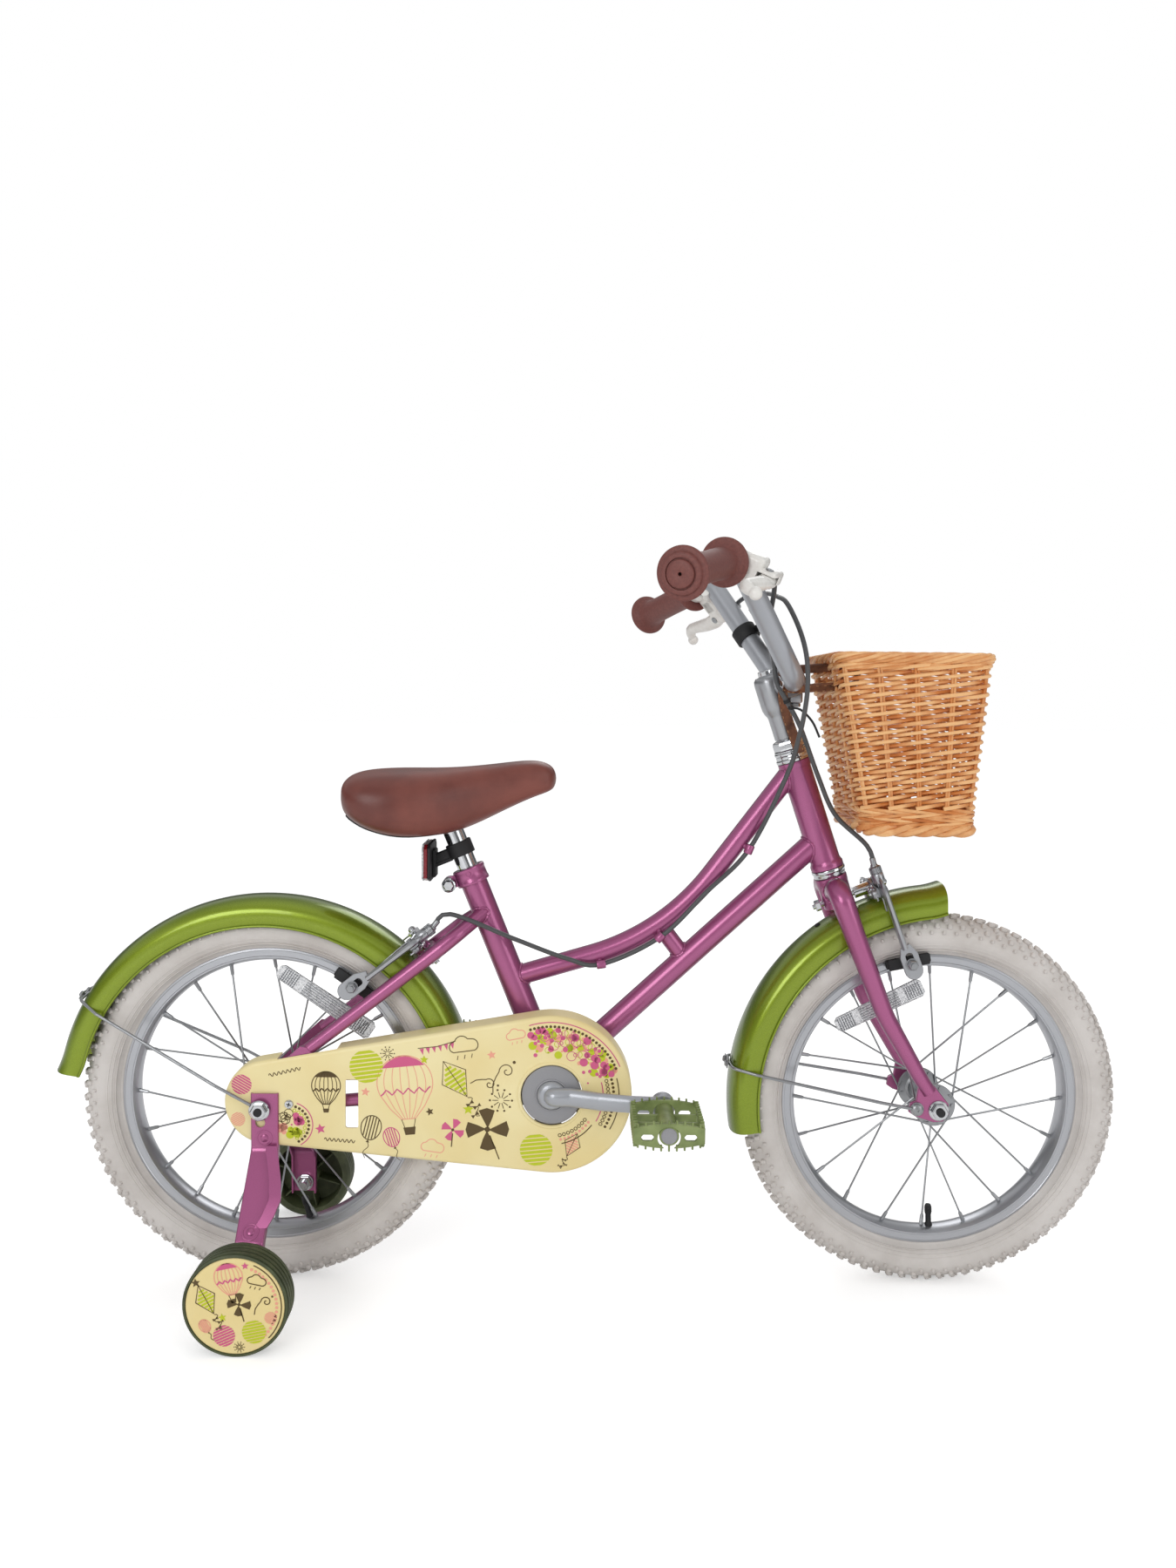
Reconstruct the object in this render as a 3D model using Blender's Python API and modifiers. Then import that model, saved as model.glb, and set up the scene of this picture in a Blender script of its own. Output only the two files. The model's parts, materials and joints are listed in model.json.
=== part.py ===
"""A child's bicycle with training wheels, front basket, chain guard and fenders.

All measures are metres. X runs forward, Y to the rider's left and Z up from the floor.
Places are written as spot(x, y, z), with x counted forward from the rear axle.
"""

import math

import bmesh
import bpy
from mathutils import Matrix, Vector

# Driving dimensions
AXLE_HEIGHT = 0.204
WHEELBASE = 0.711
REAR_AXLE_X = -0.3444
WHEEL_STEPS = 28
TYRE_RADIUS = AXLE_HEIGHT / math.cos(math.pi / WHEEL_STEPS)
TYRE_HALF_WIDTH = 0.0258
RIM_RADIUS = 0.159
SPOKES_A_FLANGE = 10
SPOKE_RADIUS = 0.0009
BRACKET_X = 0.30255
BRACKET_Z = 0.222
CHAIN_PITCH = 0.0127
CHAIN_LINKS = 72
PIN_EVERY = 3
CHAINRING_TEETH = 34
SPROCKET_TEETH = 14
CHAIN_Y = -0.040
CRANK_LENGTH = 0.1135
PEDAL_LENGTH = 0.068
PEDAL_WIDTH = 0.070
PEDAL_HEIGHT = 0.024
SEAT_LEAN = math.radians(22.2)
SEAT_TUBE_RADIUS = 0.0143
POST_RADIUS = 0.0110
STEER_LEAN = math.radians(18.9)
STEER_X = 0.5771
STEER_Z = 0.51235
HEAD_TUBE_RADIUS = 0.0160
STEERER_RADIUS = 0.0125
BAR_RADIUS = 0.0111
FENDER_HALF_WIDTH = 0.0305
STABILISER_HEIGHT = 0.0506
STABILISER_STEPS = 18
STABILISER_FACES = (0.139, 0.170)
BASKET_WALL = 0.0055
CABLE_RADIUS = 0.0025
BRAKE_REACH = 0.0855
BRAKE_GAP = 0.002

X = Vector((1, 0, 0))
Y = Vector((0, 1, 0))
Z = Vector((0, 0, 1))
RIGHT = -Y

for old in list(bpy.data.objects):
    bpy.data.objects.remove(old)
parts = bpy.data.collections.new("kids_bike")
cutters = bpy.data.collections.new("kids_bike_helpers")
bpy.context.scene.collection.children.link(parts)
bpy.context.scene.collection.children.link(cutters)


# Materials
def paint(name, hex_colour, roughness, metallic=0.0):
    """A plain material from an sRGB colour."""
    made = bpy.data.materials.new(name)
    made.use_nodes = True
    colour = []
    for k in (0, 2, 4):
        value = int(hex_colour[k : k + 2], 16) / 255
        colour.append(value / 12.92 if value < 0.04045 else ((value + 0.055) / 1.055) ** 2.4)
    surface = made.node_tree.nodes["Principled BSDF"]
    surface.inputs["Base Color"].default_value = (*colour, 1)
    surface.inputs["Roughness"].default_value = roughness
    surface.inputs["Metallic"].default_value = metallic
    made.diffuse_color = (*colour, 1)
    return made


PINK = paint("pink_enamel", "B25690", 0.3, 0.5)
GREEN = paint("green_enamel", "8CA012", 0.3, 0.5)
CREAM = paint("cream_plastic", "E9DCA6", 0.45)
ORANGE = paint("orange_weave", "D98B4A", 0.6)
BROWN = paint("red_brown_vinyl", "7C4640", 0.5)
LEATHER = paint("brown_leather", "6E4230", 0.6)
TYRE = paint("grey_tyre", "C6BFB6", 0.7)
ALLOY = paint("silver_alloy", "C3C4C8", 0.35, 0.9)
CHROME = paint("chrome", "D8DADD", 0.12, 1.0)
STEEL = paint("grey_steel", "8E9195", 0.35, 0.9)
DARK_STEEL = paint("chain_steel", "5A5148", 0.4, 0.9)
WHITE = paint("white_plastic", "EDEBE8", 0.35)
GREY = paint("grey_plastic", "B9B8BC", 0.4)
BLACK = paint("black_plastic", "1C1C1D", 0.45)
RUBBER = paint("black_rubber", "2A2A2B", 0.7)
CABLE = paint("cable_sleeve", "55575A", 0.5)
OLIVE = paint("olive_plastic", "8E9A3C", 0.45)
DARK_OLIVE = paint("dark_olive_plastic", "4A4F33", 0.55)


# Shape helpers
def spot(x, y, z):
    """A place whose x is counted forward from the rear axle."""
    return Vector((x + REAR_AXLE_X, y, z))


def facing(along, near=X):
    """Axes as matrix columns: Z is `along` and X leans towards `near`."""
    z = Vector(along).normalized()
    x = Vector(near) - z * z.dot(Vector(near))
    x = x.normalized() if x.length > 1e-6 else z.orthogonal().normalized()
    return Matrix((x, z.cross(x), z)).transposed()


def solid(name, points, faces, colour=None, smooth=30):
    """A mesh object. One with no colour is a helper that shapes another piece."""
    mesh = bpy.data.meshes.new(name)
    mesh.from_pydata([tuple(point) for point in points], [], faces)
    mesh.validate()
    return placed(name, mesh, colour, smooth)


def placed(name, mesh, colour, smooth=30):
    """Puts a closed mesh in the scene, faces turned outwards and round sides smooth."""
    shape = bmesh.new()
    shape.from_mesh(mesh)
    bmesh.ops.remove_doubles(shape, verts=shape.verts, dist=0.000001)
    bmesh.ops.recalc_face_normals(shape, faces=shape.faces)
    shape.to_mesh(mesh)
    shape.free()
    mesh.shade_smooth()
    mesh.set_sharp_from_angle(angle=math.radians(smooth))
    made = bpy.data.objects.new(name, mesh)
    if colour is None:
        cutters.objects.link(made)
        made.hide_render = True
        made.display_type = "WIRE"
    else:
        parts.objects.link(made)
        mesh.materials.append(colour)
    return made


def lofted(name, rings, colour=None, closed=False, smooth=30):
    """A skin over rings of points, capped at both ends unless it closes on itself."""
    count = len(rings[0])
    points = [point for ring in rings for point in ring]
    faces = []
    for i in range(len(rings) if closed else len(rings) - 1):
        low = i * count
        high = (i + 1) % len(rings) * count
        for k in range(count):
            after = (k + 1) % count
            faces.append((low + k, low + after, high + after, high + k))
    if not closed:
        faces.append(tuple(range(count)))
        faces.append(tuple(range(len(points) - count, len(points))))
    return solid(name, points, faces, colour, smooth)


def circle(centre, along, radius, sides, near=X, turn=0.0):
    """Points of a circle round `along`."""
    axes = facing(along, near)
    angles = [math.radians(turn) + 2 * math.pi * k / sides for k in range(sides)]
    return [
        centre + axes @ Vector((radius * math.cos(a), radius * math.sin(a), 0)) for a in angles
    ]


def turned(name, profile, steps, centre, along, colour=None, turn=0.0, open_ends=False):
    """A closed outline of (radius, distance along) spun round `along` with a Screw.

    With open_ends the outline starts and ends on the axis instead.
    """
    count = len(profile)
    area = sum(
        profile[k][0] * profile[(k + 1) % count][1] - profile[(k + 1) % count][0] * profile[k][1]
        for k in range(count)
    )
    if area > 0:
        profile = profile[::-1]
    edges = [(k, (k + 1) % count) for k in range(count - 1 if open_ends else count)]
    mesh = bpy.data.meshes.new(name)
    mesh.from_pydata([(radius, 0, height) for radius, height in profile], edges, [])
    spun = bpy.data.objects.new(name + "_outline", mesh)
    cutters.objects.link(spun)
    screw = spun.modifiers.new("Screw", "SCREW")
    screw.steps = steps
    screw.render_steps = steps
    screw.use_merge_vertices = True
    screw.merge_threshold = 0.00001
    result = taken(spun)
    spin = Matrix.Rotation(math.radians(turn), 4, "Z")
    result.transform(Matrix.Translation(centre) @ facing(along).to_4x4() @ spin)
    return placed(name, result, colour)


def flat_turn(steps):
    """The turn in degrees that puts a flat, not a corner, at the bottom of a wheel."""
    return 0 if steps % 4 == 2 else 180 / steps


def taken(obj):
    """The evaluated mesh of an object, which is then removed."""
    graph = bpy.context.evaluated_depsgraph_get()
    mesh = bpy.data.meshes.new_from_object(obj.evaluated_get(graph))
    bpy.data.objects.remove(obj)
    return mesh


def bar(name, start, end, radius, sides=12, colour=None, end_radius=None, turn=0.0):
    """A straight round bar, tapered where end_radius is given."""
    along = Vector(end) - Vector(start)
    last = radius if end_radius is None else end_radius
    rings = [
        circle(Vector(start), along, radius, sides, turn=turn),
        circle(Vector(end), along, last, sides, turn=turn),
    ]
    return lofted(name, rings, colour)


def block(name, size, centre, axes=Matrix.Identity(3), colour=None, edge=0.0):
    """A box, its edges eased by a Bevel where `edge` is given."""
    half = Vector(size) / 2
    corners = [(i, j, k) for k in (-1, 1) for i, j in ((-1, -1), (1, -1), (1, 1), (-1, 1))]
    points = [
        Vector(centre) + axes @ Vector((half.x * i, half.y * j, half.z * k)) for i, j, k in corners
    ]
    made = lofted(name, [points[:4], points[4:]], colour)
    if edge:
        bevel = made.modifiers.new("Bevel", "BEVEL")
        bevel.width = edge
        bevel.segments = 1
        bevel.harden_normals = False
    return made


def plate(name, outline, origin, across, up, thickness, colour=None):
    """An outline of (across, up) given a thickness on the side across x up points to."""
    out = Vector(across).cross(Vector(up)).normalized() * thickness
    low = [Vector(origin) + Vector(across) * a + Vector(up) * b for a, b in outline]
    return lofted(name, [low, [point + out for point in low]], colour)


def rounded(corners, bend, steps=4):
    """A path through the corners, each inner one eased to an arc of radius `bend`."""
    corners = [Vector(corner) for corner in corners]
    path = [corners[0]]
    for before, corner, after in zip(corners, corners[1:], corners[2:]):
        back = before - corner
        ahead = after - corner
        half = back.angle(ahead) / 2
        reach = min(bend / math.tan(half), 0.48 * min(back.length, ahead.length))
        radius = reach * math.tan(half)
        back.normalize()
        ahead.normalize()
        centre = corner + (back + ahead).normalized() * (radius / math.sin(half))
        arm = corner + back * reach - centre
        axis = arm.cross(corner + ahead * reach - centre).normalized()
        spread = math.pi - 2 * half
        path += [
            centre + Matrix.Rotation(spread * k / steps, 3, axis) @ arm for k in range(steps + 1)
        ]
    path.append(corners[-1])
    return path


def eased(corners, step):
    """A smooth path through the corners, with a point about every `step`, for a cable."""
    points = [Vector(corner) for corner in corners]
    ends = [2 * points[0] - points[1]] + points + [2 * points[-1] - points[-2]]
    path = [points[0]]
    for a, b, c, d in zip(ends, ends[1:], ends[2:], ends[3:]):
        count = max(1, round((c - b).length / step))
        for k in range(1, count + 1):
            t = k / count
            bend = 2 * b + (c - a) * t
            bend += (2 * a - 5 * b + 4 * c - d) * t**2 + (3 * b - a - 3 * c + d) * t**3
            path.append(bend / 2)
    return path


def tube(name, path, radius, colour=None, resolution=2, end_radius=None):
    """A round tube along a path, made with a bevelled curve."""
    curve = bpy.data.curves.new(name, "CURVE")
    curve.dimensions = "3D"
    curve.bevel_depth = radius
    curve.bevel_resolution = resolution
    curve.use_fill_caps = True
    spline = curve.splines.new("POLY")
    spline.points.add(len(path) - 1)
    last = radius if end_radius is None else end_radius
    for k, (point, place) in enumerate(zip(spline.points, path)):
        point.co = (*place, 1)
        point.radius = 1 + (last / radius - 1) * k / (len(path) - 1)
    guide = bpy.data.objects.new(name + "_path", curve)
    cutters.objects.link(guide)
    return placed(name, taken(guide), colour)


def swept(name, path, section, side, colour=None, widths=None):
    """A section of (across, out) carried along a flat path that stays square to `side`.

    A list of sections, one for each point of the path, lets it change on the way.
    """
    path = [Vector(point) for point in path]
    sections = section if isinstance(section[0], list) else [section] * len(path)
    side = Vector(side).normalized()
    rings = []
    for k, point in enumerate(path):
        ahead = path[min(k + 1, len(path) - 1)] - path[min(k, len(path) - 2)]
        behind = path[max(k, 1)] - path[max(k - 1, 0)]
        ahead.normalize()
        behind.normalize()
        along = (ahead + behind).normalized()
        out = along.cross(side).normalized()
        stretch = 1 / max(along.dot(ahead), 0.5)
        width = widths[k] if widths else 1
        rings.append([point + side * a * width + out * b * stretch for a, b in sections[k]])
    return lofted(name, rings, colour)


def strip(half_width, half_thickness):
    """A plain rectangular section for swept."""
    return [
        (-half_width, -half_thickness),
        (half_width, -half_thickness),
        (half_width, half_thickness),
        (-half_width, half_thickness),
    ]


def change(target, operation, tools):
    """Adds each tool to the target, or takes it away, with an exact Boolean."""
    for tool in tools:
        step = target.modifiers.new(tool.name, "BOOLEAN")
        step.operation = operation
        step.solver = "EXACT"
        step.object = tool
        tool.parent = target
    return target


def weld(target, *tools):
    return change(target, "UNION", tools)


def cut(target, *tools):
    return change(target, "DIFFERENCE", tools)


def joint(name, at, *pieces):
    """An empty on a joint's axis that carries the pieces that turn or slide there."""
    pivot = bpy.data.objects.new(name, None)
    pivot.empty_display_size = 0.02
    pivot.location = at
    parts.objects.link(pivot)
    for piece in pieces:
        piece.parent = pivot
        piece.matrix_parent_inverse = Matrix.Translation(-Vector(at))
    return pivot


# Reference places and directions
REAR_AXLE = spot(0, 0, AXLE_HEIGHT)
FRONT_AXLE = spot(WHEELBASE, 0, AXLE_HEIGHT)
BRACKET = spot(BRACKET_X, 0, BRACKET_Z)
SEAT_UP = Vector((-math.sin(SEAT_LEAN), 0, math.cos(SEAT_LEAN)))
STEER_UP = Vector((-math.sin(STEER_LEAN), 0, math.cos(STEER_LEAN)))
STEER_BASE = spot(STEER_X, 0, STEER_Z)


def seat_line(distance):
    return BRACKET + SEAT_UP * distance


def steer_line(distance):
    return STEER_BASE + STEER_UP * distance


# Wheels: tyres, rims, hubs with spokes
def wheel(name, axle, valve_angle, reflector):
    """The tyre, rim and spoked hub of one wheel. Distances along run to the right."""
    w = TYRE_HALF_WIDTH
    right_half = [
        (0.1512, 0.0101),
        (0.1610, 0.0104),
        (0.1770, w - 0.0012),
        (0.1890, w),
        (TYRE_RADIUS, 0.0110),
    ]
    hollow = [(0.1985, 0.0110), (0.1850, 0.0195), (0.1512, 0.0050)]
    outline = right_half + [(r, -a) for r, a in reversed(right_half)]
    outline += [(r, -a) for r, a in reversed(hollow)] + hollow
    half_step = flat_turn(WHEEL_STEPS)
    tyre = turned(name + "_tyre", outline, WHEEL_STEPS, axle, RIGHT, TYRE, half_step)
    bed = 0.1465
    rim_half = [(RIM_RADIUS, 0.0110), (RIM_RADIUS, 0.0125), (bed, 0.0115)]
    outline = rim_half + [(r, -a) for r, a in reversed(rim_half)]
    outline += [(0.1500, -0.0105), (0.1500, 0.0105)]
    rim = turned(name + "_rim", outline, WHEEL_STEPS, axle, RIGHT, ALLOY, half_step)
    down = Vector((math.cos(valve_angle), 0, math.sin(valve_angle)))
    weld(rim, bar(name + "_valve", axle + down * 0.148, axle + down * 0.121, 0.0032, 6))

    barrel = [
        (0.0100, 0.0380),
        (0.0100, 0.0305),
        (0.0225, 0.0305),
        (0.0225, 0.0275),
        (0.0120, 0.0275),
    ]
    right_end = barrel
    if name == "rear":
        right_end = [(0.0140, 0.0465), (0.0165, 0.0460)] + barrel[2:]
        right_end.insert(2, (0.0165, 0.0305))
    outline = right_end + [(r, -a) for r, a in reversed(barrel)]
    outline += [(0.0056, -0.0380), (0.0056, outline[0][1])]
    hub = turned(name + "_hub", outline, 12, axle, RIGHT, STEEL)
    end_radius = bed * math.cos(math.pi / WHEEL_STEPS) - 0.0006
    points = []
    faces = []
    for flange in (1, -1):
        for j in range(SPOKES_A_FLANGE):
            rim_angle = math.radians(360 / SPOKES_A_FLANGE * j + (0 if flange > 0 else 18))
            lean = 1 if j % 2 else -1
            hub_angle = rim_angle + math.radians(72) * lean
            head = Vector((math.cos(hub_angle), 0, math.sin(hub_angle))) * 0.0195
            head += RIGHT * flange * (0.0290 + 0.0014 * lean)
            tip = Vector((math.cos(rim_angle), 0, math.sin(rim_angle))) * end_radius
            tip += RIGHT * flange * 0.0025
            first = len(points)
            for place in (axle + head, axle + tip):
                points += circle(place, tip - head, SPOKE_RADIUS, 3, Y)
            faces += [
                (first + k, first + (k + 1) % 3, first + 3 + (k + 1) % 3, first + 3 + k)
                for k in range(3)
            ]
            faces += [(first + 2, first + 1, first), (first + 3, first + 4, first + 5)]
    spokes = solid(name + "_spokes", points, faces)
    start, end, side = reflector
    along = (end - start).normalized()
    axes = Matrix((along, Y, along.cross(Y))).transposed()
    middle = (start + end) / 2 + RIGHT * side
    lens = block(
        name + "_spoke_reflector", ((end - start).length, 0.0050, 0.0200), middle, axes
    )
    weld(hub, spokes, lens)
    return tyre, rim, hub


rear_lens = (spot(0.0081, 0, 0.3403), spot(0.1077, 0, 0.2728), 0.012)
front_lens = (spot(0.6080, 0, 0.2840), spot(0.7000, 0, 0.3290), 0.012)
rear_tyre, rear_rim, rear_hub = wheel("rear", REAR_AXLE, math.radians(285), rear_lens)
front_tyre, front_rim, front_hub = wheel("front", FRONT_AXLE, math.radians(273), front_lens)

# Frame
frame = bar("frame", seat_line(0), seat_line(0.2430), SEAT_TUBE_RADIUS, 14, PINK)
top_corners = [seat_line(0.1185), spot(0.4228, 0, 0.3809), steer_line(0.0549)]
down_end = steer_line(-0.0280)
shell_half = 0.0340
tubes = [
    tube("top_tube", rounded(top_corners, 0.275, 5), 0.0111, resolution=3),
    bar("down_tube", BRACKET, down_end, 0.0127, 12),
    bar("brace", spot(0.4165, 0, 0.3900), spot(0.4450, 0, 0.3530), 0.0095, 8),
    bar("bracket_shell", BRACKET - Y * shell_half, BRACKET + Y * shell_half, 0.028, 16),
    bar("head_tube", steer_line(-0.0609), steer_line(0.0609), HEAD_TUBE_RADIUS, 14),
]
dropout_outline = [
    (-0.0190, -0.0052),
    (0.0030, -0.0053),
    (0.0057, 0.0000),
    (0.0030, 0.0053),
    (-0.0190, 0.0052),
    (-0.0180, 0.0130),
    (0.0180, 0.0450),
    (0.0400, 0.0650),
    (0.0540, 0.0560),
    (0.0350, 0.0330),
    (0.0300, 0.0180),
    (0.0640, 0.0090),
    (0.0640, -0.0045),
    (0.0200, -0.0125),
    (-0.0100, -0.0140),
    (-0.0190, -0.0100),
]
for side in (-1, 1):
    label = "right" if side < 0 else "left"
    seat_stay = [
        spot(0.2279, side * 0.007, 0.4049),
        spot(0.2000, side * 0.036, 0.3835),
        spot(0.1850, side * 0.0395, 0.3713),
        spot(0.0430, side * 0.0470, 0.2606),
    ]
    chainstay = [
        spot(0.2850, side * 0.0200, 0.2190),
        spot(0.1900, side * 0.0352, 0.2145),
        spot(0.0400, side * 0.0475, 0.2065),
    ]
    edge = min(side * 0.050, side * 0.054)
    tubes += [
        tube("seat_stay_" + label, rounded(seat_stay, 0.03, 1), 0.0080, end_radius=0.0068),
        tube("chainstay_" + label, rounded(chainstay, 0.2, 1), 0.0078, end_radius=0.0065),
        plate("dropout_" + label, dropout_outline, REAR_AXLE + Y * (edge + 0.004), X, Z, 0.004),
    ]
tubes += [
    bar("brake_bridge", spot(0.168, -0.0405, 0.3581), spot(0.168, 0.0405, 0.3581), 0.0060, 8),
    bar("stay_bridge", spot(0.240, -0.0290, 0.2177), spot(0.240, 0.0290, 0.2177), 0.0060, 8, turn=10),
]
guides = [(0.5101, -0.010, 0.4749), (0.4157, -0.015, 0.3798), (0.3533, -0.012, 0.3493)]
guide_roots = [(0.4985, 0, 0.4840), (0.4142, 0, 0.3932), (0.3497, 0, 0.3592)]
for k, (place, root) in enumerate(zip(guides, guide_roots)):
    place = spot(*place)
    root = spot(*root)
    end = place + (root - place).normalized() * (CABLE_RADIUS + 0.0010)
    tubes.append(bar(f"cable_guide_{k}", root, end, 0.0022, 4))
weld(frame, *tubes)
brake_out = Vector((-0.615, 0, 0.788)).normalized()
bridge = spot(0.168, 0, 0.3581)
cut(
    frame,
    bar("seat_bore", seat_line(0.100), seat_line(0.260), 0.0115, 14),
    bar("shell_bore", BRACKET - Y * 0.05, BRACKET + Y * 0.05, 0.0255, 16),
    bar("head_bore", steer_line(-0.08), steer_line(0.08), 0.0143, 14),
    bar("bridge_hole", bridge - brake_out * 0.02, bridge + brake_out * 0.02, 0.0034, 6),
)

# Headset and bottom bracket cups, seat clamp
upper = [(0.0131, 0.0500), (0.0138, 0.0500), (0.0138, 0.0612), (0.0178, 0.0612),
         (0.0170, 0.0690), (0.0131, 0.0690)]
headset_cup_upper = turned("headset_cup_upper", upper, 14, STEER_BASE, STEER_UP, CHROME)
lower = [(r, -a) for r, a in upper]
headset_cup_lower = turned("headset_cup_lower", lower, 14, STEER_BASE, STEER_UP, CHROME)
cup = [(0.0104, 0.0240), (0.0250, 0.0240), (0.0250, 0.0343), (0.0272, 0.0343),
       (0.0260, 0.0378), (0.0104, 0.0378)]
bottom_bracket_cup_right = turned("bottom_bracket_cup_right", cup, 12, BRACKET, RIGHT, STEEL)
bottom_bracket_cup_left = turned("bottom_bracket_cup_left", cup, 12, BRACKET, Y, STEEL)

collar = [(0.0118, 0.2476), (0.0174, 0.2476), (0.0178, 0.2300),
          (0.0151, 0.2300), (0.0151, 0.2440), (0.0118, 0.2440)]
seat_clamp = turned("seat_clamp", collar, 12, BRACKET, SEAT_UP, PINK)
seat_back = SEAT_UP.cross(Y)
seat_back = seat_back if seat_back.x < 0 else -seat_back
clamp_axes = facing(SEAT_UP, seat_back)
lug = seat_line(0.2385) + seat_back * 0.0222
clamp_bolt = seat_line(0.2380) + seat_back * 0.0246
weld(
    seat_clamp,
    block("clamp_lug", (0.0130, 0.0120, 0.0130), lug, clamp_axes),
    bar("clamp_head", clamp_bolt - Y * 0.0155, clamp_bolt + Y * 0.0010, 0.0078, 8),
    bar("clamp_nut", clamp_bolt + Y * 0.0010, clamp_bolt + Y * 0.0145, 0.0072, 6),
)


# Fenders with their stays
def fender(name, centre, radius, first, last, steps=11):
    """A gutter swept round the wheel between two angles in degrees."""
    w = FENDER_HALF_WIDTH
    skin = 0.0016
    outer = [(-w, -0.031), (-w + 0.0013, -0.018), (-0.0190, -0.0045), (0, 0)]
    outer += [(-a, b) for a, b in reversed(outer[:3])]
    inner = [(-w + skin, -0.031), (-w + 0.0029, -0.0188), (-0.0179, -0.0062), (0, -skin)]
    inner += [(-a, b) for a, b in reversed(inner[:3])]
    section = outer + inner[::-1]
    rings = []
    for k in range(steps + 1):
        angle = math.radians(first + (last - first) * k / steps)
        out = Vector((math.cos(angle), 0, math.sin(angle)))
        rings.append([centre + out * (radius + b) + Y * a for a, b in section])
    return lofted(name, rings, GREEN)


REAR_FENDER = (spot(-0.0045, 0, 0.196), 0.2245)
FRONT_FENDER = (spot(0.7265, 0, 0.204), 0.2335)


def fender_spot(fender_shape, degrees, across, out):
    """A place on a fender, `out` beyond its outer crest."""
    centre, radius = fender_shape
    angle = math.radians(degrees)
    return centre + Vector((math.cos(angle), 0, math.sin(angle))) * (radius + out) + Y * across


rear_fender = fender("rear_fender", *REAR_FENDER, 18, 171)
tab_path = [fender_spot(REAR_FENDER, 20, 0, -0.0010), spot(0.2240, 0, 0.2430),
            spot(0.2349, 0, 0.2236)]
weld(rear_fender, swept("rear_fender_tab", tab_path, strip(0.0080, 0.0008), Y))
front_fender = fender("front_fender", *FRONT_FENDER, 93, 189)

rear_stay_corners = []
front_stay_corners = []
for side in (-1, 1):
    wire = [
        spot(-0.0070, side * 0.0620, 0.2078),
        spot(-0.0460, side * 0.0614, 0.2290),
        fender_spot(REAR_FENDER, 150, side * 0.0350, -0.0240),
        fender_spot(REAR_FENDER, 150, side * 0.0240, 0.0),
    ]
    rear_stay_corners += wire if side < 0 else wire[::-1]
    wire = [
        spot(0.6850, side * 0.0492, 0.2060),
        spot(0.6500, side * 0.0490, 0.2125),
        fender_spot(FRONT_FENDER, 171, side * 0.0350, -0.0240),
        fender_spot(FRONT_FENDER, 171, side * 0.0240, 0.0),
    ]
    front_stay_corners += wire if side < 0 else wire[::-1]
rear_stay_corners.insert(4, fender_spot(REAR_FENDER, 150, 0, 0.0026))
front_stay_corners.insert(4, fender_spot(FRONT_FENDER, 171, 0, 0.0026))
rear_fender_stay = tube(
    "rear_fender_stay", rounded(rear_stay_corners, 0.008, 1), 0.0016, STEEL, 0
)
front_fender_stay = tube(
    "front_fender_stay", rounded(front_stay_corners, 0.008, 1), 0.0016, STEEL, 0
)
for side in (-1, 1):
    eye = [(0.0053, 0.0603), (0.0088, 0.0603), (0.0088, 0.0636), (0.0053, 0.0636)]
    weld(rear_fender_stay, turned(f"rear_eye{side}", eye, 8, REAR_AXLE, Y * side))
    tab = spot(0.6875, 0, 0.2057)
    screw = [(0.0, 0.0474), (0.0066, 0.0474), (0.0064, 0.0510), (0.0050, 0.0535), (0.0, 0.0537)]
    weld(front_fender_stay,
         turned(f"front_eye{side}", screw, 8, tab, Y * side, open_ends=True))

# Rear axle, training-wheel brackets and training wheels
rear_right = [(0.0047, 0.0470), (0.0082, 0.0470), (0.0082, 0.0497), (0.0047, 0.0497)]
rear_left = [(0.0047, 0.0385), (0.0082, 0.0385), (0.0082, 0.0497), (0.0047, 0.0497),
             (0.0047, 0.0543), (0.0100, 0.0543), (0.0100, 0.0565), (0.0047, 0.0565)]
nut = [(0.0047, 0.0639), (0.0105, 0.0639), (0.0088, 0.0652),
       (0.0084, 0.0694), (0.0047, 0.0694), (0.0045, 0.0715), (0.0, 0.0715)]
outline = (rear_right + nut)[::-1] + [(r, -a) for r, a in rear_left + nut]
rear_axle = turned("rear_axle", outline, 8, REAR_AXLE, RIGHT, CHROME, open_ends=True)


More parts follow.
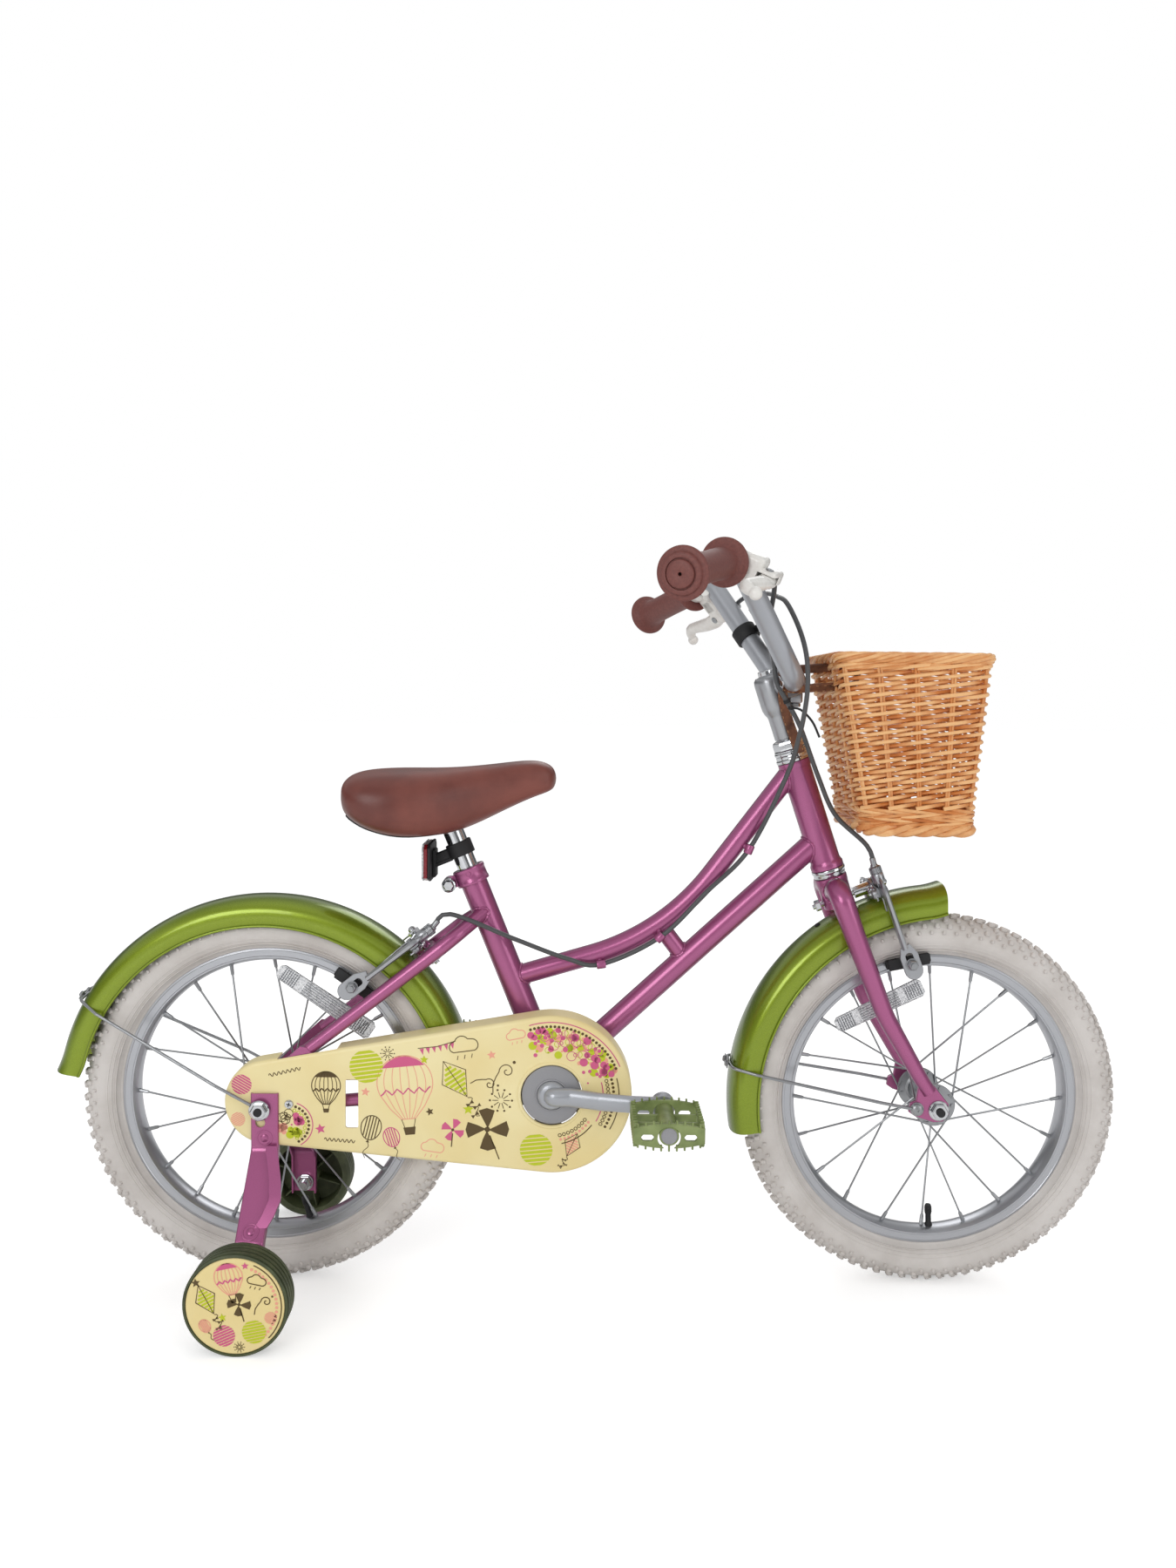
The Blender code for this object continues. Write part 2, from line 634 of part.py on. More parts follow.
def stabiliser(label, side):
    """A folded bracket with its second riveted strip, and the wheel that it carries."""
    x = 0.0043
    path = [
        spot(x, side * 0.0586, 0.2206),
        spot(x, side * 0.0586, 0.1642),
        spot(x, side * 0.0586, 0.1612),
        spot(x, side * 0.1225, 0.0880),
        spot(x, side * 0.1225, 0.0400),
    ]
    sections = []
    for lip in (0.0016, 0.0016, 0.0085, 0.0085, 0.0085):
        channel = [
            (-0.0143, 0.0014),
            (0.0143, 0.0014),
            (0.0143, -lip),
            (0.0122, -lip),
            (0.0122, -0.0014),
            (-0.0122, -0.0014),
            (-0.0122, -lip),
            (-0.0143, -lip),
        ]
        sections.append([(a, -b * side) for a, b in channel])
    bracket = swept("stabiliser_bracket_" + label, path, sections, X, PINK)
    back = [
        spot(0.0170, side * 0.0610, 0.1700),
        spot(0.0240, side * 0.0760, 0.1500),
        spot(0.0300, side * 0.0920, 0.1300),
        spot(0.0300, side * 0.1010, 0.1180),
        spot(0.0170, side * 0.1150, 0.0960),
    ]
    out = Vector((0, side * 0.66, 0.75)).normalized() * 0.0012
    shift = Vector((-0.0120, 0, 0))
    rings = [
        [point + out, point + shift + out, point + shift - out, point - out] for point in back
    ]
    hole = REAR_AXLE + Y * side * 0.05
    slot_foot = spot(0, side * 0.05, 0.1920)
    wheel_at = spot(x, 0, STABILISER_HEIGHT)
    bolt = [(0.0, 0.1200), (0.0095, 0.1200), (0.0095, 0.1382), (0.0050, 0.1382),
            (0.0050, 0.1722), (0.0095, 0.1722), (0.0082, 0.1768), (0.0, 0.1768)]
    weld(
        bracket,
        lofted("riveted_strip_" + label, rings),
        turned("wheel_bolt_" + label, bolt, 8, wheel_at, Y * side, open_ends=True),
    )
    cut(
        bracket,
        bar("axle_hole_" + label, hole, hole + Y * side * 0.015, 0.0052, 12),
        block("axle_slot_" + label, (0.0100, 0.015, 0.0120), slot_foot + Y * side * 0.0075),
    )
    low, high = STABILISER_FACES
    radius = STABILISER_HEIGHT / math.cos(math.pi / STABILISER_STEPS)
    outline = [
        (0.0056, low),
        (0.0120, low),
        (0.0120, high - 0.0080),
        (0.0400, high - 0.0080),
        (0.0420, low),
        (radius - 0.0020, low),
        (radius, low + 0.0045),
        (radius, high - 0.0045),
        (radius - 0.0035, high),
        (0.0056, high - 0.0010),
    ]
    roller = turned(
        "stabiliser_wheel_" + label,
        outline,
        STABILISER_STEPS,
        wheel_at,
        Y * side,
        DARK_OLIVE,
        flat_turn(STABILISER_STEPS),
    )
    joint("stabiliser_wheel_axis_" + label, wheel_at + Y * side * 0.1545, roller)
    return bracket


stabiliser_bracket_right = stabiliser("right", -1)
stabiliser_bracket_left = stabiliser("left", 1)


# Chain guard
def guard_outline(shrink):
    """Points round two circles joined by straight sides, in x from the rear axle and z."""
    big = (BRACKET_X, BRACKET_Z, 0.0835 - shrink)
    small = (0.0058, 0.2095, 0.0445 - shrink)
    span = math.hypot(big[0] - small[0], big[1] - small[1])
    tilt = math.atan2(big[1] - small[1], big[0] - small[0])
    open_angle = math.acos((big[2] - small[2]) / span)
    points = []
    for k in range(15):
        angle = tilt - (math.pi - open_angle) + (2 * math.pi - 2 * open_angle) * k / 14
        points.append((big[0] + big[2] * math.cos(angle), big[1] + big[2] * math.sin(angle)))
    for k in range(8):
        angle = tilt + (math.pi - open_angle) + 2 * open_angle * k / 7
        points.append(
            (small[0] + small[2] * math.cos(angle), small[1] + small[2] * math.sin(angle))
        )
    return points


def guard_face(x):
    return -(0.0565 + x / BRACKET_X * 0.0055)


def guard_ring(shrink, depth):
    """The outline at a depth behind the face, or at a fixed y where depth is negative."""
    return [
        spot(x, guard_face(x) + depth if depth >= 0 else depth, z)
        for x, z in guard_outline(shrink)
    ]


rings = [
    guard_ring(0.0035, 0),
    guard_ring(0, 0.0035),
    guard_ring(0, -0.0325),
    guard_ring(0.0018, -0.0325),
    guard_ring(0.0018, 0.0045),
    guard_ring(0.0050, 0.0020),
]
chain_guard = lofted("chain_guard", rings, CREAM)
screw_x = 0.0292
screw_y = guard_face(screw_x)
weld(
    chain_guard,
    bar("guard_screw", spot(screw_x, screw_y + 0.001, 0.2087),
        spot(screw_x, screw_y - 0.0018, 0.2087), 0.0048, 10),
)
cut(
    chain_guard,
    bar("guard_hole", BRACKET - Y * 0.050, BRACKET - Y * 0.070, 0.0321, 20),
    block("guard_window", (0.0135, 0.020, 0.0515), spot(0.0948, -0.058, 0.2100)),
    bar("guard_axle_hole", REAR_AXLE - Y * 0.050, REAR_AXLE - Y * 0.060, 0.0053, 12),
    block("guard_notch", (0.0620, 0.0225, 0.050), spot(0.0480, -0.04375, 0.2720)),
)

# Freewheel, chainring, crank, chain
def toothed(name, teeth, centre, thickness, colour, phase):
    """A sprocket plate whose valleys hold a chain roller with room to spare."""
    pitch_radius = CHAIN_PITCH / 2 / math.sin(math.pi / teeth)
    root = pitch_radius - 0.0046
    tip = pitch_radius + 0.0033
    outline = []
    for k in range(teeth):
        middle = phase + 2 * math.pi * (k + 0.5) / teeth
        outline.append((root, middle - 0.0030 / root))
        outline.append((tip, middle))
        outline.append((root, middle + 0.0030 / root))
    ring = [(r * math.cos(a), r * math.sin(a)) for r, a in outline]
    return plate(name, ring, centre + Y * (thickness / 2), X, Z, thickness, colour)


chain_centre = BRACKET + Y * CHAIN_Y
sprocket_centre = REAR_AXLE + Y * CHAIN_Y
chainring_radius = CHAIN_PITCH / 2 / math.sin(math.pi / CHAINRING_TEETH)
sprocket_radius = CHAIN_PITCH / 2 / math.sin(math.pi / SPROCKET_TEETH)
line = chain_centre - sprocket_centre
line_angle = math.atan2(line.z, line.x)
wrap = math.acos((chainring_radius - sprocket_radius) / line.length)
straight = math.sqrt(line.length**2 - (chainring_radius - sprocket_radius) ** 2)


def chain_place(distance, radial=0.0):
    """A place on the chain's loop, counted from where it meets the chainring's top."""
    arc_big = (2 * math.pi - 2 * wrap) * chainring_radius
    arc_small = 2 * wrap * sprocket_radius
    distance %= arc_big + arc_small + 2 * straight
    top = line_angle + math.pi - wrap
    top_out = Vector((math.cos(top), 0, math.sin(top)))
    low = line_angle - math.pi + wrap
    low_out = Vector((math.cos(low), 0, math.sin(low)))
    if distance < arc_big:
        angle = top - distance / chainring_radius
        out = Vector((math.cos(angle), 0, math.sin(angle)))
        return chain_centre + out * (chainring_radius + radial)
    distance -= arc_big
    if distance < straight:
        start = chain_centre + low_out * (chainring_radius + radial)
        end = sprocket_centre + low_out * (sprocket_radius + radial)
        return start.lerp(end, distance / straight)
    distance -= straight
    if distance < arc_small:
        angle = low - distance / sprocket_radius
        out = Vector((math.cos(angle), 0, math.sin(angle)))
        return sprocket_centre + out * (sprocket_radius + radial)
    distance -= arc_small
    start = sprocket_centre + top_out * (sprocket_radius + radial)
    end = chain_centre + top_out * (chainring_radius + radial)
    return start.lerp(end, distance / straight)


loop = 2 * straight + (2 * math.pi - 2 * wrap) * chainring_radius + 2 * wrap * sprocket_radius
link = loop / CHAIN_LINKS
first_roller = link / 2
ring_angle = line_angle + math.pi - wrap - first_roller / chainring_radius
meets_sprocket = (2 * math.pi - 2 * wrap) * chainring_radius + straight
ahead = (first_roller - meets_sprocket) % link
sprocket_angle = line_angle - math.pi + wrap - ahead / sprocket_radius

PLATE = 0.0022
chainring = toothed("chainring", CHAINRING_TEETH, chain_centre, PLATE, GREY, ring_angle)
cut(chainring, bar("chainring_bore", chain_centre - Y * PLATE, chain_centre + Y * PLATE,
                   0.0106, 14))
freewheel = toothed(
    "freewheel", SPROCKET_TEETH, sprocket_centre, PLATE, DARK_STEEL, sprocket_angle
)
body = [(0.0175, 0.0312), (0.0222, 0.0312), (0.0222, 0.0455), (0.0175, 0.0455)]
weld(freewheel, turned("freewheel_body", body, 12, REAR_AXLE, RIGHT))
cut(freewheel, bar("freewheel_bore", REAR_AXLE - Y * 0.03, REAR_AXLE - Y * 0.05, 0.0177, 12))

arc_big = (2 * math.pi - 2 * wrap) * chainring_radius
arc_small = 2 * wrap * sprocket_radius
stations = [arc_big * k / 12 for k in range(13)]
stations += [arc_big + straight + arc_small * k / 5 for k in range(6)]
bands = []
for side in (-1, 1):
    inner = side * 0.0029
    outer = side * 0.0042
    rings = [
        [
            chain_place(at, radial) + Y * across
            for radial, across in (
                (-0.0036, inner), (0.0036, inner), (0.0036, outer), (-0.0036, outer))
        ]
        for at in stations
    ]
    bands.append((f"chain_band_{side}", rings))
chain = lofted("chain", bands[0][1], DARK_STEEL, closed=True)
rollers = []
faces = []
for k in range(0, CHAIN_LINKS, PIN_EVERY):
    at = chain_place(first_roller + link * k)
    first = len(rollers)
    for side in (-1, 1):
        rollers += circle(at + Y * side * 0.0036, Y, 0.0026, 3, X, 20)
    faces += [
        (first + n, first + (n + 1) % 3, first + 3 + (n + 1) % 3, first + 3 + n) for n in range(3)
    ]
    faces += [(first + 2, first + 1, first), (first + 3, first + 4, first + 5)]
weld(chain, solid("chain_rollers", rollers, faces), lofted(*bands[1], closed=True))

crank = bar("crank", BRACKET - Y * 0.0700, BRACKET + Y * 0.0480, 0.0100, 14, ALLOY)
arms = []
for side in (-1, 1):
    label = "right" if side < 0 else "left"
    forward = X if side < 0 else -X
    root = 0.0665 if side < 0 else 0.0440
    eye_at = BRACKET + forward * CRANK_LENGTH
    out = Y * side
    path = [
        BRACKET + out * root,
        BRACKET + forward * 0.020 + out * (root + 0.0010),
        BRACKET + forward * 0.050 + out * (root * 0.35 + 0.0880 * 0.65),
        BRACKET + forward * 0.080 + out * 0.0870,
        eye_at + out * 0.0885,
    ]
    section = [(-0.0100, 0.0), (-0.0065, -0.0050), (0.0065, -0.0050), (0.0100, 0.0),
               (0.0065, 0.0050), (-0.0065, 0.0050)]
    arms += [
        swept("crank_arm_" + label, path, section, Z, widths=[1.0, 1.0, 0.9, 0.85, 0.9]),
        bar("crank_boss_" + label, BRACKET + out * (root - 0.0048), BRACKET + out * (root + 0.0070),
            0.0150, 12),
        bar("crank_eye_" + label, eye_at + out * 0.0825, eye_at + out * 0.0945, 0.0125, 10),
        bar("pedal_shoulder_" + label, eye_at + out * 0.0930, eye_at + out * 0.1030, 0.0068, 6),
        bar("pedal_spindle_" + label, eye_at + out * 0.1010, eye_at + out * 0.1715, 0.0045, 8),
    ]
weld(crank, *arms)
cover = [(0.0106, 0.0590), (0.0312, 0.0590), (0.0302, 0.0612), (0.0106, 0.0612)]
chainring_cover = turned("chainring_cover", cover, 20, BRACKET, RIGHT, GREY)


def pedal(label, side):
    """A toothed cage pedal on its spindle."""
    forward = X if side < 0 else -X
    middle = BRACKET + forward * CRANK_LENGTH + Y * side * 0.140
    size = (PEDAL_LENGTH, PEDAL_WIDTH, PEDAL_HEIGHT)
    body = block("pedal_" + label, size, middle, colour=OLIVE, edge=0.0050)
    tools = []
    for end in (-1, 1):
        at = middle + X * end * 0.0175
        tools.append(block(f"pedal_gap_{label}{end}", (0.0185, 0.052, 0.05), at))
    inside = middle - Y * side * 0.040
    tools.append(bar("pedal_bore_" + label, inside, inside + Y * side * 0.0730, 0.0052, 8))
    cut(body, *tools)
    joint("pedal_axis_" + label, middle, body)
    return body


pedal_right = pedal("right", -1)
pedal_left = pedal("left", 1)

# Seat post, saddle and rear reflector
POST_TOP = 0.3000
seat_post = bar("seat_post", seat_line(0.1280), seat_line(POST_TOP), POST_RADIUS, 14, CHROME)


def saddle_ring(x, low, shoulder, top, half_low, half_wide, half_top):
    """Ten points round the saddle at one place: skirt, widest line, shoulder and crown."""
    half = [
        (half_low, low),
        (half_wide, shoulder),
        (half_wide * 0.96, (shoulder + top) / 2 + 0.002),
        (half_top, top - 0.003),
    ]
    right = [spot(x, -y, z) for y, z in half]
    left = [spot(x, y, z) for y, z in reversed(half)]
    return right + [spot(x, 0, top)] + left + [spot(x, 0, low)]


saddle_rings = [
    saddle_ring(0.0790, 0.5100, 0.5250, 0.5440, 0.034, 0.044, 0.028),
    saddle_ring(0.0870, 0.4990, 0.5190, 0.5530, 0.054, 0.066, 0.046),
    saddle_ring(0.1080, 0.4900, 0.5150, 0.5570, 0.064, 0.076, 0.054),
    saddle_ring(0.1400, 0.4850, 0.5130, 0.5585, 0.066, 0.077, 0.056),
    saddle_ring(0.1750, 0.4860, 0.5150, 0.5585, 0.056, 0.065, 0.047),
    saddle_ring(0.2100, 0.4940, 0.5230, 0.5605, 0.038, 0.045, 0.033),
    saddle_ring(0.2500, 0.5150, 0.5370, 0.5655, 0.026, 0.031, 0.023),
    saddle_ring(0.2850, 0.5310, 0.5460, 0.5700, 0.020, 0.024, 0.018),
    saddle_ring(0.3040, 0.5380, 0.5480, 0.5680, 0.014, 0.018, 0.012),
]
saddle = lofted("saddle", saddle_rings, BROWN)
smooth_form = saddle.modifiers.new("Subdivision", "SUBSURF")
smooth_form.levels = 1
smooth_form.render_levels = 1
pocket_points = [(0.118, 0.044), (0.200, 0.030), (0.228, 0.014)]
outline = [(x, -y) for x, y in pocket_points] + [(x, y) for x, y in reversed(pocket_points)]


def under_saddle(name, points, grow, low, high, colour=None):
    """A flat shape under the saddle that follows the pan's outline."""
    middle = sum(x for x, _ in points) / len(points)
    rings = []
    for z in (low, high):
        rings.append([
            spot(x + math.copysign(grow, x - middle), y + math.copysign(grow, y), z)
            for x, y in points
        ])
    return lofted(name, rings, colour)


saddle_base = under_saddle("saddle_base", outline, 0, 0.4935, 0.5040, BLACK)
socket_top = seat_line(0.3095)
weld(saddle_base, bar("saddle_socket", seat_line(0.2790), socket_top, 0.0155, 14))
cut(saddle_base, bar("socket_bore", seat_line(0.2700), seat_line(POST_TOP + 0.0004), 0.0115, 14))
cut(
    saddle,
    under_saddle("saddle_pocket", outline, 0.0008, 0.4600, 0.5046),
    bar("saddle_well", seat_line(0.2600), seat_line(0.3104), 0.0163, 14),
)

band = [(0.0115, 0.2640), (0.0140, 0.2640), (0.0140, 0.2790), (0.0115, 0.2790)]
band = [(r, a - 0.0022) for r, a in band]
rear_reflector = turned("rear_reflector", band, 14, BRACKET, SEAT_UP, BLACK)
band_at = seat_line(0.2680)
lens_at = spot(0.1675, 0, 0.4560)
arm_end = lens_at + X * 0.0045 + Z * 0.002
arm_root = band_at + seat_back * 0.0140
arm_along = (arm_end - arm_root).normalized()
arm_axes = Matrix((arm_along, Y, arm_along.cross(Y))).transposed()
lens_outline = [(0.024, 0.030), (0.030, 0.024), (0.030, -0.018), (0.020, -0.023),
                (-0.020, -0.023), (-0.030, -0.018), (-0.030, 0.024), (-0.024, 0.030)]
lens_outline = [(a, b * 0.76) for a, b in lens_outline]
weld(
    rear_reflector,
    block("reflector_arm", ((arm_end - arm_root).length + 0.004, 0.010, 0.014),
          (arm_end + arm_root) / 2, arm_axes),
    plate("reflector_lens", lens_outline, lens_at + X * 0.0045, -Y, Z, 0.0090),
)

# Fork and stem
fork = bar("fork", steer_line(-0.1060), steer_line(0.0830), STEERER_RADIUS, 14, PINK)
fork_pieces = [
    bar("crown", steer_line(-0.1040), steer_line(-0.0760), 0.0165, 14),
    bar("crown_race", steer_line(-0.0780), steer_line(-0.0703), 0.0172, 16),
]
tip_outline = [
    (-0.0050, -0.0130),
    (0.0050, -0.0120),
    (0.0115, -0.0040),
    (0.0105, 0.0070),
    (-0.0050, 0.0260),
    (-0.0130, 0.0300),
    (-0.0220, 0.0250),
    (-0.0240, 0.0100),
    (-0.0300, 0.0075),
    (-0.0315, -0.0020),
    (-0.0250, -0.0065),
]


def fork_path(corners):
    """The blade's shoulder well rounded and its lower bend with fewer points."""
    shoulder = rounded(corners[:3] + [corners[3]], 0.030, 3)
    return shoulder[:-2] + [shoulder[-1]] + corners[4:]


for side in (-1, 1):
    label = "right" if side < 0 else "left"
    blade = [
        spot(0.6045, side * 0.004, 0.4285),
        spot(0.5990, side * 0.0445, 0.4400),
        spot(0.6171, side * 0.0445, 0.3910),
        spot(0.6517, side * 0.0445, 0.3052),
        spot(0.6900, side * 0.0445, 0.2400),
        spot(0.7010, side * 0.0445, 0.2230),
    ]
    edge = min(side * 0.042, side * 0.047)
    fork_pieces += [
        tube("blade_" + label, fork_path(blade), 0.0128, resolution=2, end_radius=0.0075),
        plate("fork_end_" + label, tip_outline, FRONT_AXLE + Y * (edge + 0.005), X, Z, 0.005),
    ]
weld(fork, *fork_pieces)
fork_out = Vector((0.934, 0, 0.357)).normalized()
crown_at = spot(0.609, 0, 0.4215)
cut(
    fork,
    bar("steerer_bore", steer_line(-0.060), steer_line(0.10), 0.01125, 14),
    bar("crown_hole", crown_at - fork_out * 0.03, crown_at + fork_out * 0.03, 0.0034, 6),
    bar("axle_hole_front", FRONT_AXLE - Y * 0.06, FRONT_AXLE + Y * 0.06, 0.0052, 10),
)
half = [(0.0047, 0.0385), (0.0082, 0.0385), (0.0082, 0.0416), (0.0047, 0.0416),
        (0.0047, 0.0474), (0.0100, 0.0474), (0.0086, 0.0545), (0.0047, 0.0545),
        (0.0045, 0.0570), (0.0, 0.0570)]
outline = half[::-1] + [(r, -a) for r, a in half]
front_axle = turned("front_axle", outline, 8, FRONT_AXLE, RIGHT, CHROME, open_ends=True)
locknut = [(0.0129, 0.0693), (0.0178, 0.0693), (0.0178, 0.0765), (0.0163, 0.0775),
           (0.0158, 0.0856), (0.0129, 0.0856)]
headset_locknut = turned("headset_locknut", locknut, 14, STEER_BASE, STEER_UP, CHROME)

STEM_AT = spot(0.548, 0, 0.654)
stem = bar("stem", steer_line(0.0100), steer_line(0.1420), 0.0107, 14, ALLOY)
stem_head = [(0.0, 0.1120), (0.0120, 0.1120), (0.0145, 0.1200), (0.0140, 0.1560), (0.0, 0.1560)]
stem_bolt = [(0.0, 0.1540), (0.0070, 0.1540), (0.0060, 0.1625), (0.0, 0.1625)]
weld(
    stem,
    turned("stem_head", stem_head, 14, STEER_BASE, STEER_UP, open_ends=True),
    turned("stem_bolt", stem_bolt, 6, STEER_BASE, STEER_UP, open_ends=True),
    bar("stem_barrel", STEM_AT - Y * 0.018, STEM_AT + Y * 0.018, 0.0165, 14),
    block("stem_lug", (0.014, 0.030, 0.012), STEM_AT + X * 0.008 - Z * 0.0165),
)
cut(stem, bar("stem_bore", STEM_AT - Y * 0.03, STEM_AT + Y * 0.03, 0.0116, 12))

# Handlebar, grips, levers, front reflector
GRIP_END = (0.4137, 0.2440, 0.7407)
bar_corners = []
for side in (-1, 1):
    half = [
        spot(GRIP_END[0], side * GRIP_END[1], GRIP_END[2]),
        spot(0.4775, side * 0.1135, 0.7692),
        STEM_AT + Y * side * 0.050,
    ]
    bar_corners += half if side < 0 else half[::-1]
handlebar = tube("handlebar", rounded(bar_corners, 0.022, 4), BAR_RADIUS, ALLOY, resolution=3)


def hand_frame(side):
    """The grip's outward direction, and the bar's place 13 mm inboard of the grip."""
    outer = spot(GRIP_END[0], side * GRIP_END[1], GRIP_END[2])
    out = (outer - spot(0.4775, side * 0.1135, 0.7692)).normalized()
    inner = outer - out * 0.110
    return out, inner, outer


def controls(label, side, drop):
    """A grip, and the brake lever's bracket and blade turned `drop` degrees below level."""
    out, inner, outer = hand_frame(side)
    outline = [
        (0.0, -0.1120),
        (0.0235, -0.1120),
        (0.0235, -0.1065),
        (0.0150, -0.1030),
        (0.0150, -0.0070),
        (0.0240, -0.0030),
        (0.0240, 0.0030),
        (0.0152, 0.0048),
        (0.0145, 0.0080),
        (0.0, 0.0080),
    ]
    grip = turned("grip_" + label, outline, 12, outer, out, BROWN, open_ends=True)
    cut(
        grip,
        bar("grip_bore_" + label, outer - out * 0.13, outer + out * 0.0005, 0.0119, 12),
        bar("grip_vent_" + label, outer - out * 0.001, outer + out * 0.02, 0.0016, 5),
    )
    level = (X - out * out.dot(X)).normalized()
    down = out.cross(level)
    down = down if down.z < 0 else -down
    angle = math.radians(drop)
    reach = level * math.cos(angle) + down * math.sin(angle)
    flat = out.cross(reach).normalized()
    at = inner - out * 0.0130
    axes = Matrix((reach, out, reach.cross(out))).transposed()
    ring = [(0.0117, -0.0080), (0.0152, -0.0080), (0.0152, 0.0080), (0.0117, 0.0080)]
    bracket = turned("lever_bracket_" + label, ring, 14, at, out, WHITE)
    centre = at + reach * 0.0310 - out * 0.0020
    weld(
        bracket,
        block("lever_body_" + label, (0.0360, 0.0200, 0.0170), centre, axes),
        block("lever_neck_" + label, (0.0183, 0.0293, 0.0143), at + reach * 0.0397 - out * 0.0107,
              axes),
    )
    pivot = at + reach * 0.0405 + out * 0.0030
    gap = block(
        "lever_gap_" + label, (0.0230, 0.0240, 0.0078), pivot + reach * 0.0020 + out * 0.0020, axes
    )
    cut(bracket, gap)
    section = [(-0.0030, -0.0036), (0.0030, -0.0036), (0.0030, 0.0036), (-0.0030, 0.0036)]
    path = [
        pivot - out * 0.0040,
        pivot + out * 0.0140 + reach * 0.0030,
        pivot + out * 0.0300 + reach * 0.0020,
        pivot + out * 0.0620 - reach * 0.0020,
        pivot + out * 0.0730 + reach * 0.0020,
    ]
    blade = swept("brake_lever_" + label, path, section, flat, WHITE,
                  widths=[1.0, 1.1, 1.6, 1.5, 1.2])
    ball = pivot + out * 0.0760 + reach * 0.0030
    tip = [(0.0, -0.0065), (0.0040, -0.0055), (0.0062, 0.0), (0.0040, 0.0055), (0.0, 0.0065)]
    weld(blade, turned("lever_tip_" + label, tip, 10, ball, out, open_ends=True))
    joint("lever_axis_" + label, pivot, blade)
    return grip, bracket, blade, at, reach, out, flat, pivot


right_hand = controls("right", -1, 20)
left_hand = controls("left", 1, 45)
grip_right, lever_bracket_right, brake_lever_right = right_hand[:3]
grip_left, lever_bracket_left, brake_lever_left = left_hand[:3]

riser = (spot(0.4775, 0.1135, 0.7692) - (STEM_AT + Y * 0.050)).normalized()
clamp_at = STEM_AT + Y * 0.050 + riser * 0.0700
clamp = [(0.0115, -0.0080), (0.0140, -0.0080), (0.0140, 0.0080), (0.0115, 0.0080)]
front_reflector = turned("front_reflector", clamp, 14, clamp_at, riser, BLACK)
slope = Vector((riser.x, 0, riser.z)).normalized()
lens_out = slope.cross(Y)
lens_out = lens_out if lens_out.x > 0 else -lens_out
lens_middle = spot(0.5330, 0.0480, 0.7180)
lens_axes = Matrix((lens_out, Y, lens_out.cross(Y))).transposed()
weld(
    front_reflector,
    block("reflector_body", (0.0090, 0.0440, 0.0520), lens_middle, lens_axes),
    bar("reflector_strut", clamp_at + lens_out * 0.0132 - Y * 0.003,
        lens_middle + Y * 0.012 + slope * 0.002, 0.0036, 6),
)

# Basket and straps
def basket_ring(z, inset, half_width_top=0.082, corner=0.016):
    """A rounded rectangle at one height of the tapered basket."""
    t = (0.684 - z) / 0.186
    rear = 0.583 + 0.036 * t + inset
    front = 0.744 - 0.013 * t - inset
    half = half_width_top - 0.010 * t - inset
    corner = max(corner - inset, 0.004)
    centres = [
        (front - corner, half - corner, 0),
        (rear + corner, half - corner, 90),
        (rear + corner, corner - half, 180),
        (front - corner, corner - half, 270),
    ]
    points = []
    for x, y, start in centres:
        for k in range(4):
            angle = math.radians(start + 30 * k)
            points.append(spot(x + corner * math.cos(angle), y + corner * math.sin(angle), z))
    return points


basket = lofted(
    "basket",
    [
        basket_ring(0.4980, 0.0030),
        basket_ring(0.5020, 0.0),
        basket_ring(0.6700, 0.0010),
        basket_ring(0.6740, -0.0020),
        basket_ring(0.6840, -0.0010),
        basket_ring(0.6840, BASKET_WALL),
        basket_ring(0.5050, BASKET_WALL),
    ],
    ORANGE,
)


def strap(label, side, tail):
    """A leather loop round the handlebar that passes through two slots in the basket."""
    y = side * 0.0275
    turn = BAR_RADIUS + 0.0017
    centre = STEM_AT + Y * y
    front = centre + X * 0.0580
    path = []
    for k in range(6):
        angle = math.radians(90 + 36 * k)
        path.append(centre + Vector((math.cos(angle), 0, math.sin(angle))) * turn)
    for k in range(6):
        angle = math.radians(-90 + 36 * k)
        path.append(front + Vector((math.cos(angle), 0, math.sin(angle))) * turn)
    rings = []
    for k, point in enumerate(path):
        middle = centre if k < 6 else front
        out = (point - middle).normalized() * 0.0012
        wide = Y * 0.0062
        rings.append([point + out - wide, point + out + wide, point - out + wide,
                      point - out - wide])
    loop_of_leather = lofted("basket_strap_" + label, rings, LEATHER, closed=True)
    if tail:
        hang = [centre + X * 0.004 - Z * 0.0125, spot(0.5575, y, 0.6200), spot(0.5690, y, 0.5870),
                spot(0.5800, y, 0.5640)]
        weld(loop_of_leather, swept("strap_tail", hang, strip(0.0062, 0.0012), Y))
    slots = [
        block(f"strap_slot_{label}{k}", (0.030, 0.0140, 0.0036),
              centre + X * 0.0420 + Z * k * turn)
        for k in (-1, 1)
    ]
    cut(basket, *slots)
    return loop_of_leather


basket_strap_right = strap("right", -1, True)
basket_strap_left = strap("left", 1, False)


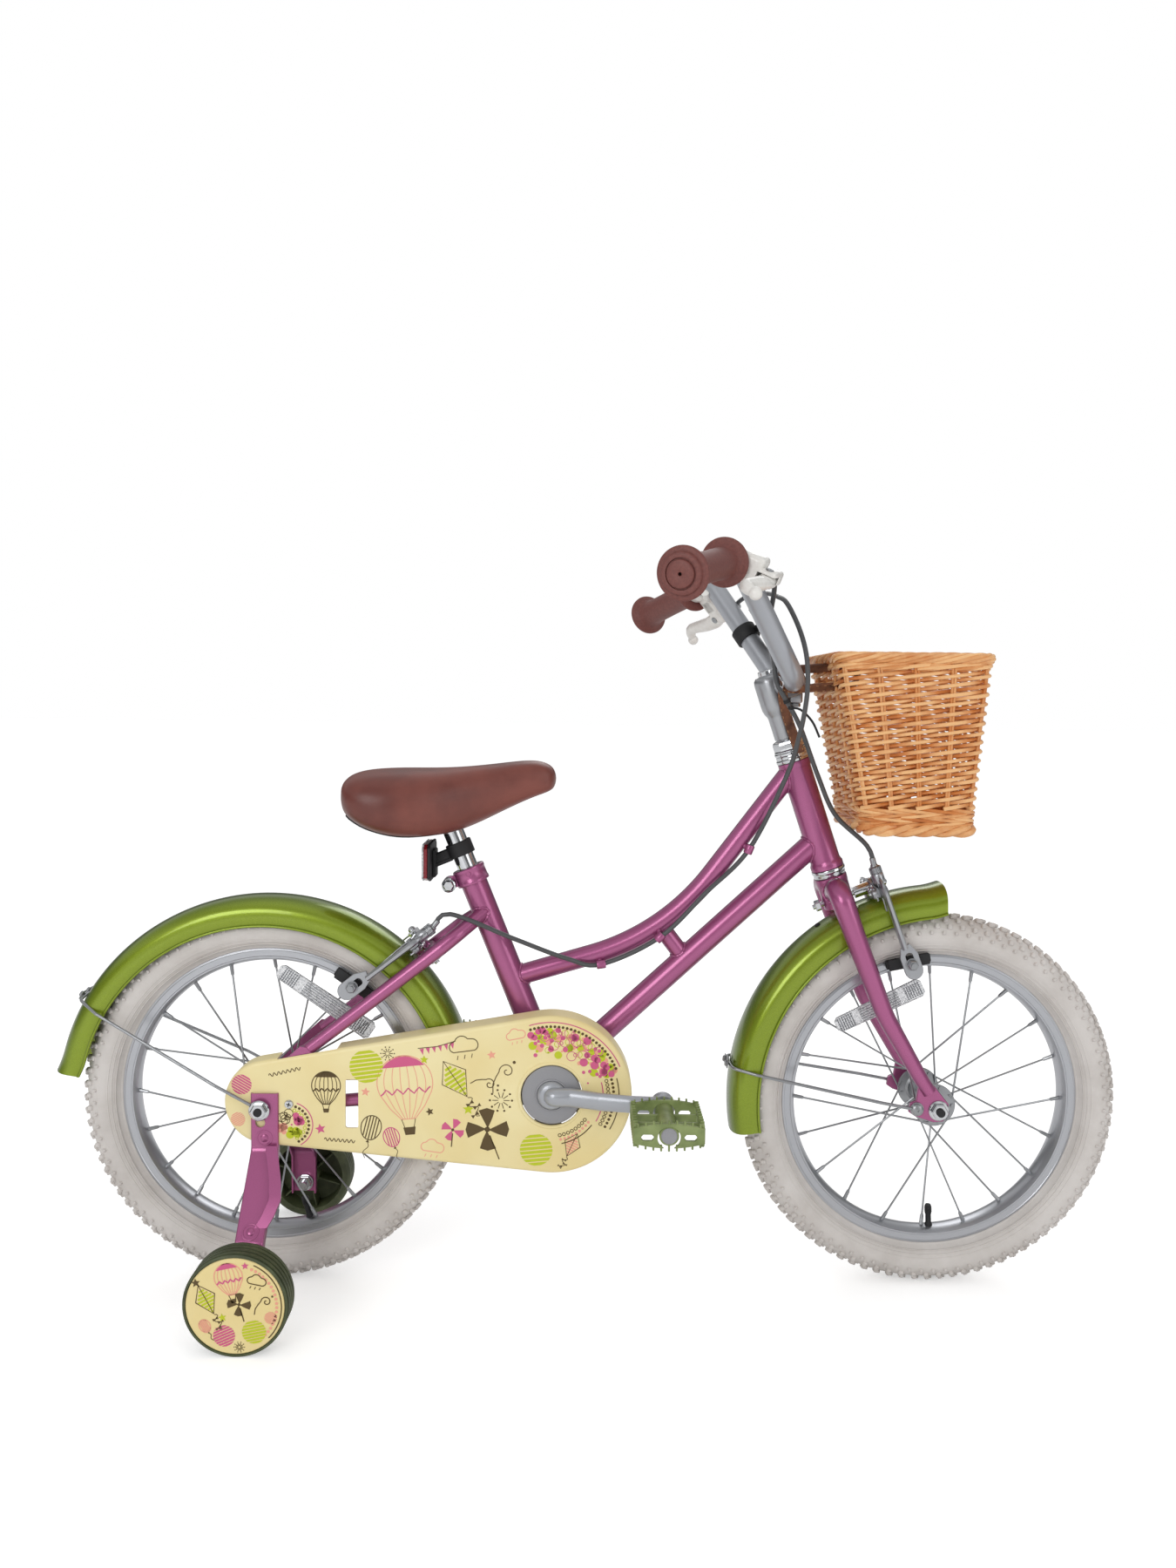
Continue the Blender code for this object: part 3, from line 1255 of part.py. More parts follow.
# Side-pull brakes
def brake(name, pivot, out, down, pad_low, tangent):
    """The two arms and two pads of a brake. Local axes are right, down and out."""
    right = RIGHT

    def local(u, w, n):
        return pivot + right * u + down * w + out * n

    made = []
    for side in (1, -1):
        label = "right" if side > 0 else "left"
        low, high = (0.0047, 0.0085) if side > 0 else (0.0, 0.0038)
        centre_n = (low + high) / 2
        eye = bar(f"{name}_brake_arm_{label}", local(0, 0, low), local(0, 0, high), 0.0080, 10,
                  CHROME)
        lower_path = [
            local(side * 0.003, 0.000, centre_n),
            local(side * 0.0370, -0.0100 + 0.012 * (side < 0), centre_n),
            local(side * 0.0385, 0.0080, centre_n),
            local(side * 0.0350, pad_low - 0.0190, centre_n),
        ]
        tip = local(0.0300, -0.0180, centre_n) if side > 0 else local(0.0285, 0.0030, centre_n)
        half = (high - low) / 2
        tools = [
            swept(f"{name}_arm_low_{label}", lower_path, strip(half - 0.0002, 0.0040), out),
            swept(f"{name}_arm_up_{label}", [local(0, 0, centre_n), tip],
                  strip(half - 0.0004, 0.0038), out),
        ]
        plate_outline = [(-0.0070, -0.0200), (0.0050, -0.0225), (0.0085, -0.0120),
                         (0.0085, 0.0060), (0.0040, 0.0115), (-0.0040, 0.0115),
                         (-0.0085, 0.0060), (-0.0085, -0.0120)]
        middle = local(side * 0.0350, pad_low, centre_n + 0.002)
        tools.append(plate(f"{name}_pad_plate_{label}", plate_outline,
                           middle - out.cross(down) * 0.0015, out, down, 0.0030))
        if side > 0:
            tools.append(bar(f"{name}_adjuster", local(0.0300, -0.0120, centre_n),
                             local(0.0300, -0.0275, centre_n), 0.0042, 8))
        else:
            tools.append(bar(f"{name}_anchor", local(0.0285, 0.0030, -0.0040),
                             local(0.0285, 0.0030, 0.0038), 0.0042, 8))
        weld(eye, *tools)
        slot_at = local(side * 0.0350, pad_low - 0.0030, centre_n + 0.002)
        slot_axes = Matrix((right, down, right.cross(down))).transposed()
        cut(
            eye,
            bar(f"{name}_eye_bore_{label}", local(0, 0, -0.01), local(0, 0, 0.02), 0.0033, 6),
            block(f"{name}_slot_{label}", (0.02, 0.0140, 0.0064), slot_at, slot_axes),
        )
        stud_at = local(side * 0.0350, pad_low, centre_n + 0.002)
        lateral = 0.0125 + BRAKE_GAP
        pad_middle = Vector((stud_at.x, -side * (lateral + 0.0050), stud_at.z))
        pad_axes = Matrix((tangent, Y, tangent.cross(Y))).transposed()
        pad = block(f"{name}_brake_pad_{label}", (0.0480, 0.0100, 0.0095), pad_middle, pad_axes,
                    RUBBER)
        outward = Y * -side
        stud_base = Vector((stud_at.x, 0, stud_at.z))
        weld(
            pad,
            bar(f"{name}_stud_{label}", stud_base + outward * 0.0220, stud_base + outward * 0.0425,
                0.0028, 6),
            bar(f"{name}_pad_nut_{label}", stud_base + outward * 0.0370,
                stud_base + outward * 0.0410, 0.0060, 6),
        )
        joint(f"{name}_brake_axis_{label}", pivot, eye, pad)
        made += [eye, pad]
    return made


rear_down = Vector((-0.788, 0, -0.615)).normalized()
rear_pivot = bridge + brake_out * 0.0150
rear_tangent = Vector((-0.82, 0, 0.57)).normalized()
rear_brake = brake("rear", rear_pivot, brake_out, rear_down, 0.0795, rear_tangent)
front_down = Vector((0.357, 0, -0.934)).normalized()
front_pivot = crown_at + fork_out * 0.0360
front_tangent = Vector((0.98, 0, 0.20)).normalized()
front_brake = brake("front", front_pivot, fork_out, front_down, BRAKE_REACH, front_tangent)
rear_brake_bolt = bar(
    "rear_brake_bolt", bridge - brake_out * 0.0145, rear_pivot + brake_out * 0.0170, 0.0028, 8,
    CHROME,
)
weld(
    rear_brake_bolt,
    bar("rear_bolt_nut", bridge - brake_out * 0.0125, bridge - brake_out * 0.0066, 0.0060, 6),
    bar("rear_bolt_spacer", bridge + brake_out * 0.0066, rear_pivot - brake_out * 0.0004, 0.0058,
        8),
    bar("rear_bolt_cap", rear_pivot + brake_out * 0.0090, rear_pivot + brake_out * 0.0150, 0.0068,
        6),
)
front_brake_bolt = bar(
    "front_brake_bolt", crown_at - fork_out * 0.0290, front_pivot + fork_out * 0.0190, 0.0028, 8,
    CHROME,
)
weld(
    front_brake_bolt,
    bar("front_bolt_nut", crown_at - fork_out * 0.0265, crown_at - fork_out * 0.0200, 0.0062, 6),
    bar("front_bolt_spacer", crown_at + fork_out * 0.0176, front_pivot - fork_out * 0.0004, 0.0075,
        8),
    bar("front_bolt_cap", front_pivot + fork_out * 0.0090, front_pivot + fork_out * 0.0160, 0.0068,
        6),
)
joint("rear_wheel_axis", REAR_AXLE, rear_tyre, rear_rim, rear_hub)
joint("front_wheel_axis", FRONT_AXLE, front_tyre, front_rim, front_hub)
joint("freewheel_axis", REAR_AXLE, freewheel)
joint("crank_axis", BRACKET, crank, chainring, chainring_cover)
joint("seat_post_axis", seat_line(0.2440), seat_post, saddle, saddle_base, rear_reflector)

# Brake cables
rear_route = [
    (0.5042, 0.116, 0.7402),
    (0.5106, 0.095, 0.7482),
    (0.5208, 0.070, 0.7527),
    (0.5305, 0.030, 0.7497),
    (0.5345, -0.010, 0.7430),
    (0.5392, -0.040, 0.7338),
    (0.5476, -0.065, 0.7071),
    (0.5531, -0.078, 0.6802),
    (0.5549, -0.080, 0.6541),
    (0.5548, -0.072, 0.6281),
    (0.5523, -0.055, 0.5971),
    (0.5441, -0.035, 0.5558),
    (0.5101, -0.010, 0.4749),
    (0.4640, -0.0158, 0.4285),
    (0.4157, -0.015, 0.3798),
    (0.3533, -0.012, 0.3493),
    (0.3159, -0.022, 0.3577),
    (0.2604, -0.026, 0.3721),
    (0.2159, -0.045, 0.3986),
    (0.1960, -0.036, 0.4040),
]
front_route = [
    (0.5125, -0.1225, 0.7530),
    (0.5155, -0.105, 0.7480),
    (0.5175, -0.088, 0.7380),
    (0.5180, -0.070, 0.7220),
    (0.5200, -0.052, 0.7000),
    (0.5265, -0.042, 0.6760),
    (0.5310, -0.0385, 0.6520),
    (0.5420, -0.0370, 0.6330),
    (0.5575, -0.034, 0.6058),
    (0.5775, -0.031, 0.5558),
    (0.5975, -0.028, 0.5146),
    (0.6190, -0.028, 0.4760),
]
rear_brake_cable = tube(
    "rear_brake_cable", eased([spot(*p) for p in rear_route], 0.045), CABLE_RADIUS, CABLE, 1
)
front_brake_cable = tube(
    "front_brake_cable", eased([spot(*p) for p in front_route], 0.03), CABLE_RADIUS, CABLE, 1
)

joint(
    "steering_axis",
    STEER_BASE,
    fork,
    front_axle,
    front_fender,
    front_fender_stay,
    front_brake_bolt,
    front_brake_cable,
    headset_locknut,
    stem,
    handlebar,
    grip_right,
    grip_left,
    lever_bracket_right,
    lever_bracket_left,
    front_reflector,
    basket,
    basket_strap_right,
    basket_strap_left,
)
steered = bpy.data.objects["steering_axis"]
for name in (
    "front_wheel_axis",
    "lever_axis_right",
    "lever_axis_left",
    "front_brake_axis_right",
    "front_brake_axis_left",
):
    pivot = bpy.data.objects[name]
    pivot.parent = steered
    pivot.matrix_parent_inverse = Matrix.Translation(-STEER_BASE)
for name in ("pedal_axis_right", "pedal_axis_left"):
    pivot = bpy.data.objects[name]
    pivot.parent = bpy.data.objects["crank_axis"]
    pivot.matrix_parent_inverse = Matrix.Translation(-BRACKET)
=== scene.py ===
"""Looks of a child's bicycle with training wheels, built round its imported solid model.

All measures are metres. X runs forward, Y to the rider's left and Z up from the floor.
Places are written as spot(x, y, z), with x counted forward from the rear axle.
"""

import json
import math

import bmesh
import bpy
from mathutils import Matrix, Vector


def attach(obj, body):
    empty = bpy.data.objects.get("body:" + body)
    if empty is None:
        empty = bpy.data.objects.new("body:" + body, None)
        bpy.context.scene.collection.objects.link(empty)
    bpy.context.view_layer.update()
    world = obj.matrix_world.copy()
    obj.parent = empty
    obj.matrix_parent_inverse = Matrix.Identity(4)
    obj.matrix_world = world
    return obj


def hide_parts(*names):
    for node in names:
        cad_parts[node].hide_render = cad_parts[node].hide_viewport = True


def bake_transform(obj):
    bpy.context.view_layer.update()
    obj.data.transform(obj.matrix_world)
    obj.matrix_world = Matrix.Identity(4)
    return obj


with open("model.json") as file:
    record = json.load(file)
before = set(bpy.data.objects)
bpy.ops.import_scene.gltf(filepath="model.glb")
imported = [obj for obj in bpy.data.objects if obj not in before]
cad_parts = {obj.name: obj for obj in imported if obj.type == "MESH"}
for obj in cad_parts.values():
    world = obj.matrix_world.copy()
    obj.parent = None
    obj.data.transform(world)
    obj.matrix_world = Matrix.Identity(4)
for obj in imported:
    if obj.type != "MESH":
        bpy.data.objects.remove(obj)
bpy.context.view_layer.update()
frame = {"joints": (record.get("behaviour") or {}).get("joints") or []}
joints = {joint["name"]: joint for joint in frame["joints"]}

X = Vector((1, 0, 0))
Y = Vector((0, 1, 0))
Z = Vector((0, 0, 1))
RIGHT = -Y


# Camera: a normal lens at the height of the handlebar, looking a little down at the right side
camera = bpy.data.objects.new("camera", bpy.data.cameras.new("camera"))
bpy.context.scene.collection.objects.link(camera)
bpy.context.scene.camera = camera
camera.data.sensor_width = 36
camera.data.lens = 27.04
yaw, pitch, roll = 0.0104, -0.0701, 0.0118
ahead = Vector((math.sin(yaw) * math.cos(pitch), math.cos(yaw) * math.cos(pitch), math.sin(pitch)))
level = Vector((math.cos(yaw), -math.sin(yaw), 0))
across = level * math.cos(roll) + level.cross(ahead) * math.sin(roll)
turned_up = across.cross(ahead)
camera.matrix_world = Matrix.Translation((-0.0203, -1.2594, 0.6307)) @ Matrix(
    (across, turned_up, -ahead)
).transposed().to_4x4()


# Floor and backdrop: a white studio sweep that keeps the bicycle's shadow, under soft lamps
def linear(hex_colour):
    """An sRGB hex colour as linear RGBA."""
    parts = []
    for k in (0, 2, 4):
        value = int(hex_colour[k : k + 2], 16) / 255
        parts.append(value / 12.92 if value < 0.04045 else ((value + 0.055) / 1.055) ** 2.4)
    return (*parts, 1.0)


def add(tree, kind, sockets=None, **settings):
    """Adds a node to a tree: its settings, and its sockets' values or the outputs that feed them."""
    made = tree.nodes.new(kind)
    for name, value in settings.items():
        setattr(made, name, value)
    for key, value in (sockets or {}).items():
        if isinstance(value, bpy.types.NodeSocket):
            tree.links.new(value, made.inputs[key])
        else:
            made.inputs[key].default_value = value
    return made


def seen_directly(tree, path):
    """1 where the backdrop is seen by eye or through clear plastic."""
    return add(tree, "ShaderNodeMath", {0: path.outputs["Is Camera Ray"],
               1: path.outputs["Is Transmission Ray"]}, operation="ADD", use_clamp=True).outputs[0]


world = bpy.data.worlds.new("studio")
bpy.context.scene.world = world
world.use_nodes = True
tree = world.node_tree
path = add(tree, "ShaderNodeLightPath")
level = add(tree, "ShaderNodeMapRange", {"Value": seen_directly(tree, path), "To Min": 0.72,
            "To Max": 1.0})
# polished metal sees the dark flags that stand round a studio table
way = add(tree, "ShaderNodeSeparateXYZ", {0: add(tree, "ShaderNodeTexCoord").outputs["Generated"]})
flags = add(tree, "ShaderNodeValToRGB", {"Fac": way.outputs["Z"]})
for place, grey in ((0.0, "8C8C90"), (0.22, "55565A"), (0.4, "F0F0F0"), (0.75, "B4B4B8")):
    stop = flags.color_ramp.elements.new(place) if place else flags.color_ramp.elements[0]
    stop.color = linear(grey)
flags.color_ramp.elements[-1].color = linear("FFFFFF")
loss = add(tree, "ShaderNodeMath", {0: flags.outputs["Color"], 1: 1.0}, operation="SUBTRACT")
kept = add(tree, "ShaderNodeMath", {0: path.outputs["Is Glossy Ray"], 1: loss.outputs[0], 2: 1.0},
           operation="MULTIPLY_ADD")
strength = add(tree, "ShaderNodeMath", {0: level.outputs[0], 1: kept.outputs[0]},
               operation="MULTIPLY")
tree.nodes["Background"].inputs["Color"].default_value = linear("FFFFFF")
tree.links.new(strength.outputs[0], tree.nodes["Background"].inputs["Strength"])

floor_paper = bpy.data.materials.new("white_paper_sweep")
floor_paper.use_nodes = True
tree = floor_paper.node_tree
paper = tree.nodes["Principled BSDF"]
paper.inputs["Base Color"].default_value = linear("F4F4F4")
paper.inputs["Roughness"].default_value = 0.9
paper.inputs["Emission Color"].default_value = linear("FFFFFF")
glow = add(tree, "ShaderNodeMath", {0: seen_directly(tree, add(tree, "ShaderNodeLightPath")),
           1: 0.4}, operation="MULTIPLY")
tree.links.new(glow.outputs[0], paper.inputs["Emission Strength"])

floor_mesh = bpy.data.meshes.new("floor")
floor_mesh.from_pydata([(-30, -30, 0), (30, -30, 0), (30, 30, 0), (-30, 30, 0)], [], [(0, 1, 2, 3)])
floor_mesh.materials.append(floor_paper)
floor = bpy.data.objects.new("floor", floor_mesh)
bpy.context.scene.collection.objects.link(floor)


def softbox(name, place, target, size, power):
    """A square area lamp aimed at a place."""
    lamp = bpy.data.lights.new(name, "AREA")
    lamp.size = size
    lamp.energy = power
    held = bpy.data.objects.new(name, lamp)
    bpy.context.scene.collection.objects.link(held)
    aim = (Vector(target) - Vector(place)).to_track_quat("-Z", "Y")
    held.matrix_world = Matrix.Translation(place) @ aim.to_matrix().to_4x4()


softbox("key_lamp", (-1.3, -2.4, 1.3), (0, 0, 0.4), 1.2, 17)
softbox("fill_lamp", (1.9, -1.8, 1.0), (0, 0, 0.4), 1.2, 7)
softbox("rim_lamp", (0.4, 2.0, 1.9), (0, 0, 0.4), 1.2, 8)
bpy.context.scene.view_settings.view_transform = "Standard"


# Tyres: moulded grey-white rubber, a round carcass with fine rings on the sidewall
# and small square blocks over the crown and shoulders
def hinge_place(name):
    """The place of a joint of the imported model."""
    return Vector(joints[name]["pos_m"])


REAR_AXLE = hinge_place("rear_wheel_spin")
FRONT_AXLE = hinge_place("front_wheel_spin")


def spot(x, y, z):
    """A place whose x is counted forward from the rear axle."""
    return Vector((x + REAR_AXLE.x, y, z))


def facing(along, near=X):
    """Axes as matrix columns: Z is `along` and X leans towards `near`."""
    z = Vector(along).normalized()
    x = Vector(near) - z * z.dot(Vector(near))
    x = x.normalized() if x.length > 1e-6 else z.orthogonal().normalized()
    return Matrix((x, z.cross(x), z)).transposed()


def material(name, hex_colour, roughness, metallic=0.0, **sockets):
    """A material with its colour and gloss on the shader; returns it, its tree and shader."""
    made = bpy.data.materials.new(name)
    made.use_nodes = True
    surface = made.node_tree.nodes["Principled BSDF"]
    surface.inputs["Base Color"].default_value = linear(hex_colour)
    surface.inputs["Roughness"].default_value = roughness
    surface.inputs["Metallic"].default_value = metallic
    for socket, value in sockets.items():
        surface.inputs[socket.replace("_", " ")].default_value = value
    made.diffuse_color = linear(hex_colour)
    return made, made.node_tree, surface


def noise(scale, detail, **sockets):
    """A cloudy pattern, for a material to follow."""
    def spread(tree, place):
        return add(tree, "ShaderNodeTexNoise", {"Vector": place, "Scale": scale,
                   "Detail": detail, **sockets}).outputs["Fac"]
    return spread


def cells(scale, **settings):
    """A pattern of cells that rises from each one's middle."""
    def spread(tree, place):
        return add(tree, "ShaderNodeTexVoronoi", {"Vector": place, "Scale": scale},
                   **settings).outputs["Distance"]
    return spread


def patterned(name, hex_colour, roughness, metallic=0.0, tint=None, gloss=None, relief=None,
              **sockets):
    """A material whose colour, roughness and relief follow patterns of Object coordinates.

    tint is (pattern, (place, colour), ...), gloss (pattern, low, high and, where they aren't
    0 and 1, the pattern's own ends) and relief (pattern, strength, distance and, where the
    pattern's high places are hollows, "inward").
    """
    made, tree, surface = material(name, hex_colour, roughness, metallic, **sockets)
    place = add(tree, "ShaderNodeTexCoord").outputs["Object"]
    if tint:
        ramp = add(tree, "ShaderNodeValToRGB", {"Fac": tint[0](tree, place)})
        stops = ramp.color_ramp.elements
        for k, (at, colour) in enumerate(tint[1:]):
            stop = stops.new(at) if 0 < k < len(tint) - 2 else stops[-1 if k else 0]
            stop.position = at
            stop.color = linear(colour)
        tree.links.new(ramp.outputs["Color"], surface.inputs["Base Color"])
    if gloss:
        pattern, low, high, first, last = (*gloss, 0.0, 1.0)[:5]
        rough = add(tree, "ShaderNodeMapRange", {"Value": pattern(tree, place),
                    "From Min": first, "From Max": last, "To Min": low, "To Max": high})
        tree.links.new(rough.outputs[0], surface.inputs["Roughness"])
    if relief:
        pattern, strength, distance, *inward = relief
        bump = add(tree, "ShaderNodeBump", {"Height": pattern(tree, place),
                   "Strength": strength, "Distance": distance}, invert=bool(inward))
        tree.links.new(bump.outputs["Normal"], surface.inputs["Normal"])
    return made


def piece(name, mesh, finish, smooth=35, outward=True):
    """An object of this mesh: doubles merged, faces outward, round sides shaded smooth."""
    if outward:
        shape = bmesh.new()
        shape.from_mesh(mesh)
        bmesh.ops.remove_doubles(shape, verts=shape.verts, dist=0.000002)
        bmesh.ops.recalc_face_normals(shape, faces=shape.faces)
        shape.to_mesh(mesh)
        shape.free()
    mesh.shade_smooth()
    mesh.set_sharp_from_angle(angle=math.radians(smooth))
    if finish and not mesh.materials:
        mesh.materials.append(finish)
    made = bpy.data.objects.new(name, mesh)
    bpy.context.scene.collection.objects.link(made)
    return made


def skin(points, faces):
    """A mesh from points and faces."""
    mesh = bpy.data.meshes.new("skin")
    mesh.from_pydata([tuple(point) for point in points], [], faces)
    return mesh


def loft(rings, closed=False, capped=True):
    """A mesh over rings of points, capped at both ends unless it closes on itself."""
    count = len(rings[0])
    faces = []
    for i in range(len(rings) if closed else len(rings) - 1):
        low = i * count
        high = (i + 1) % len(rings) * count
        for k in range(count):
            after = (k + 1) % count
            faces.append((low + k, low + after, high + after, high + k))
    if capped and not closed:
        faces.append(tuple(range(count))[::-1])
        faces.append(tuple(range(len(rings) * count - count, len(rings) * count)))
    return skin([point for ring in rings for point in ring], faces)


def lathe(profile, steps, centre=Vector(), along=Z, closed=None):
    """A (radius, distance along) outline spun round `along`; from radius 0 it is left open."""
    axes = facing(along)
    if closed is None:
        closed = profile[0][0] > 0
    rings = []
    for k in range(steps):
        turn = 2 * math.pi * k / steps
        out = Vector((math.cos(turn), math.sin(turn), 0))
        rings.append([centre + axes @ (out * r + Z * h) for r, h in profile])
    count = len(profile)
    faces = []
    for i in range(steps):
        low = i * count
        high = (i + 1) % steps * count
        for k in range(count if closed else count - 1):
            after = (k + 1) % count
            faces.append((low + k, low + after, high + after, high + k))
    return skin([point for ring in rings for point in ring], faces)


def joined(name, meshes, finish, smooth=35, outward=True):
    """One object from several meshes, each of them cleaned and turned outward by itself."""
    whole = bmesh.new()
    for mesh in meshes:
        part = bmesh.new()
        part.from_mesh(mesh)
        if outward:
            bmesh.ops.remove_doubles(part, verts=part.verts, dist=0.000002)
            loose = [edge for edge in part.edges if not edge.link_faces]
            bmesh.ops.delete(part, geom=loose, context="EDGES")
            bmesh.ops.recalc_face_normals(part, faces=part.faces)
        part.to_mesh(mesh)
        part.free()
        whole.from_mesh(mesh)
        bpy.data.meshes.remove(mesh)
    result = bpy.data.meshes.new(name)
    whole.to_mesh(result)
    whole.free()
    return piece(name, result, finish, smooth, outward=False)


def mounted(made, body, slot, *replaced):
    """Sets a piece on its body and hides the solids that it stands for; slot, its material slot, is not
    used.
    """
    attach(made, body)
    if replaced:
        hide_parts(*replaced)
    return made


def slab(size, centre=Vector(), axes=Matrix.Identity(3), edge=0.0005, segments=1):
    """A block with its edges eased."""
    shape = bmesh.new()
    bmesh.ops.create_cube(shape, size=1)
    for corner in shape.verts:
        corner.co = Vector([corner.co[k] * size[k] for k in range(3)])
    if edge:
        bmesh.ops.bevel(shape, geom=shape.edges[:], offset=edge, segments=segments,
                        affect="EDGES", profile=0.5)
    shape.transform(Matrix.Translation(centre) @ axes.to_4x4())
    mesh = bpy.data.meshes.new("slab")
    shape.to_mesh(mesh)
    shape.free()
    return mesh


def sized_tree(name, **sizes):
    """A Geometry Nodes tree with a named input for each size, and those inputs' outputs."""
    tree = bpy.data.node_groups.new(name, "GeometryNodeTree")
    tree.interface.new_socket("Geometry", in_out="INPUT", socket_type="NodeSocketGeometry")
    tree.interface.new_socket("Geometry", in_out="OUTPUT", socket_type="NodeSocketGeometry")
    for label, value in sizes.items():
        kinds = {int: "NodeSocketInt", float: "NodeSocketFloat"}
        made = tree.interface.new_socket(
            label, in_out="INPUT", socket_type=kinds.get(type(value), "NodeSocket" + str(value))
        )
        if type(value) in kinds:
            made.default_value = value
    return tree, add(tree, "NodeGroupInput").outputs


def ended(tree, geometry, finish):
    """Closes a tree: instances made real, the material set, the result put out."""
    real = add(tree, "GeometryNodeRealizeInstances", {"Geometry": geometry})
    painted = add(tree, "GeometryNodeSetMaterial", {"Geometry": real.outputs[0], "Material": finish})
    add(tree, "NodeGroupOutput", {"Geometry": painted.outputs[0]})


def grown(tree, start=None, **sizes):
    """The plain mesh that a tree makes with these sizes, from a starting mesh where it has one."""
    holder = bpy.data.objects.new(tree.name, start or bpy.data.meshes.new(tree.name))
    bpy.context.scene.collection.objects.link(holder)
    grow = holder.modifiers.new("Grow", "NODES")
    grow.node_group = tree
    for item in tree.interface.items_tree:
        if item.in_out == "INPUT" and item.name in sizes:
            grow[item.identifier] = sizes[item.name]
    graph = bpy.context.evaluated_depsgraph_get()
    mesh = bpy.data.meshes.new_from_object(holder.evaluated_get(graph))
    bpy.data.objects.remove(holder)
    return mesh


def ring_tree(name, finish):
    """A tree that sets copies of a shape evenly round Z, starting at an angle."""
    tree, given = sized_tree(name, Shape="Object", Count=12, Start=0.0)
    shape = add(tree, "GeometryNodeObjectInfo", {"Object": given["Shape"], "As Instance": True})
    points = add(tree, "GeometryNodePoints", {"Count": given["Count"]})
    step = add(tree, "ShaderNodeMath", {0: math.tau, 1: given["Count"]}, operation="DIVIDE")
    index = add(tree, "GeometryNodeInputIndex")
    turn = add(tree, "ShaderNodeMath", {0: index.outputs[0], 1: step.outputs[0],
               2: given["Start"]}, operation="MULTIPLY_ADD")
    angles = add(tree, "ShaderNodeCombineXYZ", {"Z": turn.outputs[0]})
    spin = add(tree, "FunctionNodeEulerToRotation", {"Euler": angles.outputs[0]})
    copies = add(tree, "GeometryNodeInstanceOnPoints", {"Points": points.outputs[0],
                 "Instance": shape.outputs["Geometry"], "Rotation": spin.outputs[0]})
    ended(tree, copies.outputs[0], finish)
    return tree


def ring_of(tree, meshes, count, start=0.0, centre=Vector(), along=Z):
    """Copies of some meshes round an axis, as one mesh."""
    template = joined("template", meshes, None)
    made = grown(tree, Shape=template, Count=count, Start=start)
    bpy.data.objects.remove(template)
    made.transform(Matrix.Translation(centre) @ facing(along).to_4x4())
    return made


# Natural-rubber compound coloured off-white: matt, a little chalky, browner where it was handled
tyre_rubber = patterned("moulded_grey_white_rubber", "CFCAC5", 0.72,
                        tint=(noise(16, 5, Roughness=0.65), (0.3, "C2BCB7"), (0.62, "D3CECA")),
                        relief=(noise(900, 3), 0.25, 0.0004))

TYRE_HALF_WIDTH = 0.0258
TYRE_STEPS = 120
BLOCK_PITCH = 88
tread_tree = ring_tree("tread_blocks", tyre_rubber)


def tyre_profile():
    """The carcass from bead to bead over the crown, with its hollow inside."""
    centre, half = 0.1795, TYRE_HALF_WIDTH - 0.0006
    outer = [(0.1515, -0.0103), (0.16, -0.0106)]
    for k in range(-14, 15):
        angle = math.radians(k * 9.0)
        flat = 0.0203 if abs(k) < 10 else 0.0205
        outer.append((centre + flat * math.cos(angle), half * math.sin(angle)))
    outer = [point for point in outer if point[0] >= 0.1645 or abs(point[1]) < 0.0107]
    outer += [(0.16, 0.0106), (0.1515, 0.0103)]
    inner = [(0.1515, 0.006)]
    for k in range(8, -9, -1):
        angle = math.radians(k * 15.0)
        inner.append((centre + 0.0185 * math.cos(angle), 0.0215 * math.sin(angle)))
    inner.append((0.1515, -0.006))
    return outer + inner


def sidewall_ring(radius, out, width=0.0007):
    """A raised moulding line round the sidewall, as a small closed outline."""
    return [(radius - width, out - 0.0008), (radius - width / 2, out + 0.0003),
            (radius + width / 2, out + 0.0003), (radius + width, out - 0.0008)]


def tread_meshes():
    """One pitch of the tread: crown blocks, shoulder blocks and the small edge studs."""
    blocks = []
    for offset, out, turn, size in (
        (-0.0048, 0.0, 0.0, (0.007, 0.0072)),
        (0.0048, 0.0, 2.0, (0.007, 0.0072)),
        (-0.0138, 0.0, 1.0, (0.0044, 0.0062, 0.0064)),
        (0.0138, 0.0, 1.0, (0.0044, 0.0062, 0.0064)),
        (-0.0208, 0.0, 0.0, (0.0048, 0.0058)),
        (0.0208, 0.0, 0.0, (0.0048, 0.0058)),
        (-0.0243, 0.0, 2.1, (0.003, 0.0042)),
        (0.0243, 0.0, 2.1, (0.003, 0.0042)),
    ):
        lean = math.asin(max(-1, min(1, offset / (TYRE_HALF_WIDTH - 0.0006))))
        if abs(offset) > 0.024:
            lean = math.copysign(math.radians(74), offset)
        out_way = Vector((math.cos(lean), 0, math.sin(lean)))
        reach = Vector((0.1795 + 0.0217 * math.cos(lean), 0,
                        (TYRE_HALF_WIDTH - 0.0004) * math.sin(lean)))
        top = reach + out_way * 0.0008
        axes = Matrix((out_way, Y, out_way.cross(Y))).transposed()
        block = slab((0.004, *size), top - out_way * 0.0005, axes, 0.0009)
        block.transform(Matrix.Rotation(math.radians(turn), 4, "Z"))
        blocks.append(block)
    return blocks


def tyre(name, axle, body):
    """A carcass with its moulding lines and blocks."""
    meshes = [lathe(tyre_profile(), TYRE_STEPS, axle, RIGHT)]
    for side in (1, -1):
        for radius, out in ((0.1655, 0.0192), (0.169, 0.0217), (0.1725, 0.0236)):
            line = [(r, side * a) for r, a in sidewall_ring(radius, out)]
            meshes.append(lathe(line, TYRE_STEPS, axle, RIGHT))
    meshes.append(ring_of(tread_tree, tread_meshes(), BLOCK_PITCH, 0.0, axle, RIGHT))
    mounted(joined(name + "_tyre_moulded", meshes, tyre_rubber, 40), body, "grey_tyre",
            name + "_tyre")


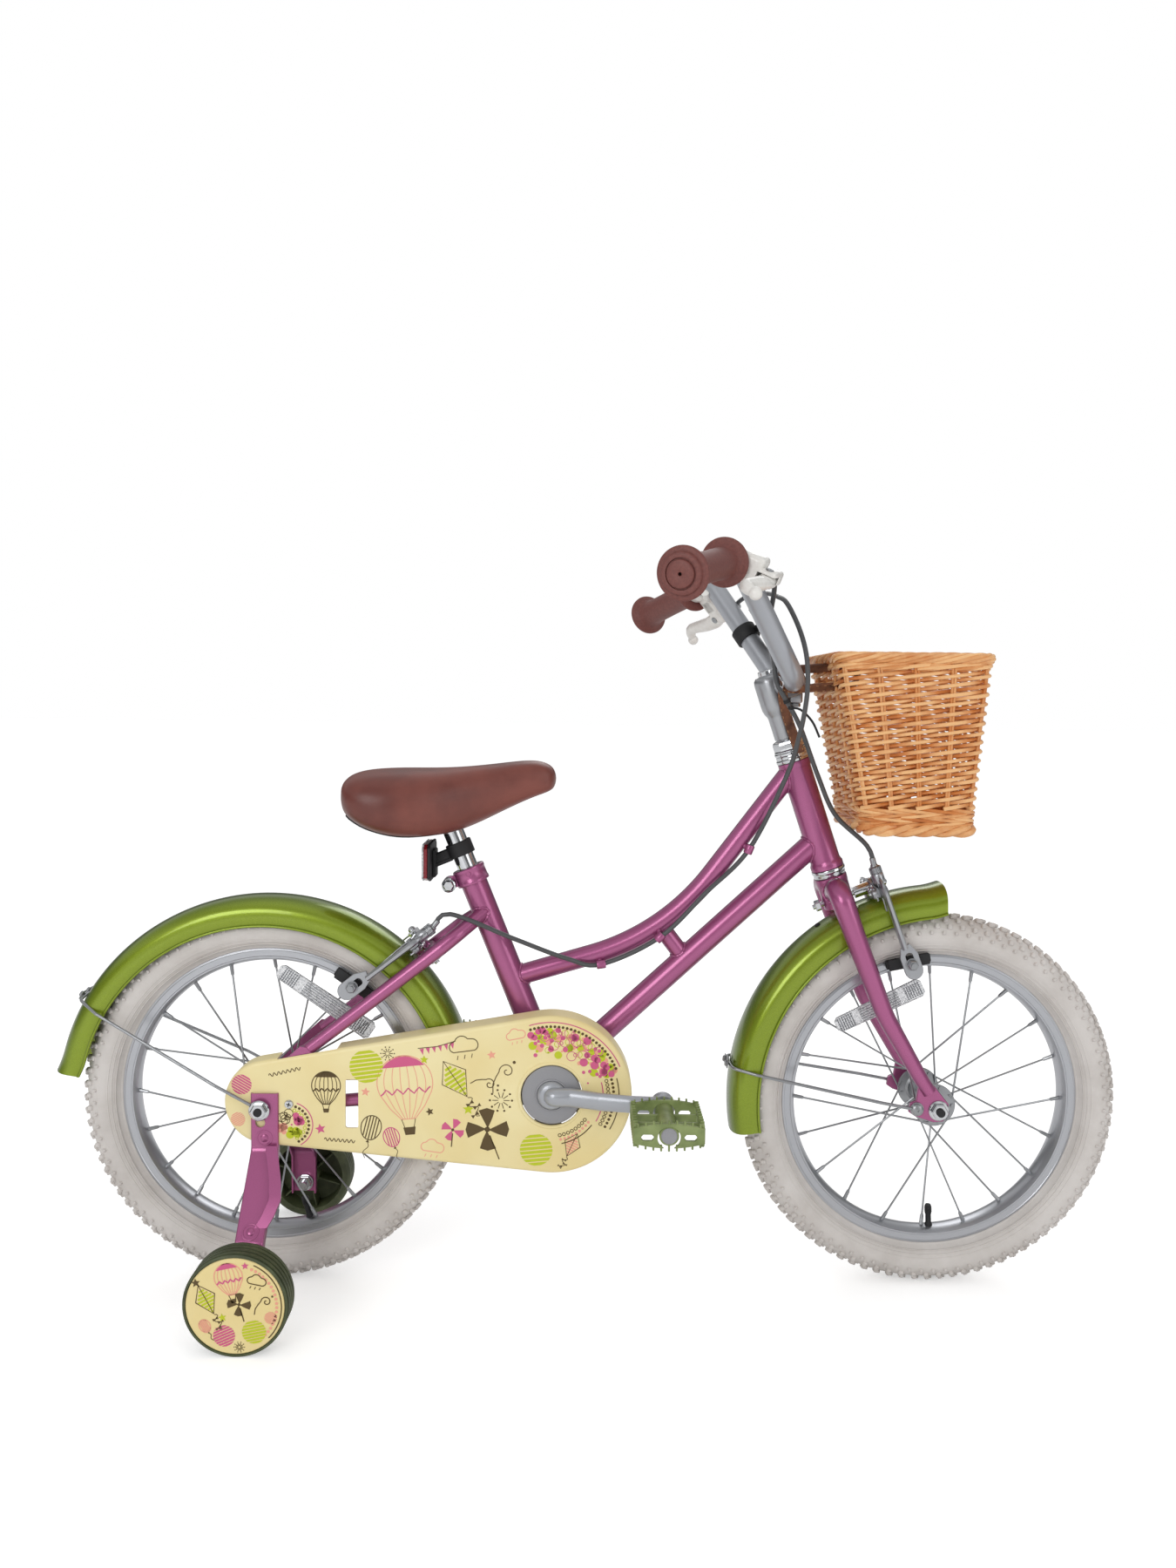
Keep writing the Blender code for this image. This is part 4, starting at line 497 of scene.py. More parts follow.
tyre("rear", REAR_AXLE, "rear_wheel")
tyre("front", FRONT_AXLE, "front_wheel")


# Rims: extruded aluminium rolled into a hoop, with a machined brake track on both sides;
# the tyre's bead sits in its edges and a rubber valve comes through its bed
def turned_lines(axle):
    """Fine lines round a wheel's axle, as a pattern."""
    def spread(tree, place):
        centred = add(tree, "ShaderNodeMapping", {"Vector": place, "Location": -axle,
                      "Scale": (1, 0, 1)})
        far = add(tree, "ShaderNodeVectorMath", {0: centred.outputs[0]}, operation="LENGTH")
        return add(tree, "ShaderNodeTexNoise", {"W": far.outputs["Value"], "Scale": 2600,
                   "Detail": 4}, noise_dimensions="1D").outputs["Fac"]
    return spread


RIM_BED = 0.145


def rim_alloy(name, axle):
    """Drawn aluminium with a satin skin: circular lines that spread each highlight."""
    lines = turned_lines(axle)
    return patterned("satin_aluminium_" + name, "C2C4C9", 0.3, 1.0, gloss=(lines, 0.22, 0.44),
                     relief=(lines, 0.12, 0.0002))


# Chrome plate over steel: bright, with a faint haze where fingers touched it
chrome = patterned("chrome_plate", "D9DBDE", 0.1, 1.0, gloss=(noise(70, 4), 0.07, 0.24, 0.35, 0.75))

# Zinc-plated steel: greyer and softer than chrome, with a fine drawn grain
zinc = patterned("zinc_plated_steel", "A9ABAE", 0.36, 1.0, gloss=(noise(220, 5), 0.24, 0.52))

# Black moulded rubber: soft sheen, slightly dusty
black_rubber = patterned("black_moulded_rubber", "202022", 0.62,
                         relief=(noise(1300, 3), 0.3, 0.0003))


def rim(name, axle, body, valve_angle):
    """The hoop with its hooked edges, grooves and hollow bed, and its valve."""
    half = [
        (0.15, 0.0082), (0.156, 0.0086), (0.159, 0.01), (0.1598, 0.0114),
        (0.1594, 0.0126), (0.1576, 0.0129), (0.157, 0.0124), (0.1512, 0.0122),
        (0.1506, 0.0128), (0.1492, 0.0128), (0.1486, 0.0118), (0.147, 0.0098),
        (0.1456, 0.0052), (RIM_BED, 0.0),
    ]
    outline = half + [(r, -a) for r, a in reversed(half[:-1])]
    mounted(joined(name + "_rim_hoop", [lathe(outline, 144, axle, RIGHT)],
                   rim_alloy(name, axle), 30), body, "silver_alloy", name + "_rim")
    down = Vector((math.cos(valve_angle), 0, math.sin(valve_angle)))
    stem = [(0, 0.15), (0.0042, 0.15), (0.004, 0.1438), (0.0031, 0.142), (0.003, 0.133),
            (0.0035, 0.1322), (0.0036, 0.124), (0.003, 0.1222), (0, 0.122)]
    ribs = [[(0.0034, a - 0.0004), (0.004, a), (0.0034, a + 0.0004)] for a in
            (0.13, 0.1284, 0.1268, 0.1252)]
    mounted(joined(name + "_valve_stem", [lathe(r, 20, axle, down) for r in [stem] + ribs],
                   black_rubber), body, "black_rubber")


rim("rear", REAR_AXLE, "rear_wheel", math.radians(285))
rim("front", FRONT_AXLE, "front_wheel", math.radians(273))


# Hubs and spokes: a steel barrel with pressed flanges, and twenty straight wires laced across
# each other from the flange holes to brass nipples in the rim
SPOKES_A_FLANGE = 10
SPOKE_RADIUS = 0.00105
LACING = math.radians(72)
spoke_tree = ring_tree("laced_spokes", zinc)


def headings(path):
    """The direction of a path at each point, halfway between the runs that meet there."""
    runs = [(b - a).normalized() for a, b in zip(path, path[1:])]
    return [(a + b).normalized() for a, b in zip(runs[:1] + runs, runs + runs[-1:])]


def rod(points, radius, sides=8, radii=None):
    """A round bar through some points, its ring at each corner set across the bend."""
    points = [Vector(point) for point in points]
    rings = []
    side = None
    for k, (point, along) in enumerate(zip(points, headings(points))):
        side = along.orthogonal().normalized() if side is None else (
            side - along * side.dot(along)).normalized()
        other = along.cross(side)
        wide = radii[k] if radii else radius
        rings.append([
            point + side * wide * math.cos(2 * math.pi * j / sides)
            + other * wide * math.sin(2 * math.pi * j / sides) for j in range(sides)
        ])
    return loft(rings)


def one_spoke(rim_angle, flange, lean):
    """A wire from its head in the flange to the nipple in the rim, in wheel axes."""
    hub_angle = rim_angle + LACING * lean
    hole = Vector((math.cos(hub_angle) * 0.0195, math.sin(hub_angle) * 0.0195, flange * 0.029))
    bend = hole + Z * flange * 0.0022 * lean
    tip = Vector((math.cos(rim_angle) * 0.1462, math.sin(rim_angle) * 0.1462, flange * 0.0022))
    inward = (bend - tip).normalized()
    return [
        rod([hole - Z * flange * 0.002 * lean, bend, bend - inward * 0.0015, tip],
            SPOKE_RADIUS, 6),
        rod([hole - Z * flange * 0.003 * lean, hole - Z * flange * 0.0016 * lean], 0.0021, 8),
        rod([tip, tip + inward * 0.002, tip + inward * 0.01, tip + inward * 0.0118],
            0.0019, 8, [0.0026, 0.0021, 0.0019, 0.0013]),
    ]


def hub(name, axle, body, right_end):
    """Barrel, flanges and spokes; the rear one carries the freewheel's threaded step."""
    half = [
        (0.0078, 0.0392), (0.0102, 0.0388), (0.0106, 0.0372), (0.0106, 0.0322), (0.0126, 0.0312),
        (0.0222, 0.0306), (0.0228, 0.0299), (0.0228, 0.0283), (0.0222, 0.0276), (0.015, 0.027),
        (0.0126, 0.025), (0.0118, 0.0215), (0.0116, 0.01),
    ]
    left = [(r, -a) for r, a in reversed(half)]
    right = right_end + half[5:] if right_end else half
    barrel = lathe([(0.0058, 0.0)] + [(0.0058, right[0][1])] + right + left
                   + [(0.0058, left[-1][1])], 48, axle, RIGHT)
    wires = []
    for pair in range(2):
        lean = 1 if pair else -1
        wires += one_spoke(math.tau / SPOKES_A_FLANGE * pair, 1, lean)
        wires += one_spoke(math.tau / SPOKES_A_FLANGE * (pair + 0.5), -1, lean)
    laced = ring_of(spoke_tree, wires, SPOKES_A_FLANGE // 2, 0.0, axle, RIGHT)
    mounted(joined(name + "_hub_and_spokes", [barrel, laced], zinc, 35), body, "grey_steel",
            name + "_hub")


hub("rear", REAR_AXLE, "rear_wheel",
    [(0.013, 0.0464), (0.016, 0.046), (0.0164, 0.0452), (0.0164, 0.032), (0.018, 0.0308)])
hub("front", FRONT_AXLE, "front_wheel", None)


# Spoke reflectors: clear acrylic boats with prism ribs along them, clipped between two spokes
# the lens is painted grey at the bottom of each prism pit: painted shade in the pits
prism_cells_and_shade = cells(420, distance="CHEBYCHEV")
clear_plastic = patterned("clear_prism_acrylic", "EDEEF1", 0.16, Transmission_Weight=0.55,
                          IOR=1.49, tint=(prism_cells_and_shade, (0.0, "8E9196"), (0.45, "F2F3F5")),
                          relief=(prism_cells_and_shade, 0.5, 0.0008))
LENS_PLANE = 0.012

# Silvered prisms inside the lens: grey until light falls straight in
silvered_prism = patterned("silvered_prism", "7C7F85", 0.3, 0.6,
                           relief=(cells(700, distance="CHEBYCHEV"), 0.6, 0.0005))


def spoke_reflector(name, body, start, end):
    """A long six-sided lens between two places of the wheel, ribbed on both faces."""
    along = (end - start).normalized()
    up = along.cross(Y)
    middle = (start + end) / 2 + RIGHT * LENS_PLANE
    axes = Matrix((along, Y, up)).transposed()
    half = (end - start).length / 2
    outline = [(-half, -0.0045), (-half + 0.004, -0.0082), (half - 0.004, -0.01), (half, -0.0062),
               (half, 0.0062), (half - 0.004, 0.01), (-half + 0.004, 0.0082), (-half, 0.0045)]
    rings = []
    for depth, grow in ((-0.0025, 0.93), (-0.0018, 1.0), (0.0018, 1.0), (0.0025, 0.93)):
        rings.append([middle + axes @ Vector((a * (1 - (1 - grow) * 0.3), depth, b * grow))
                      for a, b in outline])
    prisms = []
    for side in (-1, 1):
        for k in range(6):
            b = -0.0066 + 0.00264 * k
            prisms.append(slab((0.9 * half, 0.0006, 0.0006), middle + axes @ Vector(
                (0, side * 0.0027, b)), axes, 0.0002))
        for k in range(84):
            end = 1 if k >= 42 else -1
            at = (end * (0.62 * half + 0.0026 * (k % 42 // 6)), side * 0.0027,
                  -0.0062 + 0.0025 * (k % 6))
            prisms.append(slab((0.0014, 0.0006, 0.0015), middle + axes @ Vector(at), axes, 0.0002))
    for part, meshes, finish in (("lens", [loft(rings)], clear_plastic),
                                 ("prisms", prisms, silvered_prism)):
        mounted(joined(f"{name}_spoke_{part}", meshes, finish, 25), body, "white_plastic")


spoke_reflector("rear", "rear_wheel", spot(0.0081, 0, 0.3403), spot(0.1077, 0, 0.2728))
spoke_reflector("front", "front_wheel", spot(0.608, 0, 0.284), spot(0.7, 0, 0.329))


# Frame: steel tubes mitred and brazed together, stamped dropouts, then one coat of pearl
# enamel over everything, painted darker where the surface turns from the eye: partly the pearl's own
# shift, partly painted shade on the tubes' sides
CRANK_AXIS = hinge_place("crank_spin")
STEER_BASE = hinge_place("steering_turn")
STEER_UP = Vector(joints["steering_turn"]["axis"]).normalized()
SEAT_UP = Vector(joints["seat_height"]["axis"]).normalized()
SEAT_TUBE_RADIUS = 0.0143
TOP_TUBE_RADIUS = 0.0111
DOWN_TUBE_RADIUS = 0.0127
HEAD_TUBE_RADIUS = 0.016


def enamel(name, light, deep, rough):
    """Pearl enamel: a metallic base under clear lacquer, painted darker at glancing angles, partly the
    pearl's own shift and partly painted shade.
    """
    def glancing(tree, place):
        return add(tree, "ShaderNodeLayerWeight", {"Blend": 0.42}).outputs["Facing"]

    # mica flakes are 0.05 mm; they are drawn at 0.4 mm so that they show
    return patterned(name, light, rough, 0.55, Coat_Weight=0.55, Coat_Roughness=0.08,
                     tint=(glancing, (0.1, light), (0.88, deep)),
                     gloss=(cells(2500), rough - 0.06, rough + 0.1),
                     relief=(noise(160, 2), 0.05, 0.0006))


pink_enamel = enamel("pearl_pink_enamel", "B35F8F", "76335D", 0.3)


def seat_line(distance):
    return CRANK_AXIS + SEAT_UP * distance


def steer_line(distance):
    return STEER_BASE + STEER_UP * distance


def rounded(corners, bend, steps=8):
    """A path through the corners, each inner one eased to an arc of radius `bend`."""
    corners = [Vector(corner) for corner in corners]
    path = [corners[0]]
    for before, corner, after in zip(corners, corners[1:], corners[2:]):
        back = before - corner
        on = after - corner
        half = back.angle(on) / 2
        reach = min(bend / math.tan(half), 0.48 * min(back.length, on.length))
        radius = reach * math.tan(half)
        back.normalize()
        on.normalize()
        centre = corner + (back + on).normalized() * (radius / math.sin(half))
        arm = corner + back * reach - centre
        axis = arm.cross(corner + on * reach - centre).normalized()
        spread = math.pi - 2 * half
        path += [
            centre + Matrix.Rotation(spread * k / steps, 3, axis) @ arm for k in range(steps + 1)
        ]
    path.append(corners[-1])
    return path


def tube(path, radius, end_radius=None, sides=32):
    """A round tube along a path, tapered evenly where end_radius is given."""
    last = radius if end_radius is None else end_radius
    reach = [0.0]
    for a, b in zip(path, path[1:]):
        reach.append(reach[-1] + (Vector(b) - Vector(a)).length)
    radii = [radius + (last - radius) * r / reach[-1] for r in reach]
    return rod(path, radius, sides, radii)


def braze(at, along, radius, trunk_at, trunk_along, trunk_radius, bead=0.0016):
    """The rippled bead where a tube that runs `along` meets a thicker round one."""
    axes = facing(along)
    trunk_along = Vector(trunk_along).normalized()
    along = Vector(along).normalized()
    count = 72
    centres = []
    for k in range(count):
        turn = 2 * math.pi * k / count
        start = Vector(at) + axes @ Vector((math.cos(turn), math.sin(turn), 0)) * radius
        away = start - Vector(trunk_at)
        away -= trunk_along * away.dot(trunk_along)
        travel = along - trunk_along * along.dot(trunk_along)
        a = travel.dot(travel)
        b = 2 * away.dot(travel)
        c = away.dot(away) - trunk_radius**2
        inside = b * b - 4 * a * c
        if inside < 0:
            return []
        centres.append(start + along * (-b - math.sqrt(inside)) / (2 * a))
    rings = []
    for k, centre in enumerate(centres):
        forward = (centres[(k + 1) % count] - centres[k - 1]).normalized()
        ring_axes = facing(forward, axes.col[2])
        thick = bead * (1 + 0.16 * math.sin(k * 2 * math.pi / 4.5))
        rings.append([
            centre + ring_axes @ Vector((math.cos(2 * math.pi * j / 8),
                                         math.sin(2 * math.pi * j / 8), 0)) * thick
            for j in range(8)
        ])
    return [loft(rings, closed=True)]


def flat_plate(outline, origin, across, up, thickness, edge=0.0006):
    """A stamped plate: an outline of (across, up) with eased edges, thick along across x up."""
    out = Vector(across).cross(Vector(up)).normalized()
    middle = Vector((sum(a for a, _ in outline), sum(b for _, b in outline))) / len(outline)
    rings = []
    for depth, inset in ((0, edge), (edge, 0), (thickness - edge, 0), (thickness, edge)):
        ring = []
        for a, b in outline:
            away = Vector((a, b)) - middle
            a, b = middle + away * (1 - inset / max(away.length, 1e-6))
            ring.append(Vector(origin) + Vector(across) * a + Vector(up) * b + out * depth)
        rings.append(ring)
    return loft(rings)


def polar(centre, radius, degrees):
    """A flat place at an angle and a distance from another."""
    turn = math.radians(degrees)
    return (centre[0] + radius * math.cos(turn), centre[1] + radius * math.sin(turn))


def arc(centre, radius, first, last, steps):
    """Points of a round stretch of a flat outline, angles in degrees."""
    return [polar(centre, radius, first + (last - first) * k / steps) for k in range(steps + 1)]


top_corners = [seat_line(0.1185), spot(0.4228, 0, 0.3809), steer_line(0.0549)]
top_path = rounded(top_corners, 0.275, 24)
down_end = steer_line(-0.028)
down_along = (down_end - CRANK_AXIS).normalized()
head_half = [(0.0, 0.0609), (0.016, 0.0609), (0.0176, 0.0605), (0.0178, 0.056),
             (0.0166, 0.0535), (HEAD_TUBE_RADIUS, 0.0515)]
head_outline = head_half + [(r, -h) for r, h in reversed(head_half)]
shell_half = [(0.0, 0.034), (0.028, 0.034), (0.0287, 0.0332), (0.0287, 0.03), (0.028, 0.0292)]
shell_outline = shell_half + [(r, -h) for r, h in reversed(shell_half)]
frame_meshes = [
    lathe([(0.0, -0.02), (SEAT_TUBE_RADIUS, -0.02), (SEAT_TUBE_RADIUS, 0.2425),
           (0.0118, 0.243), (0.0118, 0.2), (0.0, 0.2)], 40, CRANK_AXIS, SEAT_UP),
    tube(top_path, TOP_TUBE_RADIUS),
    tube([CRANK_AXIS, down_end], DOWN_TUBE_RADIUS),
    tube([spot(0.4165, 0, 0.39), spot(0.445, 0, 0.353)], 0.0095, sides=24),
    lathe(shell_outline, 48, CRANK_AXIS, Y),
    lathe(head_outline, 48, STEER_BASE, STEER_UP),
]
top_out = (top_path[1] - top_path[0]).normalized()
frame_meshes += braze(seat_line(0.1185) + top_out * 0.05, -top_out, TOP_TUBE_RADIUS,
                      CRANK_AXIS, SEAT_UP, SEAT_TUBE_RADIUS)
top_in = (top_path[-1] - top_path[-2]).normalized()
frame_meshes += braze(steer_line(0.0549) - top_in * 0.05, top_in, TOP_TUBE_RADIUS,
                      STEER_BASE, STEER_UP, HEAD_TUBE_RADIUS)
frame_meshes += braze(down_end - down_along * 0.05, down_along, DOWN_TUBE_RADIUS, STEER_BASE,
                      STEER_UP, HEAD_TUBE_RADIUS)
frame_meshes += braze(CRANK_AXIS + down_along * 0.08, -down_along, DOWN_TUBE_RADIUS, CRANK_AXIS,
                      Y, 0.028)
frame_meshes += braze(seat_line(0.08), -SEAT_UP, SEAT_TUBE_RADIUS, CRANK_AXIS, Y, 0.028)
brace_along = (spot(0.445, 0, 0.353) - spot(0.4165, 0, 0.39)).normalized()
frame_meshes += braze(spot(0.43, 0, 0.3725), brace_along, 0.0095, CRANK_AXIS, down_along,
                      DOWN_TUBE_RADIUS)

dropout_outline = [
    (-0.019, -0.0052), (0.0005, -0.0053), *arc((0.0005, 0), 0.0053, -80, 80, 8),
    (-0.019, 0.0052), (-0.0188, 0.009), (-0.017, 0.013), (0.018, 0.045),
    (0.04, 0.065), (0.047, 0.064), (0.054, 0.056), (0.035, 0.033), (0.0318, 0.025),
    (0.033, 0.0165), (0.064, 0.009), (0.064, -0.0045), (0.02, -0.0125),
    (0.004, -0.0145), (-0.01, -0.014), (-0.0175, -0.011),
]
for side in (-1, 1):
    seat_stay = [
        spot(0.2279, side * 0.007, 0.4049), spot(0.2, side * 0.036, 0.3835),
        spot(0.185, side * 0.0395, 0.3713), spot(0.043, side * 0.047, 0.2606),
    ]
    chainstay = [
        spot(0.285, side * 0.02, 0.219), spot(0.19, side * 0.0352, 0.2145),
        spot(0.04, side * 0.0475, 0.2065),
    ]
    stay_path = rounded(seat_stay, 0.03, 6)
    edge = min(side * 0.05, side * 0.054)
    frame_meshes += [
        tube(stay_path, 0.008, 0.0068, 24),
        tube(rounded(chainstay, 0.2, 8), 0.0078, 0.0065, 24),
        flat_plate(dropout_outline, REAR_AXLE + Y * (edge + 0.004), X, Z, 0.004),
    ]
    stay_out = (stay_path[1] - stay_path[0]).normalized()
    frame_meshes += braze(stay_path[0] + stay_out * 0.035, -stay_out, 0.008, CRANK_AXIS,
                          SEAT_UP, SEAT_TUBE_RADIUS)
frame_meshes += [
    tube([spot(0.168, -0.0405, 0.3581), spot(0.168, 0.0405, 0.3581)], 0.006, sides=20),
    tube([spot(0.24, -0.029, 0.2177), spot(0.24, 0.029, 0.2177)], 0.006, sides=20),
]
GUIDES = [(spot(0.5101, -0.01, 0.4749), spot(0.4985, 0, 0.484)),
          (spot(0.4157, -0.015, 0.3798), spot(0.4142, 0, 0.3932)),
          (spot(0.3533, -0.012, 0.3493), spot(0.3497, 0, 0.3592))]
GUIDE_WAYS = [(-0.36, 0.03, -0.93), (-0.7, 0.02, -0.71), (-0.98, -0.1, -0.12)]
for (held, root), way in zip(GUIDES, GUIDE_WAYS):
    stub = (root - held).normalized()
    loop = [(0.0031, -0.0048), (0.0044, -0.0048), (0.0048, -0.004), (0.0048, 0.004),
            (0.0044, 0.0048), (0.0031, 0.0048)]
    frame_meshes.append(lathe(loop, 20, held, way))
    frame_meshes.append(rod([held + stub * 0.0036, root], 0.003, 12))
mounted(joined("frame_brazed", frame_meshes, pink_enamel, 40), "frame", "pink_enamel", "frame")


# Headset cups and bottom bracket cups: pressed and turned steel rings, chromed


cup = [(0.0131, 0.0609), (0.0164, 0.0609), (0.0179, 0.0613), (0.0182, 0.0622), (0.0182, 0.064),
       (0.0176, 0.0648), (0.0172, 0.0662), (0.0174, 0.0676), (0.017, 0.069), (0.0131, 0.069)]
for place, node, way in (("top", "upper", STEER_UP), ("bottom", "lower", -STEER_UP)):
    mounted(joined("headset_cup_" + place, [lathe(cup, 48, STEER_BASE, way)], chrome), "frame",
            "chrome", "headset_cup_" + node)
bracket_cup = [
    (0.0104, 0.0345), (0.0255, 0.0345), (0.0272, 0.0349), (0.0274, 0.0358), (0.0268, 0.0372),
    (0.024, 0.0376), (0.0236, 0.0366), (0.018, 0.0364), (0.0172, 0.038), (0.0104, 0.0382),
]
for label, way in (("right", RIGHT), ("left", Y)):
    mounted(joined("bracket_cup_" + label, [lathe(bracket_cup, 48, CRANK_AXIS, way)], zinc),
            "frame", "grey_steel", "bottom_bracket_cup_" + label)


# Seat clamp: a folded steel collar in the frame's enamel, drawn up by a chromed bolt and nut
seat_back = SEAT_UP.cross(Y)
seat_back = seat_back if seat_back.x < 0 else -seat_back
clamp_axes = facing(SEAT_UP, seat_back)
collar = [
    (0.0116, 0.2476), (0.0166, 0.2478), (0.0175, 0.247), (0.0176, 0.244), (0.0172, 0.2434),
    (0.0172, 0.234), (0.0177, 0.2334), (0.0178, 0.2306), (0.0174, 0.23), (0.0151, 0.23),
    (0.0148, 0.2436), (0.0116, 0.244),
]
lug_at = seat_line(0.2385) + seat_back * 0.0222
collar_meshes = [lathe(collar, 48, CRANK_AXIS, SEAT_UP)]
for side in (-1, 1):
    collar_meshes.append(slab((0.014, 0.0034, 0.0128), lug_at + Y * side * 0.004, clamp_axes,
                              0.001, 2))
collar_meshes.append(tube([seat_line(0.242) + RIGHT * 0.0166, seat_line(0.242) + RIGHT * 0.0178],
                          0.003, 0.0024, 20))
mounted(joined("seat_clamp_collar", collar_meshes, pink_enamel, 40), "frame", "pink_enamel",
        "seat_clamp")


def hexagon(radius, low, high, centre, along, chamfer=0.0008):
    """A nut or bolt head: six flats with a chamfered rim."""
    outline = [(0.0, low), (radius - chamfer, low), (radius, low + chamfer),
               (radius, high - chamfer), (radius - chamfer, high), (0.0, high)]
    return lathe(outline, 6, centre, along)


clamp_bolt_at = seat_line(0.238) + seat_back * 0.0246
mounted(joined("seat_clamp_bolt", [
    lathe([(0.0, -0.014), (0.005, -0.014), (0.005, -0.015), (0.0062, -0.0162),
           (0.0074, -0.0155), (0.0078, -0.012), (0.0078, -0.007), (0.0, -0.007)], 32,
          clamp_bolt_at, Y),
    hexagon(0.0058, 0.015, 0.0176, clamp_bolt_at, RIGHT),
    lathe([(0.0, 0.006), (0.0078, 0.006), (0.0078, 0.0075), (0.0, 0.0075)], 32, clamp_bolt_at,
          Y),
    hexagon(0.007, 0.0075, 0.013, clamp_bolt_at, Y),
    lathe([(0.0, 0.013), (0.0034, 0.013), (0.003, 0.015), (0.0, 0.015)], 20, clamp_bolt_at,
          Y),
], chrome, 30), "frame", "chrome")


# Fenders: thin steel gutters with rolled edges, rolled to the wheel's curve and painted green
FENDER_HALF_WIDTH = 0.0305
REAR_FENDER = (spot(-0.0045, 0, 0.196), 0.2245)
FRONT_FENDER = (spot(0.7265, 0, 0.204), 0.2335)
green_enamel = enamel("pearl_green_enamel", "8A9E22", "46600F", 0.27)


def on_fender(shape, degrees, across=0.0, out=0.0):
    """A place on a fender, `out` beyond its outer crest."""
    centre, radius = shape
    angle = math.radians(degrees)
    way = Vector((math.cos(angle), 0, math.sin(angle)))
    return centre + way * (radius + out) + Y * across


def fender(shape, first, last, lift):
    """A gutter between two angles in degrees; lift(angle) raises and flares it at its ends."""
    w = FENDER_HALF_WIDTH - 0.0002
    crest = []
    for k in range(25):
        turn = math.radians(-90 + 7.5 * k)
        across = math.copysign(w * abs(math.sin(turn)) ** 0.86, turn)
        crest.append((across, -0.0195 + 0.0195 * math.cos(turn) ** 0.8 if abs(k - 12) < 12
                      else -0.0195))
    outer = [(-w, -0.03)] + crest + [(w, -0.03)]
    inner = [(a * (1 - 0.0013 / w), b - 0.0013) for a, b in outer[::-1]]
    section = outer + inner
    edge = [(0.0015 * math.cos(math.tau * j / 8), 0.0015 * math.sin(math.tau * j / 8))
            for j in range(8)]
    rings = []
    beads = {-1: [], 1: []}
    steps = 90
    for k in range(steps + 1):
        degrees = first + (last - first) * k / steps
        up, flare = lift(degrees)
        rings.append([on_fender(shape, degrees, a * (1 + flare), b + up) for a, b in section])
        for side in beads:
            beads[side].append([on_fender(shape, degrees, (side * w + a) * (1 + flare),
                                          -0.03 + b + up) for a, b in edge])
    return [loft(rings), loft(beads[-1]), loft(beads[1])]


def rear_lift(degrees):
    tail = max(0.0, degrees - 165) / 6
    return 0.0035 * tail**2, 0.02 * tail**2


def front_lift(degrees):
    nose = max(0.0, 97 - degrees) / 6
    return 0.005 * nose**2, 0.03 * nose**2


rear_meshes = fender(REAR_FENDER, 18, 171, rear_lift)
tab = rounded([on_fender(REAR_FENDER, 20, 0, -0.001), spot(0.224, 0, 0.243),
               spot(0.2349, 0, 0.2236)], 0.006, 6)


def strap_of(path, half_width, half_thickness, side, edge=0.0003):
    """A flat strip along a path that stays square to `side`."""
    path = [Vector(point) for point in path]
    side = Vector(side).normalized()
    w, t = half_width, half_thickness
    section = [(-w, -t + edge), (-w + edge, -t), (w - edge, -t), (w, -t + edge),
               (w, t - edge), (w - edge, t), (-w + edge, t), (-w, t - edge)]
    rings = []
    for point, on in zip(path, headings(path)):
        out = on.cross(side).normalized()
        rings.append([point + side * a + out * b for a, b in section])
    return loft(rings)


rear_meshes.append(strap_of(tab, 0.008, 0.0008, Y))
mounted(joined("rear_fender_gutter", rear_meshes, green_enamel, 50), "frame", "green_enamel",
        "rear_fender")
mounted(joined("front_fender_gutter", fender(FRONT_FENDER, 92, 189, front_lift), green_enamel, 50),
        "steering", "green_enamel", "front_fender")

# Rivets and clips on the fenders: black domed rivets on the crest, a folded clip and screw
# that hold the stay wire
rivet = [(0.0, -0.0004), (0.0034, -0.0004), (0.0033, 0.0008), (0.0022, 0.0019), (0.0, 0.0023)]
rivets = []
for degrees in (117.5, 126.5):
    at = on_fender(FRONT_FENDER, degrees)
    rivets.append(lathe(rivet, 20, at, at - FRONT_FENDER[0]))
mounted(joined("front_fender_rivets", rivets, black_rubber), "steering", "black_rubber")


# Fender stays: chromed spring wire bent to a fork round each fender, with an eye or a screw
# at each end
WIRE = 0.0017


def stay(name, body, shape, degrees, ends, eye_at, eye_outline):
    """The wire, its crest clip, and its two ends on the axle or on the fork's tab."""
    corners = []
    for side in (-1, 1):
        wire = [Vector((p.x, side * p.y, p.z)) for p in ends]
        wire += [on_fender(shape, degrees, side * 0.035, -0.024),
                 on_fender(shape, degrees, side * 0.024, 0.0)]
        corners += wire if side < 0 else wire[::-1]
    corners.insert(4, on_fender(shape, degrees, 0, 0.0026))
    meshes = [tube(rounded(corners, 0.008, 6), WIRE, sides=12)]
    for side in (-1, 1):
        meshes.append(lathe(eye_outline, 32, eye_at, Y * side))
    crest = on_fender(shape, degrees)
    out = (crest - shape[0]).normalized()
    for side in (-1, 1):
        at = crest + Y * side * 0.0085
        meshes.append(slab((0.009, 0.01, 0.0012), at + out * 0.0044,
                           facing(out, out.cross(Y)), 0.0004))
        meshes.append(hexagon(0.0034, 0.0046, 0.0072, at, out))
    mounted(joined(name + "_wire", meshes, zinc, 40), body, "grey_steel", name)


eye = [(0.0053, 0.0603), (0.0086, 0.0603), (0.009, 0.061), (0.009, 0.0629), (0.0086, 0.0636),
       (0.0053, 0.0636)]
screw = [(0.0, 0.0474), (0.0072, 0.0474), (0.0072, 0.0486), (0.006, 0.0488), (0.0062, 0.0514),
         (0.0046, 0.053), (0.0012, 0.0534), (0.001, 0.0524), (0.0, 0.0524)]
stay("rear_fender_stay", "frame", REAR_FENDER, 150,
     [spot(-0.007, 0.062, 0.2078), spot(-0.046, 0.0614, 0.229)], REAR_AXLE, eye)
stay("front_fender_stay", "steering", FRONT_FENDER, 171,
     [spot(0.685, 0.0492, 0.206), spot(0.65, 0.049, 0.2125)], spot(0.6875, 0, 0.2057), screw)


